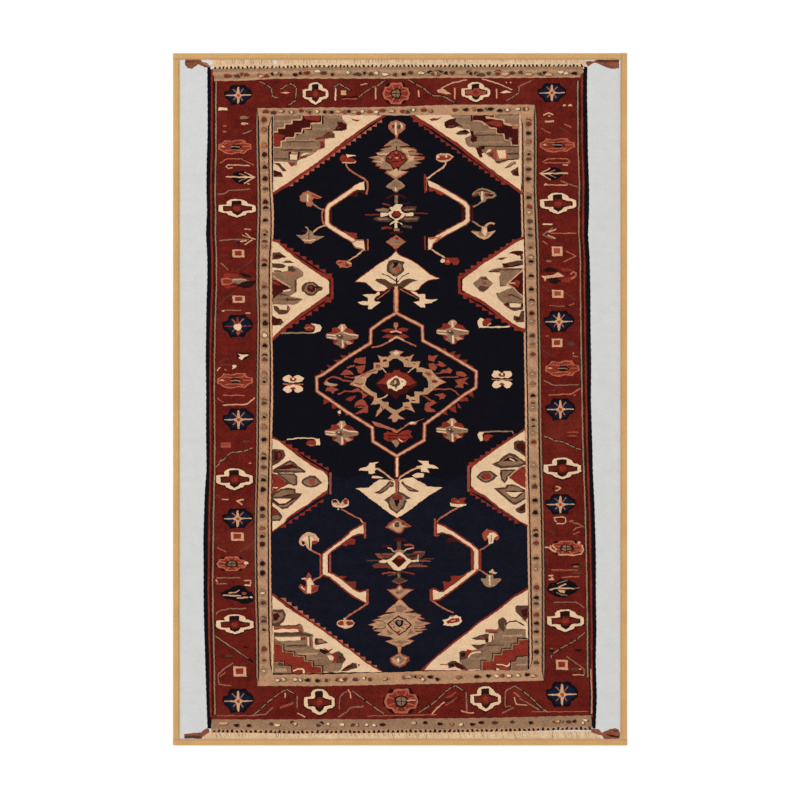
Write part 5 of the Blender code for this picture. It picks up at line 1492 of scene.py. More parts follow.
    def lower_left_pendant(self) -> None:
        """The half lozenge on the lower left side."""
        self.stairs(Ink.BRICK, -42.4, -14.6, -25.2, -25.2, 8, True)
        self.stairs(Ink.BRICK, -42.4, -45.2, -27, -35, 7, True)
        self.batch(
            (Ink.BRICK, (-45, -12.9, -42.5, -14.3, -40, -16, -36, -18.9, -33, -21.3, -29.5, -23.4,
                         -25.6, -25.6,
                         -25.4, -33, -27, -34.2, -30, -35.6, -35, -39.2, -39.5, -42.2, -41, -44.2,
                         -45, -46.9)),
            (Ink.RUST, .8, (-24.6, -25.8, -24.6, -33.4)),
            (Ink.SOOT, .5, (-25.3, -26.2, -25.3, -33)),
            (Ink.CREAM, (-45, -13.7, -42.5, -15, -40, -17, -36.3, -19.8, -33.9, -21.6, -30, -24.3,
                         -27.4, -25.3,
                         -25.6, -27, -25.4, -28.7, -25.6, -32, -27.4, -33, -30, -34.9, -32.5, -36.9,
                         -35, -38.4,
                         -37.1, -39.8, -39.5, -41.4, -40.9, -43.5, -43, -44.9, -45, -46.3)),
            (Ink.UMBER, (-45, -17.6, -42, -17.6, -40.9, -18, -40.3, -19.8, -41.2, -21.1, -43.3,
                         -22.7, -45, -23.5)),
            (Ink.MAROON, (-44.4, -18.4, -42.4, -18.3, -41.4, -19.6, -42, -20.8, -44.4, -22)),
            (Ink.BRICK, (-43, -19, -42, -19.2, -42.2, -20.6, -43, -20.8)),
            (Ink.UMBER, (-44.8, -24.8, -40.3, -22.1, -38.8, -21.4, -37.5, -22.1, -35.2, -24, -33.2,
                         -25.4,
                         -33.6, -25.9, -44.9, -25.9)),
            (Ink.TAUPE, (-43.6, -25, -40, -22.8, -38.6, -22.2, -36.4, -24, -34.4, -25.3, -40, -25)),
            (Ink.MAROON, (-43.6, -24.7, -41, -23.4, -38, -22.8, -35.8, -24.4, -38, -24.2, -40,
                          -24.7)),
            (Ink.BRICK, (-45, -26, -43, -26.6, -41, -28.3, -39.2, -29.8, -40, -30.4, -42, -31.2,
                         -45, -33.4)),
            (Ink.TAN, .3, (-43, -26.7, -41, -28.2, -38.6, -30.1)),
            (Ink.CREAM, .35, (-44.8, -31.1, -43, -31.1)),
            (Ink.UMBER, (-43.2, -26, -37.2, -26.1, -36.2, -27.2, -36.2, -30.2, -37.5, -30.6, -39.4,
                         -29.8,
                         -41.6, -27.9, -43, -26.8)),
            (Ink.TAUPE, (-42.4, -26.6, -37.4, -26.6, -36.9, -27.4, -36.9, -29.8, -38, -29.9, -41.2,
                         -27.2)),
            (Ink.UMBER, (-45, -33.2, -42, -31.5, -40, -31.2, -36.8, -31.4, -36.8, -33, -34.6, -33.1,
                         -34.9, -34,
                         -38, -37, -39.6, -38.4, -41.5, -38.7, -43, -37.8, -45, -36.4)),
            (Ink.TAUPE, (-44, -33.4, -41.4, -32, -37.4, -32, -37.3, -33.2, -40, -33.6, -42, -34.2,
                         -44.6, -34.3)),
            (Ink.TAUPE, (-44.8, -35.8, -42.4, -37.8, -40, -37.8, -36.6, -35.2, -38, -35.2, -40.4,
                         -37.1,
                         -42.8, -37.1)),
            (Ink.MAROON, (-41.6, -34.2, -38.8, -33.4, -38.2, -33.8, -41, -34.4)),
            (Ink.MAROON, (-45, -34.9, -36.6, -34.7, -40.4, -37.3, -42.8, -37.3, -45, -35.9)),
            (Ink.CREAM, (-44.8, -35, -38.2, -35, -40.4, -36.6, -42.4, -36.8)),
            (Ink.UMBER, (-45, -37.6, -43.4, -38.8, -42, -40.2, -41.4, -41.5, -42.4, -42.9, -45,
                         -42.9)),
            (Ink.TAUPE, (-45, -41, -43, -40.8, -42, -41.6, -43, -42.3, -45, -42.3)),
            (Ink.BRICK, (-45, -38.2, -43.6, -39.2, -42.6, -40.2, -45, -40.2)),
            (Ink.UMBER, (-34.8, -29.2, -34.5, -28.3, -33.2, -27.6, -31.8, -26.9, -30, -26.9, -29.2,
                         -27.6,
                         -28.4, -28.4, -27.4, -29.5, -28.8, -30.3, -29.6, -30.9, -31.4, -31.2,
                         -33.2, -30.8,
                         -34.4, -30)),
            (Ink.TAUPE, (-34.2, -28.9, -32.6, -28, -31, -27.6, -29.4, -28.2, -28.2, -29.4, -30,
                         -30.2, -32, -30.6,
                         -33.6, -29.8)),
            (Ink.RUST, (-32, -28.2, -30.6, -27.8, -29.8, -29, -30.4, -30.2, -31.8, -30, -32.2,
                        -29)),
        )

    def lower_right_pendant(self) -> None:
        """The half lozenge on the lower right side."""
        self.stairs(Ink.BRICK, 24.2, -23.4, 41.8, -12.2, 9, False)
        self.stairs(Ink.BRICK, 42.2, -43.8, 24.6, -32.6, 9, True)
        self.batch(
            (Ink.BRICK, (43.9, -10.2, 41.4, -12, 37.3, -14.5, 33.5, -17.1, 30, -19.6, 26.4, -22.1,
                         24.2, -23,
                         24.4, -32.4, 27, -33.4, 30, -34.8, 34.9, -38.8, 40.9, -42.6, 45, -45)),
            (Ink.RUST, .8, (24.1, -23.3, 24.1, -32.5)),
            (Ink.SOOT, .45, (24.8, -24, 24.8, -31.5)),
            (Ink.CREAM, (43.9, -11, 40.9, -13, 37.3, -15.3, 33.5, -17.9, 30, -20.5, 27.2, -22.6,
                         25.4, -23.9,
                         25.1, -25.5, 25, -30.5, 26.8, -32.3, 30, -33.9, 31.6, -35.3, 34.9, -38, 38,
                         -40,
                         40.9, -41.9, 43.1, -43.5, 45, -44.3, 44.4, -30)),
            (Ink.UMBER, (40, -15.2, 40.9, -14.6, 43.1, -14.4, 44.2, -15.2, 44.2, -20.4, 42.2, -18.8,
                         40.1, -17.5)),
            (Ink.MAROON, (41, -15.8, 42.6, -15, 44.2, -15.9, 44.2, -19.4, 42.4, -18.2, 41, -17.2)),
            (Ink.UMBER, (38.6, -18.8, 36.4, -20, 34.8, -21.7, 32.2, -22.9, 35.4, -24.4, 41.8, -23.9,
                         44.2, -23,
                         44.2, -22, 42.2, -20.7, 40.6, -19.4)),
            (Ink.TAUPE, (38.5, -19.7, 36.6, -21, 34.4, -22.6, 36, -23.6, 41.6, -23.1, 43.6, -22.4,
                         41.4, -20.8)),
            (Ink.MAROON, (36, -21.8, 38, -20.4, 40, -20.6, 42, -21.8, 40, -21.9)),
            (Ink.CREAM, .4, (38.6, -21, 40.4, -21.7)),
            (Ink.BRICK, (44.1, -23.5, 42.2, -23.9, 40.2, -25.5, 38.3, -27.1, 38.6, -27.8, 40.9,
                         -29.5, 44.2, -31.4)),
            (Ink.TAN, .3, (42.8, -23.7, 40.2, -25.7, 38.4, -27.3)),
            (Ink.UMBER, (35.3, -24.8, 41, -24.7, 38, -27.4, 37.7, -28.8, 36.6, -29.6, 35.6, -28.4,
                         35.1, -26)),
            (Ink.TAUPE, (36, -25.3, 39.6, -25.2, 37.4, -27.2, 37, -28.8, 36, -27.9)),
            (Ink.UMBER, (32.9, -31.3, 37, -31, 37.7, -30, 39.9, -29.9, 44.2, -31.9, 44.2, -35.1,
                         43.1, -35.8,
                         40.9, -37.1, 39.9, -37.2, 37.7, -35.5, 35.1, -33.2)),
            (Ink.TAUPE, (34.6, -31.8, 37.4, -31.6, 38.4, -30.6, 41, -30.9, 44.2, -32.4, 44.2, -34.6,
                         41, -36.2,
                         39.8, -36.3, 36, -33)),
            (Ink.MAROON, (36.8, -32.2, 44, -32.2, 42.4, -33.9, 41, -34.8, 39.3, -34.8)),
            (Ink.CREAM, (37.2, -32.7, 43.4, -32.7, 41.8, -33.5, 40.9, -34.4, 39.3, -34.4)),
            (Ink.UMBER, (40.7, -38.7, 42.5, -37.4, 44.2, -36.4, 44.2, -39.8, 42.5, -40.3, 40.9,
                         -39.6)),
            (Ink.MAROON, (41.8, -38.8, 42.8, -37.8, 44, -36.9, 44.1, -38.6, 42.6, -39.5)),
            (Ink.UMBER, (26.7, -27.4, 28, -26, 29, -25.3, 31.8, -25.1, 33.4, -26.2, 34.4, -27, 33.4,
                         -28, 32, -28.9,
                         30.2, -29.6, 28.6, -28.9)),
            (Ink.TAUPE, (27.6, -27.4, 29, -26, 31.6, -25.8, 33.2, -27, 31.6, -28.4, 30.2, -29, 28.8,
                         -28.3)),
            (Ink.BRICK, (28.9, -26.1, 31.2, -26, 32.2, -27, 31.8, -28, 29.4, -28.3)),
            (Ink.MAROON, .4, (28.4, -26.8, 29.6, -28)),
        )

    def lower_palmette(self) -> None:
        """The fan under the centre that points down, its birds, and the tan lozenge below."""
        stem = (-1.1, -19.9, -1.1, -27.4)
        fan = (-15.8, -31.4, -11.1, -31.1, -9.9, -30.1, -8.4, -28.9, -7.2, -28.4, -5.3, -28.3, -2.9,
               -28.7, -1.1, -29.4,
               .2, -28.3, 2.4, -27.6, 4.5, -27.6, 6.3, -28.7, 8.6, -29.9, 9.8, -30.8, 14.9, -31,
               13.5, -31.9,
               10, -34, 6.6, -36.5, 4.1, -38.5, .4, -41, -1.2, -41.8, -3.7, -40.1, -6.2, -38.3,
               -8.8, -36.2,
               -11.1, -34.8, -12.7, -33.2, -14.2, -32.1)
        left = (-14.6, -25, -14, -24.3, -11.6, -23.7, -10.7, -22.4, -7.6, -22.1, -8.8, -22.9, -8.9,
                -24, -8, -24.4,
                -9.1, -25.2, -8.8, -25.9, -10, -26.3, -11.1, -26.2, -11.1, -25.2)
        right = (6.2, -21.6, 10, -21.8, 10.1, -22.9, 12.3, -23.3, 13.5, -24.4, 10.2, -24.2, 9.4,
                 -24.4, 10.3, -25.8,
                 7.4, -25.5, 7.4, -24.6, 6, -24.4, 5.7, -23.6, 8, -23.2, 7.6, -22.5)
        for edge in (fan, left, right,
                     (-9.8, -27, -7.8, -27, -5.8, -27.7, -7.4, -27.9, -9.9, -27.8),
                     (4.1, -26.8, 6.1, -25.9, 8.4, -26.2, 8.2, -27.5, 5.5, -27.7)):
            self.art.line(Ink.MAROON, .5, *edge, *edge[:2])
        arms = ((-1.9, -28.8, -3.6, -27.6, -5.5, -26, -7.6, -24.6, -9, -24.3),
                (-.6, -28.6, .2, -27.3, 2, -26.1, 4, -25, 5.6, -24.3, 7.4, -24))
        for arm in arms:
            self.batch((Ink.MAROON, 1.1, arm))
        self.batch(
            (Ink.BRICK, 1.6, stem), (Ink.CREAM, .8, stem),
            (Ink.CREAM, fan), (Ink.CREAM, left), (Ink.CREAM, right),
            (Ink.CREAM, (-9.8, -27, -7.8, -27, -5.8, -27.7, -7.4, -27.9, -9.9, -27.8)),
            (Ink.CREAM, (4.1, -26.8, 6.1, -25.9, 8.4, -26.2, 8.2, -27.5, 5.5, -27.7)),
            (Ink.TAN, .55, arms[0]), (Ink.TAN, .55, arms[1]),
            (Ink.UMBER, (-9.1, -32.9, -7.4, -32.1, -4.9, -30.1, -3.7, -28.7, -2.1, -29.5, -2.3,
                         -30.7, -3.7, -31.1,
                         -5.1, -32.4, -7, -33.4)),
            (Ink.TAUPE, (-7.4, -32.8, -4.6, -30.4, -3.4, -29.2, -2.5, -29.9, -4, -30.8, -5.4, -32)),
            (Ink.UMBER, (.8, -28.7, 2, -30.1, 4.5, -31.3, 6.7, -32.4, 6.2, -32.8, 3.1, -32.3, 1.4,
                         -30.7,
                         .3, -29.5)),
            (Ink.TAUPE, (.9, -29.4, 2.6, -31, 5, -31.9, 3.4, -32, 1.8, -30.7)),
            (Ink.UMBER, (-1.9, -29, -.3, -29, -.1, -32.6, .6, -32.8, 3.8, -34.9, 2, -35.5, 2.5, -36,
                         1.8, -37.1,
                         1.4, -38.3, .2, -39.1, -1.2, -40.4, -3.3, -38.9, -4.1, -37.7, -4.3, -36.5,
                         -5.7, -35.5,
                         -3.7, -34.2, -1.7, -32.8)),
            (Ink.TAUPE, (-1.5, -33.2, -3.4, -34.8, -3.9, -35.8, -3.4, -37.6, -2.4, -38.8, -1.2,
                         -39.6, 0, -38.6,
                         .9, -37.4, 1.2, -36, 2.4, -35, .8, -33.8)),
            (Ink.BRICK, (-1.6, -33.4, -2.9, -34.4, -2.4, -35.5, -1, -35.2, .8, -35.5, .9, -34.4, 0,
                         -33.6)),
            (Ink.SOOT, (-2.1, -35.4, -.4, -35.2, -.2, -36.2, -.8, -37.2, -1, -38.1, -1.5, -37.3,
                        -1.9, -36.4)),
            (Ink.NAVY, (-1.7, -35.6, -.9, -35.6, -.9, -36.6, -1.4, -36.6)),
            (Ink.RUST, .7, (-1.3, -28, -1.3, -33)), (Ink.ROSE, .35, (-.9, -28.6, -.9, -32.8)),
            (Ink.CREAM, .4, (-2, -28.8, -1.9, -32.4)), (Ink.CREAM, .4, (0, -28.8, -.1, -32.4)),
            (Ink.RUST, .6, (-1.1, -41.6, -.8, -42.6)),
            (Ink.RUST, (-5.2, -45.3, -5.1, -44.9, -3.7, -43.4, -1.7, -42.2, -.4, -42, 1.6, -43, 4.2,
                        -44.8,
                        1.6, -45.5, 1, -46.7, -.2, -47.4, -2.1, -46.7, -3.7, -45.7)),
            (Ink.BEIGE, (-4.2, -45, -2.8, -43.6, -1.2, -42.7, 0, -43, .8, -44.2, 2.4, -44.9, 1,
                         -45.2, .4, -46.4,
                         -.4, -46.9, -2, -46.2, -3.4, -45.4)),
            (Ink.UMBER, (-1.6, -43.4, -.4, -43.2, -.2, -44.8, -1, -45.2, -2.2, -44.8)),
            (Ink.UMBER, (.6, -43.4, 1.8, -43.6, 1.6, -44.2, .6, -44.3)),
            (Ink.CREAM, .35, (-2.4, -44, -2.2, -45)),
        )

    def lower_brackets(self) -> None:
        """The two tall brackets of the lower field, with the small flowers that grow from them."""
        left = (-13, -44.1, -15, -45.3, -17.2, -46.5, -18, -47.6, -20.7, -49.8, -25, -52.9, -27.2,
                -54.7, -27.2, -61.6,
                -24.7, -62.5, -22.6, -64.3, -20, -66.4, -17.5, -68.4, -15, -70, -12.1, -71.5, -12,
                -67.6,
                -14.2, -68.1, -15.6, -67.6, -17.7, -66, -20.4, -63.8, -23.4, -61.9, -25.5, -61,
                -25.5, -54.8,
                -24.5, -53.6, -21.8, -51.6, -19.1, -49.7, -16.9, -48, -14.8, -47.3, -12.9, -47.2)
        right = (13.1, -43.9, 15.9, -45.1, 20.4, -48, 24.8, -51, 26.9, -52.6, 27.5, -53.6, 27.5,
                 -59.8, 26.4, -60.9,
                 23.2, -63.4, 19.1, -66.6, 15.9, -68.8, 13.9, -70.3, 11.6, -70.6, 11.6, -67.1, 12.3,
                 -67.2,
                 13.9, -68, 15.2, -67.9, 18.4, -65.6, 21, -63.7, 23.9, -61.3, 26.1, -60, 26.1,
                 -53.6,
                 24.8, -52, 21, -49.6, 18.1, -47.6, 14.6, -46.7, 13, -47.2)
        self.batch(
            (Ink.RUST, .8, (-28, -54.7, -28, -61.9)), (Ink.RUST, .8, (-24.7, -54.4, -24.7, -61.4)),
            (Ink.BRICK, .8, (25.3, -52.8, 25.3, -60.2)), (Ink.BRICK, .8, (28.2, -53, 28.2, -60.2)),
            (Ink.BRICK, 1.1, left + left[:2]), (Ink.BRICK, 1.1, right + right[:2]),
            (Ink.SOOT, .3, (-27.5, -54.8, -27.5, -61.8)),
            (Ink.SOOT, .3, (-25.2, -54.8, -25.2, -61)),
            (Ink.CREAM, left), (Ink.CREAM, right),
            (Ink.RUST, .8, (-12.4, -43.4, -12.4, -49)), (Ink.RUST, .8, (-11.5, -66.9, -11.5, -72)),
            (Ink.RUST, .7, (12.3, -42, 12.3, -48.2)), (Ink.RUST, .4, (12.2, -48.1, 13.8, -48)),
            (Ink.RUST, .4, (10.6, -67, 10.6, -71)), (Ink.RUST, .4, (11.2, -67, 11.2, -71.4)),
            (Ink.BRICK, (-19.7, -50.5, -17.6, -48.8, -15.8, -49.3, -15.8, -51.1, -18.4, -51.1, -19,
                         -51.8,
                         -20.2, -51.5)),
            (Ink.MAROON, (17.8, -48.5, 16.8, -49.3, 16.2, -50.6, 18.6, -50.2, 21.4, -50.2)),
            (Ink.BRICK, (-22.4, -62.3, -18.6, -62.4, -20.2, -63.4, -18.9, -64.2, -15.5, -64.2,
                         -15.6, -66.2,
                         -16.4, -67.2, -18.8, -65)),
            (Ink.UMBER, (-17.4, -64.8, -15.7, -64.8, -15.8, -65.8, -17, -65.6)),
            (Ink.BRICK, (14.9, -64, 17.4, -64.4, 18.2, -63.4, 17.8, -62.3, 23.2, -62, 20.2, -64.2,
                         15.6, -67.4)),
            (Ink.ROSE, .55, (-12.8, -43.8, -14, -42.2, -15.9, -41.4, -18.3, -40, -20.8, -38.6)),
            (Ink.TAN, .4, (-14, -42.4, -13.2, -43.4)),
            (Ink.ROSE, .55, (12.9, -43.4, 13.9, -42, 15.2, -41.2, 17.8, -39.6, 20.6, -38)),
            (Ink.ROSE, .55, (-28.2, -54.7, -29.6, -54.1, -31.6, -53.1, -32.6, -52.3)),
            (Ink.ROSE, .5, (28, -53.2, 29.4, -52.5, 31.4, -51.1)),
            (Ink.ROSE, .6, (-27.4, -61.9, -28.6, -62.8, -30.4, -63.6, -31, -64.4)),
            (Ink.ROSE, .5, (26.6, -60, 28.2, -60.2, 30, -61.4, 31, -62)),
            (Ink.ROSE, .6, (-11.4, -71.9, -15, -74.3, -17.7, -75.9, -19.4, -77.3, -19.6, -78)),
            (Ink.ROSE, .55, (11.4, -71.1, 13.9, -72.8, 16.8, -74.4, 18.9, -75.2)),
            (Ink.TAN, (-24.2, -37, -23.6, -37.8, -21.6, -38.2, -20, -38.2, -18.3, -37.5, -17.9,
                       -36.4, -18.4, -35.2,
                       -19.4, -34.8, -20.4, -35.9, -21.1, -36.8, -21.8, -35.6, -22.9, -35.1, -24,
                       -35.5)),
            (Ink.CREAM, .5, (-23.9, -36.9, -22.4, -37.8, -20, -37.9, -18.3, -37.1)),
            (Ink.MAROON, (-23.9, -35.6, -22.6, -35.3, -22, -36.4, -23.6, -36.5)),
            (Ink.BRICK, (-20.1, -35.9, -19.3, -35, -18.5, -35.4, -18.5, -37, -19.8, -37)),
            (Ink.CREAM, .5, (-22, -38.6, -21.5, -38.8)),
            (Ink.ROSE, .35, (-22, -36.6, -21.4, -37.4)),
            (Ink.BRICK, (18, -35.2, 18.9, -34.6, 20.4, -35.2, 22.3, -34.6, 23.4, -34.8, 22.4, -35.8,
                         22.9, -36.8,
                         18.1, -36.8)),
            (Ink.CREAM, (17.5, -36.3, 18.3, -36.8, 22.4, -37, 23.4, -36.8, 23.2, -37.4, 20.6, -38.1,
                         17.8, -37.5)),
            (Ink.ROSE, .35, (19.4, -35.9, 20.8, -36.1)),
            (Ink.TAN, (-35.7, -50.2, -35.2, -48.6, -33.2, -47, -31.7, -46.8, -29.8, -47.5, -28.5,
                       -49.2,
                       -28.7, -50.3, -31, -50.2, -31.2, -53.3, -32.5, -52.8, -33.3, -51.2, -34.2,
                       -51.8,
                       -35.3, -51.2)),
            (Ink.CREAM, (-34.4, -49, -32.6, -48, -30.8, -48.6, -30.2, -49.6, -31.2, -49.7, -31.4,
                         -52.4,
                         -32.3, -52, -32.8, -49.8, -34.6, -50.2)),
            (Ink.UMBER, .45, (-32.2, -48, -32, -50, -31.8, -52.6)),
            (Ink.SOOT, (-34.8, -50, -33.8, -50, -33.5, -51.1, -34.4, -51.3)),
            (Ink.BRICK, (-31, -49.7, -28.9, -49.9, -29.3, -50.9, -30.6, -51.1, -31.1, -50.6)),
            (Ink.RUST, (28.9, -47.4, 30, -46, 30.6, -45.6, 33.8, -46.7, 35.1, -48.6, 34.1, -49.9,
                        33.1, -49,
                        31, -49, 30, -49.9, 29.3, -49.2)),
            (Ink.CREAM, (30.6, -48.4, 31.6, -47.1, 33, -47, 34.6, -48, 33.3, -48.6, 32.8, -50.6,
                         31.2, -51.2,
                         31.1, -49.2)),
            (Ink.SAND, .5, (32.2, -47.8, 32, -50.4)),
            (Ink.RUST, (-32.4, -61, -31.3, -62.1, -31.2, -63.2, -30.1, -65.4, -28.5, -65.6, -29.1,
                        -67.6,
                        -31.5, -68.7, -33.1, -68.6, -34.8, -67.3, -35.7, -66, -35.2, -65, -33.3,
                        -66.2,
                        -33.1, -64.3, -34.8, -63.2, -33.1, -62.5)),
            (Ink.CREAM, (-33, -63.8, -31.8, -62.8, -31, -64, -30.2, -65.2, -31.4, -65.6, -31.4,
                         -68.2, -32.8, -68.3,
                         -32.8, -65)),
            (Ink.CREAM, .45, (-34.9, -66, -33.6, -67.2)),
            (Ink.CREAM, .4, (-34.6, -63.2, -33, -63.2)),
            (Ink.BRICK, (-31, -66.4, -28.9, -65.9, -29.4, -67.4, -31, -68)),
            (Ink.SAND, (30.4, -61.8, 32.7, -61.8, 32.9, -63.2, 35.5, -63.1, 35.7, -63.7, 33.2,
                        -65.9, 31.3, -66.4,
                        30, -65.7, 28.4, -63.7, 28.6, -63.1, 30.3, -63.2)),
            (Ink.CREAM, .5, (31.5, -62, 31.6, -65.6)), (Ink.ROSE, .35, (33.4, -63.6, 34.8, -63.4)),
            (Ink.TAN, (31.3, -60.8, 32.5, -59.7, 33.1, -60.7, 34.2, -61.1, 33.8, -61.6, 31.6,
                       -61.2)),
        )
        self.spots(Ink.TAN, (-19.2, -79.1, 3.2, 1.6))
        self.spots(Ink.BRICK, (-20.8, -78.9, 1.1, .8), (-17.8, -78.9, 1.3, .8))
        self.batch(
            (Ink.CREAM, .4, (-21.8, -79.9, -19.2, -80.3, -16.8, -79.8)),
            (Ink.TAN, .7, (-19.5, -77, -19.5, -79.9)),
            (Ink.CREAM, (15.1, -79.6, 15.6, -78.8, 14.8, -77.7, 16.8, -77.4, 17.8, -76.1, 19.7,
                         -76.1, 21.3, -76.7,
                         21.8, -78.1, 20.7, -79.4, 18.4, -80)),
            (Ink.BRICK, (16.2, -78.4, 18.2, -77.2, 20.8, -77, 21, -78.2, 19, -78.9, 16.8, -79)),
            (Ink.RUST, (17.2, -76.2, 19.6, -76, 18.4, -76.8)),
            (Ink.TAN, .4, (18, -78.2, 19.4, -77.9)),
        )

    def lower_column(self) -> None:
        """The figures stacked on the lower axis: a winged diamond, a tan one and a rosette."""
        wings = (-1.8, -75.3, -5, -75.8, -8, -76.6, -6, -76.9, -8.6, -77.6, -10, -77.9, -8, -78.4,
                 -9.6, -79,
                 -11.2, -79.4, -9, -79.9, -9.6, -80.8, -7.2, -80.9, -9.4, -81.5, -6.5, -82, -8,
                 -82.9, -5.4, -83.4,
                 -3.5, -83.6, -2, -84.6, -5, -85.2, -3.4, -86, -1, -87.1, -.5, -89.4, 0, -89.4, .4,
                 -87.2,
                 3.4, -86, 4.8, -85, 2.4, -84.6, 3.5, -83.9, 5.6, -83, 8, -82, 5.4, -81.7, 9.6,
                 -81.1, 7, -80.7,
                 8.8, -80.2, 8.4, -79.4, 10.9, -78.8, 8, -78.4, 6, -77.5, 8.6, -77.4, 6.6, -76.6,
                 7.4, -76.1,
                 5.4, -75.3, 1.8, -75.3)
        crown = (-.4, -70.6, -1.8, -72.2, -3.8, -73.6, -4.9, -75, -1.7, -74.8, -1.8, -75.6, 1.7,
                 -75.6, 1.5, -75,
                 3.5, -74.6, 4.8, -74.3, 3.2, -73.6, 1.8, -72.2, .2, -70.6)
        self.batch(
            (Ink.MAROON, (-2.8, -49.9, -1.6, -49, -.4, -48.6, 1.1, -48.9, 2.5, -49.9, 1, -50, -.8,
                          -49.8)),
            (Ink.MAROON, (-6.5, -51.3, -3.2, -51.1, -3.4, -52, -6.2, -52.1)),
            (Ink.RUST, .6, (1.4, -51.4, 3.4, -51.2, 5, -51.8)),
            (Ink.UMBER, 1.4, (-.4, -50, -.4, -53)),
            (Ink.TAN, .4, (-4.5, -52.3, -3.2, -52.6, -2.2, -53.8)),
            (Ink.TAN, .45, (4.8, -52.4, 2.2, -52.9, 1, -54)),
            (Ink.SAND, (-2.4, -53.4, -.4, -52.8, 1.8, -53.4, 1, -54.4, -1.6, -54.4)),
            (Ink.BRICK, (-1.2, -52.4, .2, -52.4, 0, -53, -1, -53)),
            (Ink.UMBER, (-9.1, -54.2, -2.2, -54.2, -3.8, -56, -7.2, -56.1)),
            (Ink.RUST, (-9, -54.4, -7.4, -54.4, -5.8, -56, -7, -56.2)),
            (Ink.RUST, .3, (-6.4, -54.6, -2.4, -54.6)),
            (Ink.UMBER, (1.4, -54.4, 5, -54.2, 8.8, -53.9, 8.4, -54.9, 7.2, -56, 3.4, -56.4)),
            (Ink.RUST, .45, (4.6, -53.8, 8.7, -53.8)), (Ink.MAROON, .7, (3, -55.4, 6, -55)),
            (Ink.TAN, .35, (6.4, -54.8, 6.2, -56.4)), (Ink.UMBER, .45, (-11.8, -56.8, -7, -56.8)),
            (Ink.UMBER, .4, (6.8, -56.9, 9, -56.2, 12, -56.2)),
            (Ink.RUST, .45, (7, -57, 10.7, -57)),
            (Ink.UMBER, (-10, -58.6, -7.4, -57.4, -3, -58.2, -1.4, -60.4, -4, -59.2, -9.2, -59.5)),
            (Ink.BRICK, (-9.4, -59, -7, -58.4, -3.2, -59, -2.6, -60, -5, -59.4, -8.6, -59.5)),
            (Ink.UMBER, (2.6, -58, 5, -57.6, 8.4, -57.9, 6, -58.8, 9.8, -58.6, 8, -59.2, 2, -59.2)),
            (Ink.RUST, .5, (3, -58.9, 6.5, -58.6, 9.6, -58.9)),
            (Ink.CREAM, (-7.4, -57, -6.2, -56.5, -4.6, -56.6, -3, -55.8, -1.8, -54.6, -.3, -53.7,
                         1.4, -54.8,
                         2.6, -56, 4, -56.7, 6.6, -56.4, 6.6, -57.2, 4, -57.3, 3, -58, 1.8, -59.6,
                         -.2, -60.4,
                         -2.2, -60.2, -3.2, -58.8, -4.6, -57.4, -6, -57.7, -7.2, -57.5)),
            (Ink.MAROON, (-.3, -54.8, -1.8, -56, -3.1, -57, -1.8, -58, -.6, -59.3, 1, -58, 2.3,
                          -56.8, .8, -55.6)),
            (Ink.BRICK, (-.2, -55, -1.2, -56, 0, -56.4, 1.6, -56, .8, -55.4)),
            (Ink.UMBER, 1.3, (-.5, -60.4, -.4, -63.4)), (Ink.SAND, .5, (-.6, -61.4, -.4, -63)),
            (Ink.RUST, .55, (-6.4, -61.5, -4, -61, -1.4, -61.2)),
            (Ink.UMBER, .5, (-4.4, -62.2, -1.6, -61.6)),
            (Ink.BRICK, .6, (.4, -60.6, 2.4, -61, 5.1, -61.6)),
            (Ink.UMBER, (-3, -64, -1.4, -63, .4, -62.8, 2.6, -63.8, .4, -64.8, -.6, -64.8)),
            (Ink.RUST, .35, (-2.8, -64.1, -.4, -64.9, 2.6, -63.8)),
            (Ink.RUST, (-.2, -65.1, -1.6, -66.6, -5, -67, -3.4, -68.2, -.4, -70.8, .1, -70.8, 2.9,
                        -68.2, 5.1, -67,
                        1.1, -66.6)),
            (Ink.BEIGE, (-.2, -65.6, -1.4, -67, -4.2, -67.2, -2.8, -68.3, -.3, -70.2, 2.4, -68.4, 4,
                         -67.2, 1, -67)),
            (Ink.TAUPE, (-1.6, -67.6, .4, -67, 1.6, -67.6, .2, -68.6, -1, -68.8)),
            (Ink.UMBER, .4, (-1.4, -68.2, -.4, -68.2)), (Ink.CREAM, .4, (-.2, -66.4, 0, -67.2)),
            (Ink.RUST, .35, wings + wings[:2]), (Ink.RUST, .35, crown + crown[:2]),
            (Ink.BEIGE, wings), (Ink.BEIGE, crown),
            (Ink.TAUPE, (-1.6, -73, .4, -72.4, 2.4, -73.8, .6, -75.2, -1.2, -75)),
            (Ink.SAND, (-6, -76.4, -2, -75.9, -3.6, -77.4, -6.4, -78)),
            (Ink.SAND, (2, -75.8, 6, -76.4, 4.2, -77.4)),
            (Ink.SAND, (-9, -79.4, -5.4, -78.6, -5, -80, -7.6, -80.2)),
            (Ink.SAND, (5, -78.2, 9.6, -78.8, 6, -79.6)),
            (Ink.TAUPE, (-4.8, -81, -2.2, -82.6, -4, -83.2)),
            (Ink.TAUPE, (3.6, -80.8, 5, -82.2, 2.4, -83.4)),
            (Ink.TAUPE, (-3, -85.4, 0, -85, 3.2, -85.2, .4, -86.4)),
            (Ink.RUST, .35, (-.8, -86.9, .8, -87)),
            (Ink.UMBER, .3, (-9.6, -77.9, -6.4, -78, -4.9, -79)),
            (Ink.UMBER, .3, (-9, -80.7, -6, -80.9, -4.8, -80)),
            (Ink.RUST, .35, (5, -80.1, 8.6, -79.8)), (Ink.MAROON, .4, (5.4, -81.8, 7.8, -81.7)),
            (Ink.RUST, .35, (6, -77.2, 8.4, -77.5)), (Ink.UMBER, .3, (5, -80.8, 8, -81)),
            (Ink.SOOT, (-.6, -76.2, -2.4, -77.3, -4.7, -79.2, -3, -81, -.4, -83.3, 2, -81.8, 4.1,
                        -79.5, 2, -77.4)),
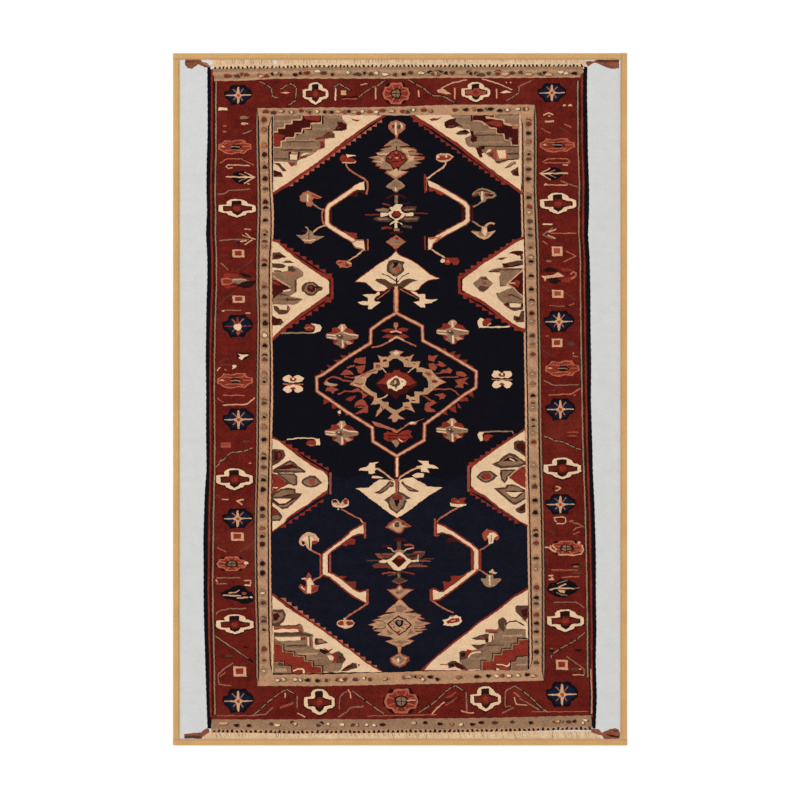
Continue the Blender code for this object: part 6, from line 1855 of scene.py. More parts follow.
            (Ink.BEIGE, (-.6, -76.8, -2.2, -77.7, -4, -79.2, -2.6, -80.9, -.4, -82.8, 1.8, -81.4,
                         3.5, -79.5,
                       1.6, -77.7)),
            (Ink.RUST, .35, (-3.4, -79.2, -2.2, -79.3)),
            (Ink.RUST, .35, (-2.6, -77.9, -1.8, -78.6)),
            (Ink.RUST, .4, (1.4, -79.2, 2.6, -79.4)), (Ink.RUST, .35, (.6, -77.6, 1.4, -78.4)),
            (Ink.BRICK, (-2.2, -81.4, -1, -81.8, .2, -81.4, -.4, -82.7)),
            (Ink.UMBER, .3, (-2.6, -80.4, -1.6, -80)), (Ink.UMBER, .3, (.4, -80.2, 1.6, -80.8)),
        )
        self.spots(Ink.NAVY, (-.3, -78.9, 1.5, 1.3))
        self.spots(Ink.TAUPE, (-.3, -78.7, .7, .8))
        self.batch(
            (Ink.RUST, (0, -89.2, -1.6, -90, -3.7, -91.3, -3.3, -92.5, -2.4, -93.6, -.2, -94.6, 1.8,
                        -93.6,
                        3.3, -92.1, 3.2, -90.7, 1.1, -90)),
            (Ink.BEIGE, (0, -89.7, -1.4, -90.4, -3.1, -91.4, -2.6, -92.6, -1.8, -93.2, -.2, -94,
                         1.4, -93.1,
                         2.2, -92.2, 2.6, -91, 1, -90.5)),
            (Ink.TAUPE, (-2, -91, -.2, -90.1, 1.6, -91.6, 1, -92.8, 0, -93.2, -1, -92.6)),
            (Ink.CREAM, (-1.3, -91.6, -.4, -91.2, -.2, -92.4, -.8, -92.9)),
            (Ink.BRICK, .6, (2, -91.9, 2.9, -92)),
        )

    def bottom_left_spandrel(self) -> None:
        """The lower left corner: a cream ground, a taupe cloud and a stepped red band."""
        self.stairs(Ink.ROSE, -8.2, -95.2, -42.2, -70, 17, False)
        self.batch(
            (Ink.BRICK, (-45, -68.3, -43.3, -69.6, -40, -72.3, -36.8, -74.5, -33.3, -76.6, -30,
                         -78.8, -27.2, -80.7,
                         -25, -82.3, -22.3, -84.3, -20, -86.2, -17.5, -87.8, -15, -89.7, -12.4,
                         -91.8, -10, -93.4,
                         -6, -96.1, -45, -96.3)),
            (Ink.CREAM, (-45, -69.2, -43.3, -70.5, -40, -73.2, -36.8, -75.4, -33.3, -77.5, -30,
                         -79.7, -27.2, -81.6,
                         -25, -83.2, -22.3, -85.1, -20, -87, -17.5, -88.6, -15, -90.5, -12.4, -92.6,
                         -10, -94.2,
                         -7.6, -95.6, -6.4, -96.1, -45, -96.3)),
            (Ink.UMBER, (-45, -74, -41.2, -74, -40.2, -75.9, -40.8, -78.1, -42.5, -79.7, -45,
                         -79.9)),
            (Ink.TAUPE, (-45, -74.6, -43.6, -75, -41.4, -75.2, -41, -76.6, -42.4, -78.4, -45, -79)),
            (Ink.MAROON, (-44.8, -75.6, -43, -75.3, -42.4, -76.4, -43.4, -78, -44.6, -78)),
            (Ink.TAUPE, (-44.6, -79.9, -36.3, -79.7, -35.5, -78.9, -34.4, -79.7, -33.9, -81.8,
                         -31.7, -82.5,
                         -30.5, -82.9, -30.7, -84.3, -30.1, -88, -27.7, -88, -24.5, -89.6, -21.8,
                         -88.7,
                         -20.2, -89.6, -19.1, -91.8, -20.2, -93.1, -20.6, -94.8, -21.8, -96, -44.8,
                         -96.4)),
            (Ink.UMBER, .5, (-44.4, -79.9, -36.4, -79.8, -35.4, -79.1)),
            (Ink.RUST, (-44.5, -80.3, -36, -80, -34.8, -80.4, -34.2, -82, -35.2, -81.9, -36, -80.9,
                        -41, -81.2,
                        -44.4, -81.2)),
            (Ink.CREAM, (-44.5, -81.3, -41.4, -80.9, -36, -81, -35.8, -82, -44.4, -82.1)),
            (Ink.UMBER, (-44.4, -82.3, -36, -82.1, -35, -81.4, -34, -82.4, -30.8, -82.8, -31.4,
                         -83.5, -35, -83.3,
                         -44.4, -83.5)),
            (Ink.CREAM, (-44.5, -83.9, -35, -83.7, -35.2, -84.9, -42.5, -85.2, -43.8, -84.5)),
            (Ink.BRICK, (-35, -83.8, -33.4, -83.8, -33.3, -84.8, -35, -84.9)),
            (Ink.CREAM, .6, (-32.4, -83.8, -32.3, -86.8)),
            (Ink.BRICK, .4, (-31.5, -84.3, -31.5, -87)),
            (Ink.CREAM, .6, (-30.6, -83.6, -30.3, -87.6)), (Ink.SAND, .4, (-42, -86, -34, -86)),
            (Ink.SAND, .45, (-40, -87.9, -33, -88)), (Ink.BEIGE, .6, (-36, -89.8, -29, -89.6)),
            (Ink.SAND, .4, (-31, -91.4, -27, -91.2)), (Ink.UMBER, .5, (-40, -86.9, -33, -86.8)),
            (Ink.CREAM, (-30.1, -84, -27.4, -84, -25, -86, -24.4, -87.4, -27, -87.4, -30, -87.4)),
            (Ink.UMBER, (-30, -84.2, -27.7, -84.3, -25.4, -85.9, -27, -86.2, -29.8, -86.6)),
            (Ink.MAROON, (-30.1, -84.3, -29.2, -84.4, -29.6, -85.8, -30.2, -86.3)),
            (Ink.TAUPE, (-28.8, -84.6, -27.2, -84.9, -26.4, -85.7, -28.6, -85.9)),
            (Ink.SOOT, (-28.2, -87.9, -26.4, -88.2, -25, -89.2, -26.6, -89.9, -28.4, -88.9)),
            (Ink.BRICK, (-27.2, -87.6, -26, -87.8, -25.2, -88.4, -23.5, -87.7, -24.8, -89.4)),
            (Ink.CREAM, (-25, -88.9, -23.2, -87.9, -21.8, -88.6, -24, -89.5)),
            (Ink.UMBER, (-22.8, -89.2, -21.6, -88.8, -20.3, -89.7, -19, -91.8, -20.2, -93, -22.8,
                         -93)),
            (Ink.BRICK, (-24.3, -89.7, -22.6, -89.3, -22, -90.8, -22.4, -92.4, -24, -93.2, -23.4,
                         -91.6)),
            (Ink.MAROON, .5, (-21.6, -90.6, -20.6, -91.2)),
            (Ink.CREAM, (-25.8, -90.3, -24, -90.2, -23.3, -91, -23.6, -92, -24.8, -91.9)),
            (Ink.UMBER, (-21.2, -95.9, -19.1, -94.2, -16.7, -92.8, -15.3, -93.1, -15.1, -94.6, -19,
                         -95.8)),
            (Ink.MAROON, (-20.4, -95.5, -19, -94.3, -17, -93.6, -16.6, -94.2, -18.8, -95.1)),
            (Ink.BRICK, (-15, -93.4, -14, -93.4, -14.6, -94.2)),
            (Ink.SOOT, (-44.4, -84.6, -43.4, -85.9, -40.8, -86.3, -40.7, -88.5, -37, -88.8, -36.9,
                        -90, -33.2, -90.1,
                        -33.1, -91.9, -30.4, -92, -30.3, -93.7, -27, -93.8, -27, -96.5, -44.4,
                        -96.5)),
            (Ink.SAND, (-44.4, -84.9, -43.6, -86, -41.2, -86.4, -41.1, -88.8, -37.4, -89.1, -37.3,
                        -90.2,
                        -33.6, -90.4, -33.5, -92.1, -30.8, -92.3, -30.7, -94, -27.5, -94.1, -27.5,
                        -96.5,
                        -44.4, -96.5)),
            (Ink.BRICK, (-44.4, -84.8, -43.9, -86.2, -41.6, -86.8, -41.5, -89.1, -37.8, -89.4,
                         -37.6, -90.6,
                         -33.9, -90.8, -33.8, -92.3, -31.2, -92.5, -31.1, -94.2, -27.9, -94.4,
                         -27.8, -96.4,
                         -38.4, -96.5, -38.5, -93.8, -40.6, -93.5, -41, -92.3, -44.4, -92.1)),
            (Ink.SOOT, .35, (-44.4, -92.3, -40.9, -92.3, -40.7, -93.8, -38.3, -93.9, -38.2, -96.5)),
            (Ink.TAUPE, (-44.4, -92.6, -41.2, -92.6, -41, -94, -38.6, -94.2, -38.5, -96.5, -44.4,
                         -96.5)),
            (Ink.UMBER, (-43.4, -93.6, -42.6, -92.6, -41.2, -93, -41, -94, -42.4, -94)),
            (Ink.BRICK, .35, (-43.2, -93.2, -42.6, -92.6)),
            (Ink.BEIGE, (-44, -94.8, -40, -94.8, -40, -96, -44, -96)),
            (Ink.CREAM, (-37.6, -95.6, -36.8, -95.1, -36, -94.8, -34.4, -94.8, -33.6, -95.4, -33.6,
                         -96.6,
                         -38, -96.6)),
            (Ink.BRICK, (-37.8, -96, -36.6, -95.4, -35.4, -95.2, -34.3, -95.3, -34.3, -96.6, -38,
                         -96.6)),
        )

    def bottom_right_spandrel(self) -> None:
        """The lower right corner, mirrored but not alike."""
        self.stairs(Ink.ROSE, 44, -67.4, 8.2, -94.6, 18, False)
        self.batch(
            (Ink.BRICK, (45, -66.2, 42.2, -68, 40.1, -69.1, 36.7, -71.9, 33.5, -74.4, 30, -76.7,
                         26.8, -78.9,
                         23.6, -81.8, 20, -84.4, 16.5, -87.3, 13.3, -89.8, 10.7, -92.1, 8, -94.6, 7,
                         -95.6,
                         45, -95.6)),
            (Ink.CREAM, (45, -67, 42.2, -68.8, 40.1, -69.9, 36.7, -72.7, 33.5, -75.2, 30, -77.5,
                         26.8, -79.7,
                         23.6, -82.6, 20, -85.2, 16.5, -88.1, 13.3, -90.6, 10.7, -92.9, 8.6, -95.4,
                         45, -95.6)),
            (Ink.UMBER, (40.6, -73, 41.4, -72.6, 45, -72.6, 44.9, -77.2, 44.1, -78.1, 42.8, -76.8,
                         40.7, -74.9)),
            (Ink.MAROON, (42.6, -74.2, 44.8, -73.6, 44.8, -76.8, 43.4, -76.6, 42.8, -75.4)),
            (Ink.RUST, .4, (43, -77.4, 44.6, -78.4)),
            (Ink.TAUPE, (34.8, -77.5, 36.1, -77, 37.3, -77.8, 38, -79, 37.3, -80.8, 44.2, -80.9,
                         44.3, -84.5,
                         41.5, -84.8, 41.4, -86, 39.1, -86.3, 39, -87.7, 35.7, -88.1, 35.6, -89.5,
                         32.7, -89.7,
                         32.5, -91.9, 28.7, -92.2, 28.5, -95.2, 23.6, -95.2, 20.9, -92.4, 21, -90.8,
                         22, -89,
                         24.2, -88.8, 27.4, -88.4, 28.4, -87.4, 29.8, -86.2, 31, -85.6, 33, -84.8,
                         33, -82,
                         34.6, -80.6)),
            (Ink.UMBER, (34.6, -79.7, 34.5, -77.8, 36.1, -76.7, 37.6, -77.9, 37.4, -78.6, 36.6, -79,
                         37, -80.6,
                         36.6, -82, 35.4, -81)),
            (Ink.MAROON, .45, (36.8, -79.3, 38.6, -78.4, 41, -78.1, 43.8, -79.8)),
            (Ink.CREAM, (37.3, -80.5, 37.7, -79.4, 39.3, -78.8, 41.5, -78.8, 44, -80.4, 44.1, -80.9,
                         37.4, -80.8)),
            (Ink.RUST, (30, -81, 34.6, -81.1, 34.4, -82, 32.6, -82.6, 31.6, -82, 30, -82.2)),
            (Ink.UMBER, .5, (31.2, -82.2, 34.4, -82.1)), (Ink.BEIGE, .6, (36, -83.4, 43, -83.2)),
            (Ink.SAND, .4, (35, -85.4, 40, -85.2)), (Ink.SAND, .4, (31.4, -88.4, 35, -88.3)),
            (Ink.SAND, .4, (25, -91.4, 30, -91.2)), (Ink.UMBER, .4, (30.6, -86.7, 36.4, -86.6)),
            (Ink.UMBER, (25.2, -84.2, 28.1, -83.2, 30, -82.6, 31.3, -82.6, 31, -85.6, 29.7, -84.8,
                         26.4, -84.7)),
            (Ink.MAROON, (30, -84.2, 31.2, -84.2, 31, -85.7, 30, -85.6)),
            (Ink.RUST, .35, (28, -83.6, 29.8, -84.2)), (Ink.CREAM, .6, (31.6, -82.6, 31.6, -85.5)),
            (Ink.BRICK, .45, (32.5, -83.2, 32.6, -85)),
            (Ink.CREAM, (25.4, -85.3, 29.8, -85.2, 29.6, -86, 25, -86)),
            (Ink.UMBER, (25, -86.4, 28.1, -86.4, 30, -86.1, 29.6, -87, 27.6, -88.2, 25.9, -87.4)),
            (Ink.RUST, .35, (27.6, -88, 25.6, -88.7, 23.6, -88.3)),
            (Ink.UMBER, (20.8, -89.3, 21.6, -88.5, 23.4, -88.6, 24.2, -90, 23.8, -91.2, 21, -92)),
            (Ink.SOOT, (21.4, -89.5, 23, -89.2, 23, -90.4, 21.6, -90.8)),
            (Ink.BRICK, (23.2, -88.9, 23.6, -88, 24.8, -88.4, 25.2, -89, 24, -90.2, 23.8, -91.4,
                         23.2, -91)),
            (Ink.CREAM, .5, (24, -91, 24.8, -89.7, 26.4, -89.2, 28.4, -89.1)),
            (Ink.UMBER, (16.5, -93.2, 17.8, -92.2, 19.7, -92.2, 22, -93.5, 24.2, -95.4, 21.6, -95.4,
                         19.4, -94.2,
                         17.2, -94.9)),
            (Ink.MAROON, (19, -92.8, 20.6, -92.8, 23.4, -95.2, 21.8, -95.2, 19.6, -94)),
            (Ink.SOOT, (17.4, -93.2, 18.8, -93, 18.8, -94, 17.6, -94.4)),
            (Ink.RUST, .4, (14.2, -93.5, 17, -93.4)),
            (Ink.SOOT, (41.2, -84, 41.3, -85.8, 39, -86, 38.9, -87.6, 35.5, -87.8, 35.4, -89.4,
                        32.4, -89.4,
                        32.3, -91.8, 28.3, -91.8, 28.2, -95.6, 45, -95.6, 45, -84)),
            (Ink.SAND, (41.6, -84.4, 41.6, -86.1, 39.3, -86.3, 39.2, -87.9, 35.8, -88.1, 35.7,
                        -89.7, 32.7, -89.8,
                        32.6, -92, 28.7, -92.1, 28.6, -95.6, 45, -95.6, 45, -84.5)),
            (Ink.BRICK, (42, -84.9, 41.9, -86.4, 39.7, -86.6, 39.6, -88.1, 36.2, -88.4, 36, -90,
                         33.1, -90.2,
                         33, -92.2, 29.1, -92.4, 29, -95.4, 38.8, -95.4, 38.9, -92.4, 40.6, -92.2,
                         41, -90.7,
                         45, -90.6, 45, -84.8)),
            (Ink.SOOT, .35, (38.8, -95.4, 39, -92.3, 40.7, -92.1, 41.1, -90.6, 45, -90.4)),
            (Ink.TAUPE, (39.2, -95.5, 39.3, -92.5, 40.9, -92.3, 41.4, -90.9, 45, -90.8, 45, -95.5)),
            (Ink.BEIGE, .6, (41, -93.6, 44.6, -93.4)), (Ink.SAND, .35, (41.8, -91.4, 44.6, -91.3)),
            (Ink.CREAM, .4, (34, -93.4, 36, -93.5, 37.6, -94.1, 38.5, -93.6, 38.5, -92.9)),
            (Ink.CREAM, (34, -94.6, 35, -95, 34.8, -95.5, 34, -95.5)),
            (Ink.RUST, .4, (34.8, -94.6, 37.8, -94.8)),
        )

    def build(self) -> None:
        """Draws the field, from its corners inwards."""
        self.top_left_spandrel()
        self.top_right_spandrel()
        self.bottom_left_spandrel()
        self.bottom_right_spandrel()
        self.upper_left_pendant()
        self.upper_right_pendant()
        self.lower_left_pendant()
        self.lower_right_pendant()
        self.top_left_arm()
        self.top_right_arm()
        self.top_column()
        self.upper_palmette()
        self.lower_palmette()
        self.scrolls()
        for x, y in ((-20.3, 22.2), (18.6, 23.7)):
            self.side_cross(x, y, 5.8, 4.3)
        self.side_cross(-20.5, -11.9, 6, 4.3)
        self.side_cross(18.4, -10.9, 5.7, 4.2)
        self.medallion()
        self.lower_brackets()
        self.lower_column()


@dataclass
class Borders(Field):
    """What is scattered along the red borders: rosettes, leaves, squares, stalks and marks."""

    stalk_width: float = 0.8
    core_width: float = 0.36
    worn_width: float = 0.3

    def stalk(self, *xy: float) -> None:
        """A dark stalk with a sand core.

        Each piece of it is cut in three. The core fills the first two parts, and a duller, worn
        core the first six tenths of the last.
        """
        path = path_of(xy)
        self.art.shape(Ink.SOOT, stroke(path, self.stalk_width))
        steps = np.linspace(path[:-1], path[1:], 4, axis=1)
        for first, second, third, last in steps:
            self.art.shape(Ink.SAND, stroke(np.array([first, second, third]), self.core_width))
            worn = np.array([third, third * 0.4 + last * 0.6])
            self.art.shape(Ink.TAUPE, stroke(worn, self.worn_width))

    def left_upper(self) -> None:
        """The left border above the rug's middle."""
        motifs = Motifs(self.art)
        self.art.box(Ink.CREAM, -64, 101.8, -60.9, 102.8)
        self.spots(Ink.TAUPE, (-55, 99.3, 1.6, .6))
        self.spots(Ink.TAN, (-54.9, 97.1, 1.3, .45), (-53.4, 75.9, .5, .2))
        self.spots(Ink.ROSE, (-61.8, 96.3, .6, .3), (-61.8, 94.3, .8, .3))
        self.stalk(-55.4, 93.6, -51.5, 94.9)
        motifs.flower(-58.2, 88.9, 5.9, 2.6)
        self.batch(
            (Ink.ROSE, .3, (-63.5, 83.2, -61.5, 84.5, -60.5, 84.8, -56, 84.7, -54.5, 83.9, -51.5,
                            82.5)),
            (Ink.TAN, .4, (-59, 81.6, -60.5, 81.3, -61.3, 82, -60.6, 82.6, -53.6, 82.4, -53, 82.2)),
            (Ink.TAUPE, .4, (-64.4, 72.3, -62, 72.4, -60.4, 73.6, -56, 73.8, -52.8, 74.1)),
            (Ink.TAN, .35, (-54.8, 59.9, -52.6, 59.9)),
            (Ink.TAUPE, .4, (-63.6, 56, -60, 56.3, -53.4, 56.3)),
            (Ink.TAN, .4, (-54.6, 58.6, -52.4, 56.8, -50.9, 56.4)),
            (Ink.TAN, .3, (-55.6, 57.9, -53, 56.8)),
            (Ink.TAN, .5, (-56.4, 55.6, -54, 56)),
            (Ink.TAN, .4, (-54.8, 54.4, -52, 56.2)),
            (Ink.UMBER, .3, (-63, 50.4, -60.5, 50.8)),
            (Ink.TAUPE, .4, (-63.2, 48, -62, 47, -60.6, 45.6)),
            (Ink.UMBER, .35, (-52, 49.2, -54, 47.6, -56, 46.4, -57.4, 45)))
        self.spots(Ink.BLUE, (-57, 55.2, .9, .35))
        motifs.leaf(-56.3, 78.3, 5.2, 2.4)
        motifs.cross(-57.4, 67.3, 6.6, 3.2)
        motifs.frame(-57, 51.4, 2.1, 1.4)
        self.batch(
            (Ink.BRICK, (-62, 44.2, -60.5, 44.4, -57.5, 44, -56, 43.4, -59, 42.8, -62, 43.2)),
            (Ink.ROSE, (-63.2, 42.4, -61.5, 42.9, -59, 42.4, -58.6, 41, -60.4, 40.4, -62.8, 40.2)),
            (Ink.BRICK, (-62.6, 42, -61.4, 42.4, -59.5, 42, -59.2, 41.2, -60.4, 40.8, -62.3, 40.7)),
            (Ink.BRICK, (-62, 40.1, -60.2, 40.2, -57, 39.9, -59.6, 39.1, -61.6, 39.1)),
            (Ink.SOOT, (-57.4, 44.5, -55, 44.4, -52.4, 43.4, -52.6, 42.8, -54.6, 42.9, -56, 43.9)),
            (Ink.SOOT, (-56.4, 40.8, -54, 41.6, -51, 41.9, -51, 40.9, -52.6, 39.4, -54.8, 39, -56.6,
                        39.8,
                        -58.6, 38.8)),
            (Ink.TAUPE, (-60, 42.4, -56, 42.8, -53, 42, -55.6, 41.3, -57, 40.6, -59, 41.3)),
            (Ink.TAN, .3, (-59, 42.1, -56.4, 42.3, -54.2, 42)),
            (Ink.UMBER, .35, (-63.9, 33.2, -63.4, 34, -61, 36, -58, 38)),
            (Ink.TAUPE, .35, (-62.8, 31, -61.4, 31.4, -56, 31.3)),
            (Ink.TAN, .4, (-54.4, 30.4, -52.8, 30.4)))
        self.spots(Ink.CREAM, (-62.4, 31.1, .6, .2))
        motifs.frame(-56.9, 35.3, 2.2, 1.3)
        motifs.star(-57.2, 25.8, 5.2, 3.9, Ink.BRICK)
        self.spots(Ink.CREAM, (-57.2, 25.5, 1.4, 1.3))
        self.spots(Ink.RUST, (-57, 23.5, .7, .8))
        self.batch(
            (Ink.BRICK, (-59.2, 26.8, -55.8, 27.6, -57.2, 26.4)),
            (Ink.SOOT, (-57.8, 16.6, -53, 16.2, -53.2, 15, -55.6, 13.3, -57.4, 14.5)),
            (Ink.CREAM, (-57.2, 16.2, -56, 15.8, -53.4, 15.8, -53.6, 15.3, -54.8, 14.9, -55.8, 13.8,
                         -56.9, 14.6,
                         -56.2, 15.2)),
            (Ink.UMBER, .3, (-64, 12.8, -62, 14, -61, 14.2, -60, 13.4)),
            (Ink.UMBER, .3, (-64, 12, -58.4, 12.2, -57.5, 12.4)),
            (Ink.CREAM, (-59.2, 11.9, -58, 12.1, -57.5, 11.6, -58.4, 10.9, -59.2, 10.5, -58.9,
                         11.3)),
            (Ink.TAN, .3, (-64.4, 10, -64, 10.9, -63.3, 11.3)),
            (Ink.ROSE, .35, (-62.4, 1.4, -54.8, 1.4)))
        self.spots(Ink.ROSE, (-61.5, 10.4, .5, .3))
        motifs.flower(-58.2, 6.5, 6.4, 2.8, Ink.SOOT)

    def left_lower(self) -> None:
        """The left border below the rug's middle."""
        motifs = Motifs(self.art)
        self.art.box(Ink.RUST, -63.2, -17, -59.7, -15.2)
        self.batch(
            (Ink.ROSE, .3, (-64.4, .4, -62.2, -1.1)),
            (Ink.TAN, .45, (-62.5, -2, -54.6, -1.8, -53.4, -1.3, -51.2, .6)),
            (Ink.ROSE, .25, (-63.2, -16.8, -59.7, -16.8)),
            (Ink.TAN, .3, (-64, -22.6, -62.8, -21.2)),
            (Ink.UMBER, .35, (-65, -33.3, -63.5, -34.6, -62.6, -35.2)),
            (Ink.TAN, .35, (-62.8, -35.3, -60.4, -35.3)),
            (Ink.TAN, .5, (-57.7, -35.8, -55, -35.3)),
            (Ink.TAN, .4, (-57.3, -36, -55.5, -37.1)),
            (Ink.ROSE, .35, (-64.5, -52.2, -61.3, -53.7)),
            (Ink.UMBER, .4, (-56.5, -53.8, -55, -52.9, -53, -51.4, -51.7, -50.4)),
            (Ink.TAUPE, .4, (-64.7, -62.9, -56.3, -62.9)),
            (Ink.TAN, .4, (-65, -63.5, -64.3, -64.4)),
            (Ink.ROSE, .3, (-64.9, -65, -61, -65)),
            (Ink.TAN, .4, (-55, -63.8, -52.6, -63.8, -52.7, -65.3)),
            (Ink.CREAM, .5, (-54.8, -65.5, -52.7, -65.5)),
            (Ink.TAUPE, .4, (-64.8, -76, -64.4, -75, -63, -74.3, -60, -73.8, -54.2, -73.7)),
            (Ink.TAUPE, .4, (-58.9, -93, -62, -95, -63.8, -96.6, -64.2, -97.5, -64, -99.5, -63.6,
                             -100.5,
                             -59.6, -100.9)),
            (Ink.ROSE, .3, (-63.5, -97.8, -61.5, -96.2)))
        self.stalk(-65, -24, -63, -22, -61, -20, -59.8, -18.8, -58, -18.6, -55, -18.4, -53, -17.5,
                   -51.7, -17)
        self.stalk(-65, -83.5, -51.8, -92.5)
        self.spots(Ink.UMBER, (-54.3, -14.8, 1.5, .35), (-60.3, -90.4, 1.6, .4))
        self.spots(Ink.SOOT, (-54.5, -87.3, .9, .35))
        self.spots(Ink.TAN, (-52.8, -22.5, .5, .2))
        motifs.star(-56.9, -7.1, 5.4, 3.8)
        motifs.cross(-58.3, -28.2, 6.5, 3.85)
        motifs.star(-57.2, -42, 5.3, 3.4)
        motifs.frame(-57.4, -48.3, 2.3, 1.5)
        motifs.rosette(-59.3, -58, 5.5, 2.6)
        self.spots(Ink.CREAM, (-54.2, -57.7, .8, .5))
        self.batch(
            (Ink.NAVY, (-63.2, -68.4, -62, -67.6, -60, -66.6, -58.5, -65.8, -56.5, -65.5, -54.5,
                        -66, -53.8, -67.5,
                        -52.3, -68, -51.4, -69.5, -51.6, -71, -53.5, -72, -55.8, -72, -57.5, -71.2,
                        -60, -70.6,
                        -62, -70.2, -62.4, -69.2)),
            (Ink.TAN, .5, (-62.4, -69, -56, -69.3)),
            (Ink.TAN, .4, (-60.5, -68.2, -58, -68, -56.6, -67.2)),
            (Ink.TAN, .5, (-57.5, -70, -53.5, -69.8)))
        self.spots(Ink.RUST, (-55, -68.4, .9, .5))
        self.spots(Ink.CREAM, (-52.5, -69.7, .5, .3))
        motifs.cross(-58.2, -79.3, 6.6, 3.5)
        motifs.frame(-56.5, -95.9, 2.3, 1.8)

    def right_upper(self) -> None:
        """The right border above the rug's middle."""
        motifs = Motifs(self.art)
        self.spots(Ink.TAN, (57.9, 103.6, .6, .35), (59.9, 103.6, .8, .4), (52.6, 99.8, .5, .2),
                   (51.3, 75.7, .7, .4), (61, 16.2, .3, .2))
        self.batch(
            (Ink.TAN, .5, (50.4, 100, 52.2, 100.9, 54, 100.3)),
            (Ink.TAN, .6, (51, 97.8, 54.2, 98)),
            (Ink.ROSE, .35, (57.9, 97, 60.3, 95.8)),
            (Ink.UMBER, .35, (56.3, 95.7, 58, 94.8, 59.5, 94)),
            (Ink.ROSE, .25, (49.8, 95.5, 51, 94.6, 53.2, 93.7)),
            (Ink.ROSE, .35, (50.2, 83.5, 51.5, 84.5, 53, 84.8, 58.5, 84.8, 59.8, 84, 59.4, 83.3, 51,
                             83.3)),
            (Ink.TAN, .4, (57.3, 82.7, 59.2, 82.5)),
            (Ink.TAUPE, .35, (56.5, 77, 60, 75.6, 62.5, 74.8)),
            (Ink.TAN, .3, (52, 75.5, 59, 75.5)),
            (Ink.CREAM, .4, (50.3, 61.7, 53.6, 61.7)),
            (Ink.TAUPE, .4, (50.2, 57.9, 53.9, 60.5)),
            (Ink.TAN, .5, (52.3, 58.9, 55, 60)),
            (Ink.ROSE, .35, (53, 58.5, 62, 58.5)),
            (Ink.TAUPE, .35, (50.6, 57.8, 53.6, 56.5)),
            (Ink.TAN, .5, (52, 57.9, 54.8, 56.6)),
            (Ink.ROSE, .3, (50, 55.9, 52, 54.6)),
            (Ink.ROSE, .35, (58.5, 52.2, 61.9, 50.5, 57.5, 48.4)),
            (Ink.SOOT, .4, (50.4, 50, 52, 49.2)))
        motifs.flower(55.4, 89.5, 6.3, 2.55)
        motifs.leaf(54.3, 79.6, -5, 2.4)
        motifs.cross(55.7, 69, 6.4, 3.75)
        motifs.frame(55.3, 52.2, 1.9, 1.7, Ink.RUST)
        self.spots(Ink.TAUPE, (52.3, 48.7, 1, .4))
        self.batch(
            (Ink.SOOT, (50.4, 45.4, 52, 46.6, 54, 46.3, 56, 45.5, 55, 44.9, 51.5, 44.7)),
            (Ink.BRICK, (56.5, 46.3, 58.5, 46.2, 60.9, 45.8, 61, 45.2, 57, 45)),
            (Ink.SOOT, (52, 42.4, 55, 43, 56.6, 41.6, 55, 40.6, 53, 40.8)),
            (Ink.TAN, (49.7, 43.5, 51, 43.4, 54, 43.9, 55.6, 44.8, 57, 44, 58, 43.3, 54, 42.9, 51.5,
                       42.5,
                       51, 41.4, 50.7, 42.5)),
            (Ink.ROSE, .6, (60, 44, 61, 44.9, 62, 44.4, 61.8, 43.4, 60.2, 42.3)),
            (Ink.BRICK, (57, 42.6, 60, 43, 60, 41.2, 56.6, 41.3)),
            (Ink.UMBER, .4, (50.5, 39.6, 52.6, 38.2)),
            (Ink.UMBER, .3, (57.8, 37.6, 61.8, 35.2)),
            (Ink.TAUPE, .25, (52.6, 33, 58, 32.7)),
            (Ink.SOOT, .4, (58, 33, 59.7, 32.4)),
            (Ink.ROSE, .35, (59.5, 33, 61.4, 33.8)),
            (Ink.UMBER, .35, (50, 17.6, 51.5, 16.3, 53.8, 15.1)),
            (Ink.TAUPE, .4, (60.8, 15.2, 62.7, 15)),
            (Ink.TAUPE, .35, (50.6, 6.6, 53.4, 5.2, 54.5, 4.9, 63, 5.2)),
            (Ink.UMBER, .35, (53.7, 2.9, 55, 4, 57, 4.2)),
            (Ink.ROSE, .45, (52.3, 1.5, 60.4, 1.9, 63.4, 3.8)))
        motifs.frame(55.5, 37.2, 2, 1.4, Ink.RUST)
        motifs.star(56, 27.4, 5.2, 3.7)
        self.spots(Ink.ROSE, (51.9, 22.3, .5, .2), (61.5, 1.4, .4, .25))
        motifs.frame(55.3, 19.9, 1.9, 1.5)
        self.spots(Ink.UMBER, (60, 19.5, 1.5, .7))
        motifs.flower(57.2, 10.8, 6.1, 2.9, Ink.SOOT)
        motifs.star(56.5, -3.5, 5.1, 3.8)

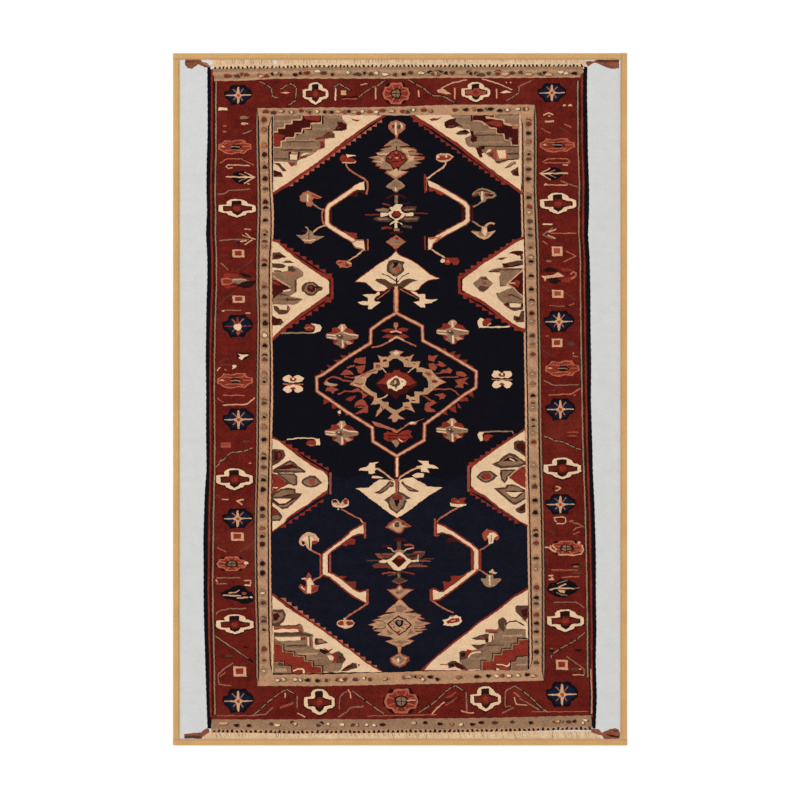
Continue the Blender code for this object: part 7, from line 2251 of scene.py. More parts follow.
    def right_lower(self) -> None:
        """The right border below the rug's middle."""
        motifs = Motifs(self.art)
        self.spots(Ink.RUST, (61, -11.6, 2.2, .35), (60.6, -12.9, 1.9, .3))
        self.stalk(50.8, -13, 52.5, -13.5, 54.5, -14.7, 56.2, -14.7, 58, -15.3, 60, -16.3, 62,
                   -17.2, 64.3, -17.9)
        motifs.cross(57.2, -24.4, 6.6, 3.8)
        motifs.star(56.5, -37, 5.3, 3.5)
        self.spots(Ink.SOOT, (54, -31.4, .5, .4), (61.8, -58.4, 1.7, .7), (53.3, -88.4, .9, .7),
                   (62.8, -88.4, 1.3, .5))
        self.spots(Ink.TAUPE, (60.3, -42.9, .8, .4), (62, -58.9, 1, .35), (53.3, -87.9, .6, .2))
        self.spots(Ink.UMBER, (62.3, -48, .8, .25), (62.2, -61.1, 1.9, .4), (61.5, -95, 1.5, .5))
        self.batch(
            (Ink.TAN, .45, (54.8, -30.8, 55.8, -30.8, 56.4, -31.3, 55.6, -32, 54.7, -32.2)),
            (Ink.TAN, .4, (55.2, -43.2, 54.5, -42.8, 54.3, -41.7, 57, -41.4, 58.3, -41.8, 58.4,
                           -43.2, 57.7, -43.8,
                           55.1, -43.8)),
            (Ink.TAUPE, .3, (61, -43.5, 63, -44, 64.8, -45)),
            (Ink.ROSE, .3, (60.8, -46.5, 62, -45.3, 64, -44.9)),
            (Ink.ROSE, .3, (61, -47.6, 63.3, -46.7)),
            (Ink.UMBER, .3, (52.8, -46.4, 54.5, -47.7)),
            (Ink.UMBER, .4, (54, -60.5, 58, -60.6)),
            (Ink.ROSE, .3, (53.2, -60.1, 62.5, -60.2)),
            (Ink.TAN, .45, (52.2, -62.1, 54, -62.1)),
            (Ink.TAN, .5, (52.4, -63.5, 53.9, -63.4, 53.3, -62.6)),
            (Ink.ROSE, .35, (57, -62.9, 59, -62.5, 63, -62.5)))
        motifs.rosette(58.6, -52.4, 6.1, 2.6)
        self.batch(
            (Ink.TAN, .5, (51, -52.2, 53, -52.3)),
            (Ink.TAN, .45, (53, -51.4, 52.9, -52.6, 54.6, -53.8, 55, -52.8, 53.6, -51.5)),
            (Ink.TAN, .45, (64.2, -51.4, 64.6, -53, 63.8, -54.5, 61, -54.9, 55.6, -54.7)),
            (Ink.NAVY, (51.6, -66.6, 52.6, -64.9, 55, -64.4, 56.4, -63.4, 59.4, -63.6, 61.8, -65,
                        63.4, -66.4,
                        61.8, -68, 59.8, -69, 58.2, -69.9, 55.4, -69.7, 52.8, -68.6)),
            (Ink.TAN, .5, (52.6, -67.2, 55, -66.5, 61.2, -66.7)),
            (Ink.TAN, .5, (55.8, -66.2, 57.4, -65.4, 58.6, -65.1)),
            (Ink.TAN, (55.6, -67, 58.1, -67.3, 58, -68.4, 57, -68.2, 56, -67.7)),
            (Ink.TAUPE, .35, (55, -68, 57, -69, 59, -69.1)),
            (Ink.TAUPE, .35, (55.2, -65, 57, -64.3, 59, -63.8)),
            (Ink.TAUPE, .35, (61.2, -66.6, 63.2, -66.4)),
            (Ink.TAUPE, .35, (54, -71.5, 62, -71.5, 63.5, -72.3, 64.8, -73.5)),
            (Ink.TAUPE, .4, (58.8, -90.7, 61, -92.3, 63.5, -94, 64.8, -95, 64.9, -97)),
            (Ink.TAN, .35, (60.8, -97.1, 64.8, -97.1)))
        self.spots(Ink.TAN, (63, -50.5, .6, .5), (63.4, -95.1, .4, .2))
        self.spots(Ink.MAROON, (54, -65.5, .7, .4), (53.6, -68, .5, .4))
        motifs.cross(58.3, -78, 6.5, 3.95)
        self.stalk(65, -82.2, 62, -84.8, 59, -86.5, 56, -88, 53.5, -90, 53, -91.5)
        motifs.frame(57, -93.5, 2.1, 1.8)

    def top(self) -> None:
        """The top border."""
        motifs = Motifs(self.art)
        motifs.star(-57, 107.2, 4.8, 3.4)
        motifs.cross(-29.8, 107.7, 4.5, 3.9)
        motifs.rosette(-1.4, 107.7, 4.9, 3.9)
        motifs.cross(26.7, 108.2, 5.1, 3.5, Ink.RUST)
        motifs.star(53.5, 108, 4.9, 3.3)
        self.stalk(-49.4, 112, -47, 110.7, -45.3, 109.5, -45.1, 107.2, -44.5, 106.5, -42.6, 106.1)
        self.stalk(-42, 109.3, -39, 111.2, -37.7, 110.9, -36.5, 109.6, -36.9, 105.3, -39.7, 103.3)
        self.stalk(-23.2, 109.8, -22.2, 110.8, -21.2, 111.1, -19.5, 110, -17.2, 108.7)
        self.stalk(-14.5, 106.5, -12.8, 107.9, -9.9, 109.9, -8.2, 110.4, -4.7, 112.8)
        self.stalk(2.8, 112.6, 5.5, 111, 8.2, 109.6, 11.3, 107, 15, 106.8, 20, 104.3)
        self.stalk(41.9, 110, 41.9, 108, 40.3, 107, 39, 106, 37, 105)
        self.batch(
            (Ink.TAN, (-42.2, 108, -40.6, 108.4, -38.6, 108.1, -40.4, 107.6)),
            (Ink.CREAM, .5, (-22.7, 109.6, -22.8, 105.2)),
            (Ink.ROSE, .3, (-20.5, 105.8, -15.2, 105.9)),
            (Ink.SOOT, .5, (-20.5, 106.3, -14.5, 106.6)),
            (Ink.TAN, .5, (-8.6, 109.9, -8.6, 105.7)),
            (Ink.TAN, .35, (-14, 110.7, -11.6, 111.2)),
            (Ink.TAN, .5, (6.4, 109, 6.6, 106.5)),
            (Ink.TAN, (13, 108.9, 15, 109.7, 16, 108.9, 18, 107.5, 16.5, 107.5, 13.5, 108)),
            (Ink.TAN, .4, (14.5, 109.6, 18.5, 111.5, 23.5, 112.6)),
            (Ink.TAN, .5, (19.3, 109.7, 19.3, 105.7)),
            (Ink.TAN, .4, (28.8, 112.9, 31, 112.3, 34.5, 111.3, 36.5, 110.4, 39.5, 109)),
            (Ink.TAN, .5, (34, 109.4, 34, 106)),
            (Ink.CREAM, (35.2, 108.1, 37.5, 108.9, 39.4, 108.1, 36, 107.8)),
            (Ink.TAUPE, .4, (41.5, 110, 43.8, 111.2, 46.3, 112.3)))
        self.art.box(Ink.TAN, -20.8, 107.2, -19, 108.9)
        self.spots(Ink.TAN, (37.4, 111.6, .3, .3), (39, 111.6, .3, .3))

    def bottom(self) -> None:
        """The bottom border."""
        motifs = Motifs(self.art)
        motifs.star(-57, -106.3, 5.3, 4.2)
        motifs.cross(-28.4, -106.7, 5.4, 4.6)
        motifs.rosette(.4, -106.4, 6.1, 4.5)
        motifs.cross(30.2, -105.6, 5.4, 4.4)
        motifs.star(57.1, -104, 5.5, 4.4)
        self.stalk(-51.5, -111, -48.9, -109, -47, -107, -44.5, -105, -42, -103.3, -40, -102.2,
                   -36.9, -104)
        self.stalk(-17, -102.7, -12, -106.3, -9.5, -108.3, -5, -111.2)
        self.stalk(6.5, -110.5, 11, -107.6, 13.5, -105.5, 16, -103, 18.5, -101.3, 19.6, -100.9,
                   22.6, -103)
        self.stalk(40.5, -101, 43.5, -103, 46, -105, 48, -107, 50.3, -109.2, 52.6, -110.6)
        self.batch(
            (Ink.ROSE, .25, (-64.5, -111.5, -53, -111.5)),
            (Ink.TAUPE, .4, (-53, -111.5, -47.3, -111, -46.5, -110, -44.8, -108.6)),
            (Ink.TAUPE, .4, (-36.3, -104.5, -36.3, -108.7)),
            (Ink.TAN, .4, (-40.5, -103.4, -40.5, -105.2)),
            (Ink.RUST, .9, (-42.3, -108.7, -37.6, -107)),
            (Ink.TAN, .4, (-36.3, -110.5, -33.5, -112)),
            (Ink.TAUPE, .4,
             (-21.4, -109.3, -21.4, -106, -21, -104.6, -19.8, -103.4, -18.7, -102.9)),
            (Ink.TAN, .4, (-18.4, -102.2, -17.5, -103.5, -17.3, -105.4)),
            (Ink.TAUPE, .4,
             (-21.7, -111.9, -18.9, -110.2, -17.8, -109, -16.8, -108.4, -13.5, -108.4,
                             -12.9, -107.9)),
            (Ink.ROSE, .25, (-11.5, -111.6, 12.7, -111.1)),
            (Ink.SOOT, .8, (2.3, -106.2, 5.7, -105.9)),
            (Ink.TAN, .5, (2.5, -106.2, 5.5, -105.9)),
            (Ink.TAUPE, .5, (23.2, -103.3, 23.5, -110.2)),
            (Ink.TAN, .4, (21.5, -109.7, 24, -110.5, 26, -110.4)),
            (Ink.TAN, .4, (11.2, -111, 12.5, -109.3, 14.5, -107.5, 16, -106.3)),
            (Ink.RUST, .5, (16.2, -105.1, 18.2, -104.4, 19.8, -103.1)),
            (Ink.RUST, .5, (16, -107.9, 18.5, -106.3, 20, -105)),
            (Ink.BLUE, .5, (15.5, -106.5, 18, -105.8)),
            (Ink.TAUPE, .4,
             (40.5, -101, 37.3, -102.6, 37, -104, 37, -107.5, 37.3, -108.3, 39, -108)),
            (Ink.TAUPE, .4, (35.8, -110.7, 38.5, -109.3, 40, -108.5)),
            (Ink.TAUPE, .4, (42, -105.4, 45, -107, 47.5, -108.5, 49, -109.5)),
            (Ink.ROSE, .5, (40, -103.2, 42.2, -104.9)),
            (Ink.TAN, .4, (40.2, -105, 41, -107.5, 44.8, -107.8)),
            (Ink.ROSE, .25, (46.5, -110.1, 66.3, -110)))

    def build(self) -> None:
        """Draws the four borders."""
        self.left_upper()
        self.left_lower()
        self.right_upper()
        self.right_lower()
        self.top()
        self.bottom()


# ---------------------------------------------------------------------------------------------
# Meshes
# ---------------------------------------------------------------------------------------------


def make_piece(name: str, points: np.ndarray, faces: np.ndarray) -> bpy.types.Object:
    """Makes a mesh object at the origin from whole arrays.

    Args:
        name: the piece's name.
        points: one row of x, y, z in metres for each vertex.
        faces: one row of vertex numbers for each face, all with equally many corners.

    Returns:
        The new object, smooth shaded and linked to the scene.
    """
    mesh = bpy.data.meshes.new(name)
    corners = faces.shape[1]
    mesh.vertices.add(len(points))
    mesh.vertices.foreach_set("co", np.ascontiguousarray(points, dtype=np.float32).ravel())
    mesh.loops.add(faces.size)
    mesh.loops.foreach_set("vertex_index", faces.astype(np.int32).ravel())
    mesh.polygons.add(len(faces))
    mesh.polygons.foreach_set("loop_start", np.arange(0, faces.size, corners, dtype=np.int32))
    mesh.update(calc_edges=True)
    mesh.validate()
    mesh.shade_smooth()
    piece = bpy.data.objects.new(name, mesh)
    bpy.context.scene.collection.objects.link(piece)
    return piece


def grid_faces(rows: int, columns: int, first: int = 0, turned: bool = False) -> np.ndarray:
    """Numbers the quads of a grid of points stored row after row.

    Args:
        rows: how many rows of points.
        columns: how many points in a row.
        first: the number of the grid's first point.
        turned: whether the faces look the other way.

    Returns:
        One row of four vertex numbers for each quad.
    """
    index = first + np.arange(rows * columns).reshape(rows, columns)
    quads = np.stack([index[:-1, :-1], index[:-1, 1:], index[1:, 1:], index[1:, :-1]], axis=-1)
    quads = quads.reshape(-1, 4)
    return quads[:, ::-1] if turned else quads


def tube(rings: np.ndarray, folded: bool = False) -> tuple[np.ndarray, np.ndarray]:
    """Skins rings of equally many points into a tube, and closes both ends.

    Args:
        rings: an array of rings, each an array of points.
        folded: whether each ring runs out along one skin and back along the other. Its ends are
            then closed by a band between the two skins, and otherwise by a fan round a middle
            point.

    Returns:
        The points and the triangles, facing outwards when each ring turns clockwise as seen along
        the tube.
    """
    count, around = rings.shape[:2]
    ring = np.arange(around)
    after = (ring + 1) % around
    low = np.arange(count - 1)[:, None] * around
    a, b = low + ring, low + after
    c, d = b + around, a + around
    sides = np.concatenate([np.stack(three, -1).reshape(-1, 3) for three in ([a, b, c], [a, c, d])])
    if folded:
        i = ring[:around // 2 - 1]
        back, ahead = around - 1 - i, around - 2 - i
        start = np.vstack([np.column_stack([i, back, ahead]), np.column_stack([i, ahead, i + 1])])
        stop = start[:, ::-1] + (count - 1) * around
        return rings.reshape(-1, 3), np.vstack([sides, start, stop])
    points = np.vstack([rings.reshape(-1, 3), rings[0].mean(axis=0), rings[-1].mean(axis=0)])
    first, last = count * around, count * around + 1
    start = np.column_stack([np.full(around, first), after, ring])
    tail = (count - 1) * around
    stop = np.column_stack([np.full(around, last), tail + ring, tail + after])
    return points, np.vstack([sides, start, stop])


def face_outwards(piece: bpy.types.Object) -> None:
    """Turns a closed piece's faces outwards if its signed volume comes out below zero.

    The volume is a sixth of the sum, over the triangles, of each corner's dot product with the
    cross product of the other two.
    """
    mesh = piece.data
    mesh.calc_loop_triangles()
    points = np.zeros(len(mesh.vertices) * 3)
    mesh.vertices.foreach_get("co", points)
    corners = np.zeros(len(mesh.loop_triangles) * 3, dtype=np.int32)
    mesh.loop_triangles.foreach_get("vertices", corners)
    a, b, c = points.reshape(-1, 3)[corners.reshape(-1, 3)].transpose(1, 0, 2)
    if (a * np.cross(b, c)).sum() < 0:
        mesh.flip_normals()


def lay_map(piece: bpy.types.Object, places: np.ndarray) -> None:
    """Gives a piece its cloth map: one place in metres, along and across, for each vertex."""
    layer = piece.data.uv_layers.new(name=CLOTH_MAP)
    corners = np.zeros(len(piece.data.loops), dtype=np.int32)
    piece.data.loops.foreach_get("vertex_index", corners)
    layer.data.foreach_set("uv", places[corners].astype(np.float32).ravel())


def cut_plane(outlines: list[np.ndarray], *loose: np.ndarray) -> tuple[np.ndarray, np.ndarray,
                                                                       list]:
    """Cuts the plane into triangles, with an edge along every piece of every outline.

    Args:
        outlines: closed outlines, which may cross each other.
        loose: further points to use as corners.

    Returns:
        The corners, the triangles, and for each corner the numbers of the points it came from.
    """
    edges, at = [], 0
    for outline in outlines:
        index = at + np.arange(len(outline))
        edges.append(np.column_stack([index, np.roll(index, -1)]))
        at += len(outline)
    points = list(map(Vector, np.vstack([*outlines, *loose]).tolist()))
    flat = delaunay_2d_cdt(points, np.vstack(edges).tolist(), [], 0, WELD)
    return np.array(flat[0]), np.array(flat[2]), flat[3]


# ---------------------------------------------------------------------------------------------
# Finishes
# ---------------------------------------------------------------------------------------------


class Network:
    """A node network that is built by name."""

    def __init__(self, tree: bpy.types.NodeTree) -> None:
        """Keeps the tree that nodes are added to."""
        self.tree = tree

    def add(self, kind: str, inputs: dict[str | int, object] | None = None,
            **settings: object) -> bpy.types.Node:
        """Adds a node.

        Args:
            kind: the node's type.
            inputs: for each input, a value or the output socket that feeds it.
            settings: the node's own settings.

        Returns:
            The node.
        """
        node = self.tree.nodes.new(kind)
        for key, value in settings.items():
            setattr(node, key, value)
        for key, value in (inputs or {}).items():
            self.feed(node.inputs[key], value)
        return node

    def feed(self, socket: bpy.types.NodeSocket, value: object) -> None:
        """Links an output to this input, or stands a value on it."""
        if isinstance(value, bpy.types.NodeSocket):
            self.tree.links.new(value, socket)
        else:
            socket.default_value = value

    def math(self, operation: str, a: object, b: object = 0.0,
             c: object = 0.0) -> bpy.types.NodeSocket:
        """Adds a Math node and returns its output."""
        return self.add("ShaderNodeMath", {0: a, 1: b, 2: c}, operation=operation).outputs[0]

    def mix(self, kind: str, share: object, a: object, b: object) -> bpy.types.NodeSocket:
        """Adds a colour Mix node and returns its output."""
        node = self.add("ShaderNodeMix", data_type="RGBA", blend_type=kind)
        for index, value in ((0, share), (6, a), (7, b)):
            self.feed(node.inputs[index], value)
        return node.outputs[2]

    def noise(self, where: object, scale: float, detail: float = 2.0) -> bpy.types.NodeSocket:
        """Adds a Noise Texture and returns its value, from about 0 to 1."""
        inputs = {"Vector": where, "Scale": scale, "Detail": detail}
        return self.add("ShaderNodeTexNoise", inputs).outputs[0]

    def mapped(self, where: bpy.types.NodeSocket,
               scale: tuple[float, float, float]) -> bpy.types.NodeSocket:
        """Stretches coordinates."""
        return self.add("ShaderNodeMapping", {"Vector": where, "Scale": scale}).outputs[0]


def new_group(name: str, takes: dict[str, object], gives: dict[str, str]) -> bpy.types.NodeTree:
    """Starts a shader node group.

    Args:
        name: the group's name.
        takes: each input's name and its value: a number, four for a colour, or None for a vector.
        gives: each output's name and its kind of socket.

    Returns:
        The group, with its input and output nodes.
    """
    tree = bpy.data.node_groups.new(name, "ShaderNodeTree")
    for key, value in takes.items():
        kind = "NodeSocketFloat" if isinstance(value, float) else "NodeSocketColor"
        if value is None:
            kind = "NodeSocketVector"
        socket = tree.interface.new_socket(key, in_out="INPUT", socket_type=kind)
        if value is not None:
            socket.default_value = value
    for key, kind in gives.items():
        tree.interface.new_socket(key, in_out="OUTPUT", socket_type=kind)
    tree.nodes.new("NodeGroupInput")
    tree.nodes.new("NodeGroupOutput")
    return tree


def close_group(tree: bpy.types.NodeTree, **outputs: bpy.types.NodeSocket) -> None:
    """Wires the group's outputs; an underscore in a name stands for a space."""
    sink = tree.nodes["Group Output"]
    for key, socket in outputs.items():
        tree.links.new(socket, sink.inputs[key.replace("_", " ")])


def tuft_group() -> bpy.types.NodeTree:
    """Cut pile: cells a tuft wide, with clouds of wear and level bands of uneven dye.

    The colour is multiplied by one plus the amount times the sum of three centred patterns: a
    random value for each tuft, a soft cloud and a band that runs across the rug. Light inks also
    drift towards a rust where a slow noise is high. The height is the tufts' round tops.
    """
    tree = new_group(
        "tufts",
        {"Coordinates": None, "Ink": (0.5, 0.5, 0.5, 1.0), "Amount": 1.0, "Tufts per metre": 300.0},
        {"Colour": "NodeSocketColor", "Height": "NodeSocketFloat", "Wear": "NodeSocketFloat"},
    )
    net, source = Network(tree), tree.nodes["Group Input"]
    where, ink = source.outputs["Coordinates"], source.outputs["Ink"]
    amount = source.outputs["Amount"]
    cells = net.add("ShaderNodeTexVoronoi", {
        "Vector": where, "Scale": source.outputs["Tufts per metre"], "Randomness": 0.85})
    speck = net.add("ShaderNodeSeparateColor", {0: cells.outputs["Color"]}).outputs[0]
    cloud = net.noise(where, 26.0, 4.0)
    band = net.noise(net.mapped(where, (2.2, 34.0, 1.0)), 1.6, 3.0)
    drift = net.noise(where, 5.0, 2.0)
    parts = [net.math("MULTIPLY_ADD", pattern, spread, -spread / 2)
             for pattern, spread in ((speck, 1.15), (cloud, 1.5), (band, 0.9))]
    total = net.math("ADD", net.math("ADD", parts[0], parts[1]), parts[2])
    gain = net.math("MULTIPLY_ADD", net.math("MULTIPLY", total, amount), 0.62, 1.0)
    gain = net.math("MAXIMUM", gain, 0.25)
    tone = net.add("ShaderNodeCombineColor", {0: gain, 1: gain, 2: gain}).outputs[0]
    colour = net.mix("MULTIPLY", 1.0, ink, tone)
    faded = net.mix("MIX", 0.0, colour, (*linear(DRIFT_TONE), 1.0))
    share = net.math("MULTIPLY", net.math("MULTIPLY_ADD", drift, 2.4, -1.3), 0.35)
    share = net.math("MULTIPLY", net.math("MAXIMUM", share, 0.0), amount)
    bright = net.add("ShaderNodeSeparateColor", {0: ink}).outputs[0]
    share = net.math("MULTIPLY", share, net.math("MINIMUM", net.math("MULTIPLY", bright, 8.0), 1.0))
    tree.links.new(share, faded.node.inputs[0])
    height = net.math("SUBTRACT", 1.0, cells.outputs["Distance"])
    close_group(tree, Colour=faded, Height=height, Wear=cloud)
    return tree


def weave_group() -> bpy.types.NodeTree:
    """Plain weave: two sine waves crossed, the warp and the weft taking turns on top.

    The height is 0.6 times the size of the two waves' product plus 0.4 times the product itself:
    full where both waves have the same sign, and a fifth of that where they differ. The colour is
    darker where the height is low, a painted shade in the hollows between the yarns, and it also
    varies with a fine grain and a soft cloud.
    """
    tree = new_group(
        "weave",
        {"Coordinates": None, "Yarn": (0.5, 0.5, 0.5, 1.0), "Warps": 1.0, "Wefts": 1.0,
         "Contrast": 0.4},
        {"Colour": "NodeSocketColor", "Height": "NodeSocketFloat"},
    )
    net, source = Network(tree), tree.nodes["Group Input"]
    spot = net.add("ShaderNodeSeparateXYZ", {0: source.outputs["Coordinates"]})
    u = net.math("MULTIPLY", spot.outputs[0], source.outputs["Warps"])
    v = net.math("MULTIPLY", spot.outputs[1], source.outputs["Wefts"])
    warp = net.math("SINE", net.math("MULTIPLY", u, 2 * math.pi))
    weft = net.math("SINE", net.math("MULTIPLY", v, 2 * math.pi))
    knit = net.math("MULTIPLY", warp, weft)
    height = net.math("MULTIPLY_ADD", net.math("ABSOLUTE", knit), 0.6,
                      net.math("MULTIPLY", knit, 0.4))
    grain = net.noise(source.outputs["Coordinates"], 160.0, 3.0)
    cloud = net.noise(source.outputs["Coordinates"], 9.0, 2.0)
    # Painted shade: the colour darkens where the weave's height is low, in the hollows between the
    # yarns; the grain and the cloud add random tone.
    painted_shade_and_mottle = net.math("ADD", net.math("MULTIPLY", net.math("SUBTRACT", height, 0.4), 0.5),
                     net.math("ADD", net.math("SUBTRACT", grain, 0.5),
                              net.math("MULTIPLY", net.math("SUBTRACT", cloud, 0.5), 0.7)))
    gain = net.math("MULTIPLY_ADD", painted_shade_and_mottle, source.outputs["Contrast"], 1.0)
    tone = net.add("ShaderNodeCombineColor", {0: gain, 1: gain, 2: gain}).outputs[0]
    close_group(tree, Colour=net.mix("MULTIPLY", 1.0, source.outputs["Yarn"], tone), Height=height)
    return tree


@dataclass(frozen=True)
class Finish:
    """What all finishes share: constants that stand on the shader's own sockets."""

    name: str
    roughness: float = 0.9
    sheen: float = 0.0
    specular: float = 0.15
    bump: float = 0.3
    depth: float = 0.0006

    def start(self) -> tuple[bpy.types.Material, Network, bpy.types.Node]:
        """Makes the material, and returns it with its network and its shader."""
        material = bpy.data.materials.new(self.name)
        material.use_nodes = True
        net = Network(material.node_tree)
        shader = material.node_tree.nodes["Principled BSDF"]
        shader.inputs["Roughness"].default_value = self.roughness
        shader.inputs["Sheen Weight"].default_value = self.sheen
        shader.inputs["Sheen Roughness"].default_value = 0.5
        shader.inputs["Specular IOR Level"].default_value = self.specular
        return material, net, shader

    def raise_bump(self, net: Network, shader: bpy.types.Node,
                   height: bpy.types.NodeSocket) -> None:
        """Feeds a height to the shader's normal through a bump."""
        bump = net.add("ShaderNodeBump",
                       {"Strength": self.bump, "Distance": self.depth, "Height": height})
        net.tree.links.new(bump.outputs[0], shader.inputs["Normal"])


@dataclass(frozen=True)
class PileFinish(Finish):
    """The printed cut pile: each face's ink, broken up by tufts, bands and wear."""

    def build(self, tufts: bpy.types.NodeTree) -> bpy.types.Material:
        """Returns the material."""
        material, net, shader = self.start()
        ink = net.add("ShaderNodeAttribute", attribute_name=INK_LAYER)
        where = net.add("ShaderNodeTexCoord").outputs["Object"]
        group = net.add("ShaderNodeGroup", node_tree=tufts)
        net.tree.links.new(where, group.inputs["Coordinates"])
        net.tree.links.new(ink.outputs["Color"], group.inputs["Ink"])
        net.tree.links.new(ink.outputs["Alpha"], group.inputs["Amount"])
        group.inputs["Tufts per metre"].default_value = 330.0
        net.tree.links.new(group.outputs["Colour"], shader.inputs["Base Color"])
        rough = net.add("ShaderNodeMapRange", {0: group.outputs["Wear"], 3: 0.82, 4: 1.0})
        net.tree.links.new(rough.outputs[0], shader.inputs["Roughness"])
        self.raise_bump(net, shader, group.outputs["Height"])
        return material


@dataclass(frozen=True)
class WovenFinish(Finish):
    """A woven yarn that follows the piece's own map, in metres along and across."""

    colour: tuple[int, int, int] = (214, 168, 109)
    warps: float = 900.0
    wefts: float = 600.0
    contrast: float = 0.5

    def build(self, weave: bpy.types.NodeTree) -> bpy.types.Material:
        """Returns the material."""
        material, net, shader = self.start()
        where = net.add("ShaderNodeUVMap", uv_map=CLOTH_MAP).outputs[0]
        group = net.add("ShaderNodeGroup", node_tree=weave)
        net.tree.links.new(where, group.inputs["Coordinates"])
        for key, value in (("Yarn", (*linear(self.colour), 1.0)), ("Warps", self.warps),
                           ("Wefts", self.wefts), ("Contrast", self.contrast)):
            group.inputs[key].default_value = value
        place = net.add("ShaderNodeTexCoord").outputs["Object"]
        wear = net.noise(place, 14.0, 4.0)
        share = net.math("MULTIPLY_ADD", wear, 0.9, -0.3)
        # The weave's colour holds a painted shade in the hollows between the yarns, under this
        # random lightening.
        faded = net.mix("MIX", share, group.outputs["Colour"],
                        (*linear(tuple(min(255, v + 14) for v in self.colour)), 1.0))
        net.tree.links.new(faded, shader.inputs["Base Color"])
        rough = net.add("ShaderNodeMapRange",
                        {0: wear, 3: self.roughness - 0.12, 4: self.roughness + 0.06})
        net.tree.links.new(rough.outputs[0], shader.inputs["Roughness"])
        self.raise_bump(net, shader, group.outputs["Height"])
        return material


@dataclass(frozen=True)
class PadFinish(Finish):
    """Felt or moulded rubber: one colour with clouds and a fine grain."""

    colour: tuple[int, int, int] = (172, 170, 166)
    grain: float = 900.0
    spread: float = 0.25

    def build(self, tufts: bpy.types.NodeTree) -> bpy.types.Material:
        """Returns the material."""
        material, net, shader = self.start()
        where = net.add("ShaderNodeTexCoord").outputs["Object"]
        group = net.add("ShaderNodeGroup", node_tree=tufts)
        net.tree.links.new(where, group.inputs["Coordinates"])
        group.inputs["Ink"].default_value = (*linear(self.colour), 1.0)
        amount = net.math("MULTIPLY", net.noise(where, 40.0, 3.0), self.spread)
        net.tree.links.new(amount, group.inputs["Amount"])
        group.inputs["Tufts per metre"].default_value = self.grain
        net.tree.links.new(group.outputs["Colour"], shader.inputs["Base Color"])
        self.raise_bump(net, shader, group.outputs["Height"])
        return material


# ---------------------------------------------------------------------------------------------
# Sub-assemblies
# ---------------------------------------------------------------------------------------------


def dress(piece: bpy.types.Object, material: bpy.types.Material, slot: str, *nodes: str) -> None:
    """Gives a piece its finish and its body, and hides the CAD nodes that it stands for."""
    piece.data.materials.append(material)
    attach(piece, "root")
    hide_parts(*nodes)
    LOG.info("%s: %d faces", piece.name, len(piece.data.polygons))


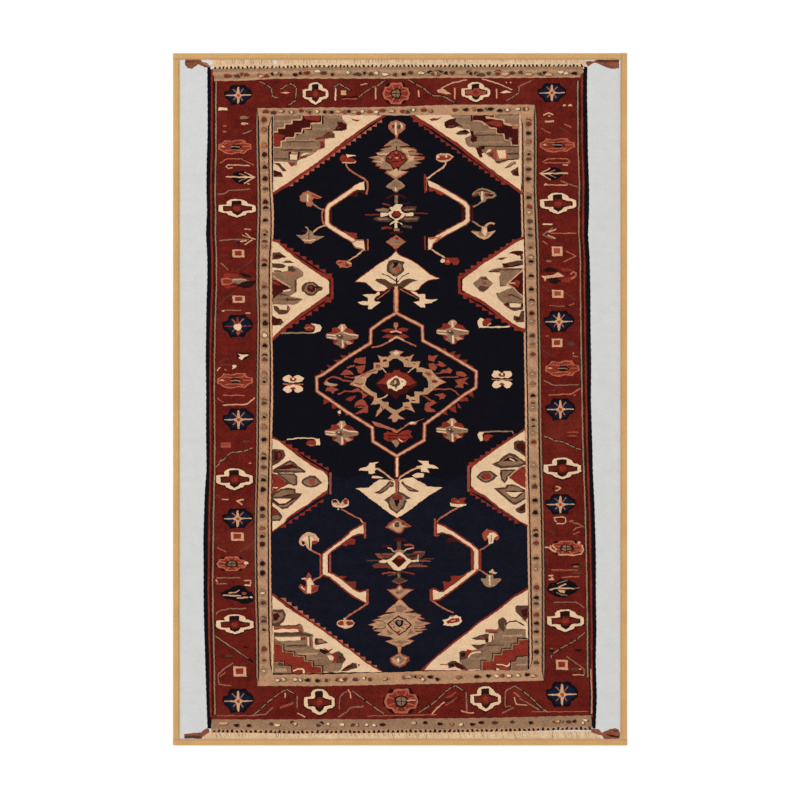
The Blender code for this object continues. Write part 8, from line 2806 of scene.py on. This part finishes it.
@dataclass
class PrintedCloth:
    """The printed cloth: a flat pile whose rim is pressed thinner under the tape.

    Lengths are in metres, but for the step of its outlines and the reach of the lattice of extra
    corners, which are in the print's centimetres.
    """

    half_width: float = 0.797
    half_length: float = 1.217
    rim_end: float = 0.776
    open_start: float = 0.772
    rim_top: float = 0.0065
    open_top: float = 0.0080
    rim_low: float = 0.0052
    open_low: float = 0.0051
    step: float = 4.0
    lattice_x: float = 76.0
    lattice_y: float = 118.0
    swell: float = 0.00012

    def top_height(self, x: np.ndarray, y: np.ndarray) -> np.ndarray:
        """Height of the pile: flat, down a straight slope at the rim, with slight level waves.

        The waves are a product of sines, one across and one along, and half a finer slanting one.
        """
        share = self.slope_share(x, y)
        wave = np.sin(9.0 * x + 1.0) * np.sin(5.0 * y) + 0.5 * np.sin(21.0 * y + 4.0 * x)
        return self.rim_top + (self.open_top - self.rim_top) * share + self.swell * wave * share

    def slope_share(self, x: np.ndarray, y: np.ndarray) -> np.ndarray:
        """How far a place is up the rim's slope: its distance in from the rim, from 0 to 1."""
        inset = np.minimum(self.half_width - np.abs(x), self.half_length - np.abs(y))
        start = self.half_width - self.rim_end
        return np.clip((inset - start) / (self.rim_end - self.open_start), 0, 1)

    def frame_outline(self, shrink: float) -> np.ndarray:
        """A rectangle this far inside the cloth's edge, in centimetres, cut at every step."""
        x = (self.half_width - shrink) / CM
        y = (self.half_length - shrink) / CM
        return subdivide(np.array([[-x, -y], [x, -y], [x, y], [-x, y]]), self.step)

    def build(self, art: Artwork) -> bpy.types.Object:
        """Cuts the cloth's top along every inked outline and closes it over a plain underside.

        Returns:
            The closed cloth, with each face's ink kept at its corners.
        """
        rim = self.frame_outline(0.0)
        folds = [self.frame_outline(self.half_width - at) for at in (self.rim_end, self.open_start)]
        outlines = [rim, *folds, *[patch for _, patch in art.patches[1:]]]
        xs = np.arange(-self.lattice_x, self.lattice_x + 1, self.step)
        ys = np.arange(-self.lattice_y, self.lattice_y + 1, self.step)
        lattice = np.stack(np.meshgrid(xs, ys), -1).reshape(-1, 2)
        spots, triangles, origin = cut_plane(outlines, lattice)
        LOG.info("print: %d outlines, %d triangles", len(outlines), len(triangles))
        inks = art.inks_at(spots[triangles].mean(axis=1))
        x, y = spots[:, 0] * CM, spots[:, 1] * CM
        top = np.column_stack([x, y, self.top_height(x, y)])
        base, base_triangles = self.underside([rim, *folds])
        wall = self.wall(len(rim), len(top), origin)
        faces = np.vstack([triangles, wall, base_triangles + len(top)])
        piece = make_piece("printed_cloth_pile", np.vstack([top, base]), faces)
        tones = np.array([(*linear(ink.value[:3]), ink.value[3]) for ink in Ink])
        back = np.full(len(wall) + len(base_triangles), list(Ink).index(Ink.BACK))
        every = tones[np.concatenate([inks, back])]
        layer = piece.data.color_attributes.new(INK_LAYER, "FLOAT_COLOR", "CORNER")
        layer.data.foreach_set("color", np.repeat(every, 3, axis=0).astype(np.float32).ravel())
        face_outwards(piece)
        return piece

    def wall(self, count: int, offset: int, origin: list) -> np.ndarray:
        """The triangles round the rim, from the top down to the underside's first points.

        Args:
            count: how many points the rim has.
            offset: the number of the underside's first point.
            origin: for each point of the top, the numbers of the points it came from.

        Returns:
            Two triangles for each piece of the rim.
        """
        high = np.full(count, -1)
        for index, sources in enumerate(origin):
            for source in sources:
                if source < count:
                    high[source] = index
        ring = np.arange(count)
        after = (ring + 1) % count
        low = offset + ring
        return np.vstack([
            np.column_stack([high, low, low[after]]),
            np.column_stack([high, low[after], high[after]]),
        ])

    def underside(self, rings: list[np.ndarray]) -> tuple[np.ndarray, np.ndarray]:
        """The plain underside, whose first points are the rim's.

        Args:
            rings: the rim and the two folds, in centimetres.

        Returns:
            Its points in metres, and its triangles, facing down.
        """
        spots, triangles, origin = cut_plane(rings)
        order = np.argsort(np.array([sources[0] for sources in origin]))
        renumber = np.empty(len(order), dtype=int)
        renumber[order] = np.arange(len(order))
        x, y = spots[order, 0] * CM, spots[order, 1] * CM
        height = self.rim_low + (self.open_low - self.rim_low) * self.slope_share(x, y)
        return np.column_stack([x, y, height]), renumber[triangles][:, ::-1]


@dataclass
class Layer:
    """A full-size sheet under the cloth, with a pressed rim and a patterned open part.

    Heights are in metres: underside and top in the open, then underside and top at the rim.
    """

    name: str
    low: float
    high: float
    rim_low: float
    rim_high: float
    half_width: float = 0.797
    half_length: float = 1.217
    pitch: float = 0.0105
    dimple: float = 0.0006
    over_share: float = 0.3
    fold_start: float = 0.021
    fold_end: float = 0.025

    def marks(self, half: float) -> np.ndarray:
        """Places of the grid's lines across one side: the edge, both folds and an even pitch."""
        inner = half - self.fold_end
        count = 2 * int(inner / self.pitch) + 1
        middle = np.linspace(-inner, inner, count)
        edge = np.array([half, half - self.fold_start])
        return np.concatenate([-edge, middle, edge[::-1]])

    def build(self) -> bpy.types.Object:
        """A grid over and a grid under, joined round the rim.

        Every other point of the underside is raised a little in the open, which makes a waffle,
        and the top sinks by a share of that.
        """
        xs, ys = self.marks(self.half_width), self.marks(self.half_length)
        x, y = np.meshgrid(xs, ys)
        inset = np.minimum(self.half_width - np.abs(x), self.half_length - np.abs(y))
        share = np.clip((inset - self.fold_start) / (self.fold_end - self.fold_start), 0, 1)
        rows, columns = x.shape
        i, j = np.meshgrid(np.arange(columns), np.arange(rows))
        waffle = self.dimple * ((i + j) % 2) * (share >= 1)
        over = self.rim_high + (self.high - self.rim_high) * share - self.over_share * waffle
        under = self.rim_low + (self.low - self.rim_low) * share + waffle
        top = np.column_stack([x.ravel(), y.ravel(), over.ravel()])
        bottom = np.column_stack([x.ravel(), y.ravel(), under.ravel()])
        index = np.arange(rows * columns).reshape(rows, columns)
        ring = np.concatenate([index[0, :], index[1:, -1], index[-1, -2::-1], index[-2:0:-1, 0]])
        after = np.roll(ring, -1)
        below = rows * columns
        wall = np.column_stack([ring + below, after + below, after, ring])
        faces = np.vstack([grid_faces(rows, columns), grid_faces(rows, columns, below, True), wall])
        piece = make_piece(self.name, np.vstack([top, bottom]), faces)
        face_outwards(piece)
        return piece


class Side(Enum):
    """Sides of the rug: outward direction, and whether each end of the tape runs through."""

    LEFT = ("left", (-1, 0), False, False)
    RIGHT = ("right", (1, 0), False, True)
    TOP = ("top", (0, 1), True, False)
    BOTTOM = ("bottom", (0, -1), True, True)


@dataclass
class Binding:
    """One side's binding: a folded tape and two rows of stitches. Profiles are in millimetres."""

    side: Side
    width: float = 1.600
    length: float = 2.440
    reach: float = 23.0
    thickness: float = 1.1
    seam: float = 19.2
    stitch: float = 0.0050
    pucker: float = 0.32
    pucker_reach: float = 3.2
    lift: float = 0.10
    end_wall: float = 0.0011
    end_run: float = 0.0009
    end_gap: float = 0.12
    thread: float = 0.4
    twist: float = 0.6
    needle_height: float = 8.45
    needle_dive: float = 0.9
    bobbin_height: float = 0.5
    bobbin_dive: float = -0.5
    thread_end: float = 0.006
    gap: float = 0.3
    underside: tuple[float, ...] = (23, 0, 20.8, .2, 19.2, 1.2, 17.6, .2, 15, 0, 9, 0)
    top: tuple[float, ...] = (3.2, 7.9, 4.6, 8.7, 6, 9.1, 7.4, 9.35, 10.5, 9.5, 14, 9.3, 17.2, 8.8,
                              18.3, 8.35,
                              19.2, 8, 20.1, 8.3, 21, 8.5, 22, 8.35, 23, 8.1)
    nose: float = 4.4
    middle: float = 4.0
    tape_top: float = 8.0

    def outer(self) -> np.ndarray:
        """The outer profile as (inset, height) points: underside, round nose, crowned top."""
        angle = np.radians(np.linspace(270, 140, 9))
        nose = self.nose + self.nose * np.column_stack([np.cos(angle), np.sin(angle)])
        return np.vstack([path_of(self.underside), nose, path_of(self.top)])

    def inner(self, outer: np.ndarray) -> np.ndarray:
        """The outer profile moved inwards by the tape's thickness, along its normals."""
        before = np.vstack([outer[:1], outer[:-1]])
        after = np.vstack([outer[1:], outer[-1:]])
        along = after - before
        along = along / np.linalg.norm(along, axis=1, keepdims=True)
        return outer + self.thickness * np.column_stack([along[:, 1], -along[:, 0]])

    def span(self) -> tuple[float, float]:
        """Where the tape starts and stops along its edge, from the rug's middle, in metres."""
        half = self.edge() / 2
        short = (self.reach + self.gap) * MM
        _, _, start, stop = self.side.value
        return -half + (0.0 if start else short), half - (0.0 if stop else short)

    def edge(self) -> float:
        """The rug's size along this side."""
        return self.length if self.side.value[1][0] else self.width

    def place(self, along: np.ndarray, inset: np.ndarray, height: np.ndarray) -> np.ndarray:
        """Points in metres from a distance along the side, an inset and a height in millimetres."""
        ox, oy = self.side.value[1]
        reach = (self.width if ox else self.length) / 2
        out = reach - inset * MM
        along, out, up = np.broadcast_arrays(along, out, height * MM)
        return np.stack([abs(oy) * along + ox * out, abs(ox) * along + oy * out, up], axis=-1)

    def tape(self) -> bpy.types.Object:
        """The folded tape: its closed profile carried along the side, puckered at every stitch.

        Near the seam the top sinks by the pucker, and the underside rises by the lift, times a
        share that falls evenly with the distance to the seam, times a raised cosine along the
        stitch that is 1 at each needle hole. Free edges waver by a fifth of a millimetre. Over the
        last two millimetres before a corner that the tape runs through to, its two inner faces are
        pressed together, which closes the fold.
        """
        outer = self.outer()
        inner = self.inner(outer)
        start, stop = self.span()
        count = int(round((stop - start) / self.stitch)) * 4 + 1
        along = np.linspace(start, stop, count)
        closed = np.vstack([outer, inner[::-1]])
        inset = np.broadcast_to(closed[:, 0], (count, len(closed))).copy()
        height = np.broadcast_to(closed[:, 1], (count, len(closed))).copy()
        near = np.clip(1 - np.abs(inset - self.seam) / self.pucker_reach, 0, 1)
        phase = 0.5 + 0.5 * np.cos(2 * np.pi * (along - start) / self.stitch)[:, None]
        over = height > self.middle
        height = height - self.pucker * near * phase * over
        height = height + self.lift * near * phase * (1 - over) * (height > 0.05)
        free = np.clip((inset - 20.5) / 2.5, 0, 1)
        sway = 0.22 * np.sin(37.0 * along) + 0.16 * np.sin(171.0 * along + 1.0)
        inset = inset + free * sway[:, None]
        rise = 0.12 * np.sin(23.0 * along + 2.0) + 0.08 * np.sin(301.0 * along)
        height = height + rise[:, None] * np.clip(height - self.tape_top, 0, 1)
        _, _, starts_through, stops_through = self.side.value
        before = along - start if starts_through else np.ones(count)
        after = stop - along if stops_through else np.ones(count)
        near_end = np.minimum(before, after)
        spread = np.clip((near_end - self.end_wall) / self.end_run, 0, 1)[:, None]
        pressed = self.nose + np.clip(height - self.nose, -self.end_gap, self.end_gap)
        inner_face = np.arange(len(closed)) >= len(outer)
        height = np.where(inner_face, pressed + (height - pressed) * spread, height)
        rings = self.place(along[:, None], inset, height)
        points, faces = tube(rings, folded=True)
        return self.with_map(points, faces, rings, along, outer)

    def with_map(self, points: np.ndarray, faces: np.ndarray, rings: np.ndarray, along: np.ndarray,
                 outer: np.ndarray) -> bpy.types.Object:
        """Makes the tape's mesh, with a map in metres: along the side, and round the profile.

        Args:
            points: the tube's vertices.
            faces: the tube's triangles.
            rings: the profiles along the tape.
            along: the profiles' places along the side.
            outer: the outer profile.

        Returns:
            The tape.
        """
        piece = make_piece(f"edge_tape_fold_{self.side.value[0]}", points, faces)
        lengths = np.linalg.norm(np.diff(outer, axis=0), axis=1) * MM
        around = np.concatenate([[0], np.cumsum(lengths)])
        around = np.concatenate([around, around[::-1]])
        u, v = np.repeat(along, rings.shape[1]), np.tile(around, len(along))
        lay_map(piece, np.column_stack([u, v]))
        face_outwards(piece)
        return piece

    def stitches(self, name: str, height: float, dive: float, sides: int = 7) -> bpy.types.Object:
        """A row of lockstitches: a round thread that lies proud and dives at every needle hole.

        Its middle is at this height, less the dive times the eighth power of the cosine of half the
        stitch's phase, so each stitch is a long hump between two short dips.

        Args:
            name: the piece's name.
            height: the middle of the thread, in millimetres.
            dive: how far it dives at a hole, in millimetres; below zero it dives upwards.
            sides: how many corners its section has.

        Returns:
            The thread.
        """
        start, stop = self.span()
        start, stop = start + self.thread_end, stop - self.thread_end
        count = int(round((stop - start) / self.stitch)) * 6 + 1
        along = np.linspace(start, stop, count)
        turn = np.pi * (along - self.span()[0]) / self.stitch
        middle = height - dive * np.cos(turn) ** 8
        lean = 0.10 * np.sin(2 * turn)
        angle = np.linspace(0, 2 * np.pi, sides, endpoint=False)
        thick = self.thread * (1 - 0.18 * np.cos(turn) ** 8)
        inset = self.seam + lean[:, None] + thick[:, None] * np.cos(angle)
        up = middle[:, None] + thick[:, None] * np.sin(angle)
        rings = self.place(along[:, None], inset, up)
        points, faces = tube(rings)
        piece = make_piece(name, points, faces)
        u = np.concatenate([np.repeat(along, sides), along[[0, -1]]])
        v = np.concatenate([np.tile(angle * self.thread * MM, count), [0, 0]])
        lay_map(piece, np.column_stack([u + self.twist * v, v]))
        face_outwards(piece)
        return piece

    def build(self, tape: bpy.types.Material, thread: bpy.types.Material) -> None:
        """Makes and dresses the tape and both rows of stitches."""
        side = self.side.value[0]
        fold = self.tape()
        dress(fold, tape, "edge_tape", f"edge_tape_{side}")
        needle = self.stitches(f"needle_stitches_{side}", self.needle_height, self.needle_dive)
        dress(needle, thread, "seam_thread", f"needle_thread_{side}")
        bobbin = self.stitches(f"bobbin_stitches_{side}", self.bobbin_height, self.bobbin_dive)
        dress(bobbin, thread, "seam_thread", f"bobbin_thread_{side}")
        outline = self.outer()


@dataclass
class Studio:
    """A pale floor, soft light from every side and a camera straight above the rug.

    The lens is the sensor's width times the camera's height over the width that it sees.
    """

    height: float = 6.0
    view: float = 2.8224
    centre: tuple[float, float] = (-0.0004, -0.0025)
    floor_reach: float = 9.0
    floor_drop: float = 0.0002
    floor_tone: float = 0.93
    floor_glow: float = 0.2
    sky: float = 0.9
    sensor: float = 36.0

    def floor(self) -> None:
        """A large pale floor just under the rug."""
        signs = np.array([[-1, -1], [1, -1], [1, 1], [-1, 1]])
        corners = np.column_stack([signs * self.floor_reach, np.full(4, -self.floor_drop)])
        piece = make_piece("floor", corners, np.array([[0, 1, 2, 3]]))
        material = bpy.data.materials.new("floor")
        material.use_nodes = True
        shader = material.node_tree.nodes["Principled BSDF"]
        tone = self.floor_tone
        shader.inputs["Base Color"].default_value = (tone, tone, tone, 1.0)
        shader.inputs["Roughness"].default_value = 0.9
        shader.inputs["Specular IOR Level"].default_value = 0.1
        shader.inputs["Emission Color"].default_value = (1.0, 1.0, 1.0, 1.0)
        shader.inputs["Emission Strength"].default_value = self.floor_glow
        piece.data.materials.append(material)

    def lamp(self, name: str, where: tuple[float, float, float], size: float, power: float) -> None:
        """A square soft lamp that points at the rug."""
        light = bpy.data.lights.new(name, "AREA")
        light.size = size
        light.energy = power
        lamp = bpy.data.objects.new(name, light)
        lamp.location = where
        lamp.rotation_euler = (-Vector(where)).to_track_quat("-Z", "Y").to_euler()
        bpy.context.scene.collection.objects.link(lamp)

    def build(self) -> None:
        """Sets the floor, the lights and the camera."""
        self.floor()
        world = bpy.data.worlds.new("studio")
        world.use_nodes = True
        sky = world.node_tree.nodes["Background"]
        sky.inputs["Color"].default_value = (1.0, 1.0, 1.0, 1.0)
        sky.inputs["Strength"].default_value = self.sky
        bpy.context.scene.world = world
        bpy.context.scene.view_settings.view_transform = "Standard"
        self.lamp("key", (-3.0, 2.5, 4.5), 3.0, 40.0)
        data = bpy.data.cameras.new("camera")
        data.sensor_width = self.sensor
        data.lens = self.sensor * self.height / self.view
        data.clip_end = 60.0
        camera = bpy.data.objects.new("camera", data)
        camera.location = (*self.centre, self.height)
        bpy.context.scene.collection.objects.link(camera)
        bpy.context.scene.camera = camera


def main() -> None:
    """Builds the rug's pieces in order, from the floor up."""
    logging.basicConfig(level=logging.INFO, format="%(name)s: %(message)s")
    tufts, weave = tuft_group(), weave_group()
    Studio().build()
    backing = Layer("grip_backing_waffle", 0.0, 0.0022, 0.0026, 0.0033).build()
    rubber = PadFinish("grip_rubber", roughness=0.7, bump=0.3, colour=(112, 112, 114), grain=500.0)
    dress(backing, rubber.build(tufts), "grip_backing", "grip_backing")
    felt = Layer("cushion_felt_pad", 0.0025, 0.0048, 0.0036, 0.0049, dimple=0.0002).build()
    wool = PadFinish("grey_felt", roughness=1.0, sheen=0.2, bump=0.4, spread=0.5)
    dress(felt, wool.build(tufts), "cushion_felt", "cushion_felt")
    art = Artwork()
    Ground(art).build()
    Field(art).build()
    Borders(art).build()
    cloth = PrintedCloth().build(art)
    pile = PileFinish("printed_pile", roughness=0.95, sheen=0.02, specular=0.04, bump=0.25)
    dress(cloth, pile.build(tufts), "printed_pile", "printed_cloth")
    tape = WovenFinish("ochre_tape", roughness=0.85, sheen=0.15, bump=0.5)
    thread = WovenFinish("ochre_thread", roughness=0.6, sheen=0.1, bump=0.4, colour=(186, 138, 82),
                         warps=1500.0, wefts=800.0)
    for side in Side:
        Binding(side).build(tape.build(weave), thread.build(weave))


if __name__ == "__main__":
    main()
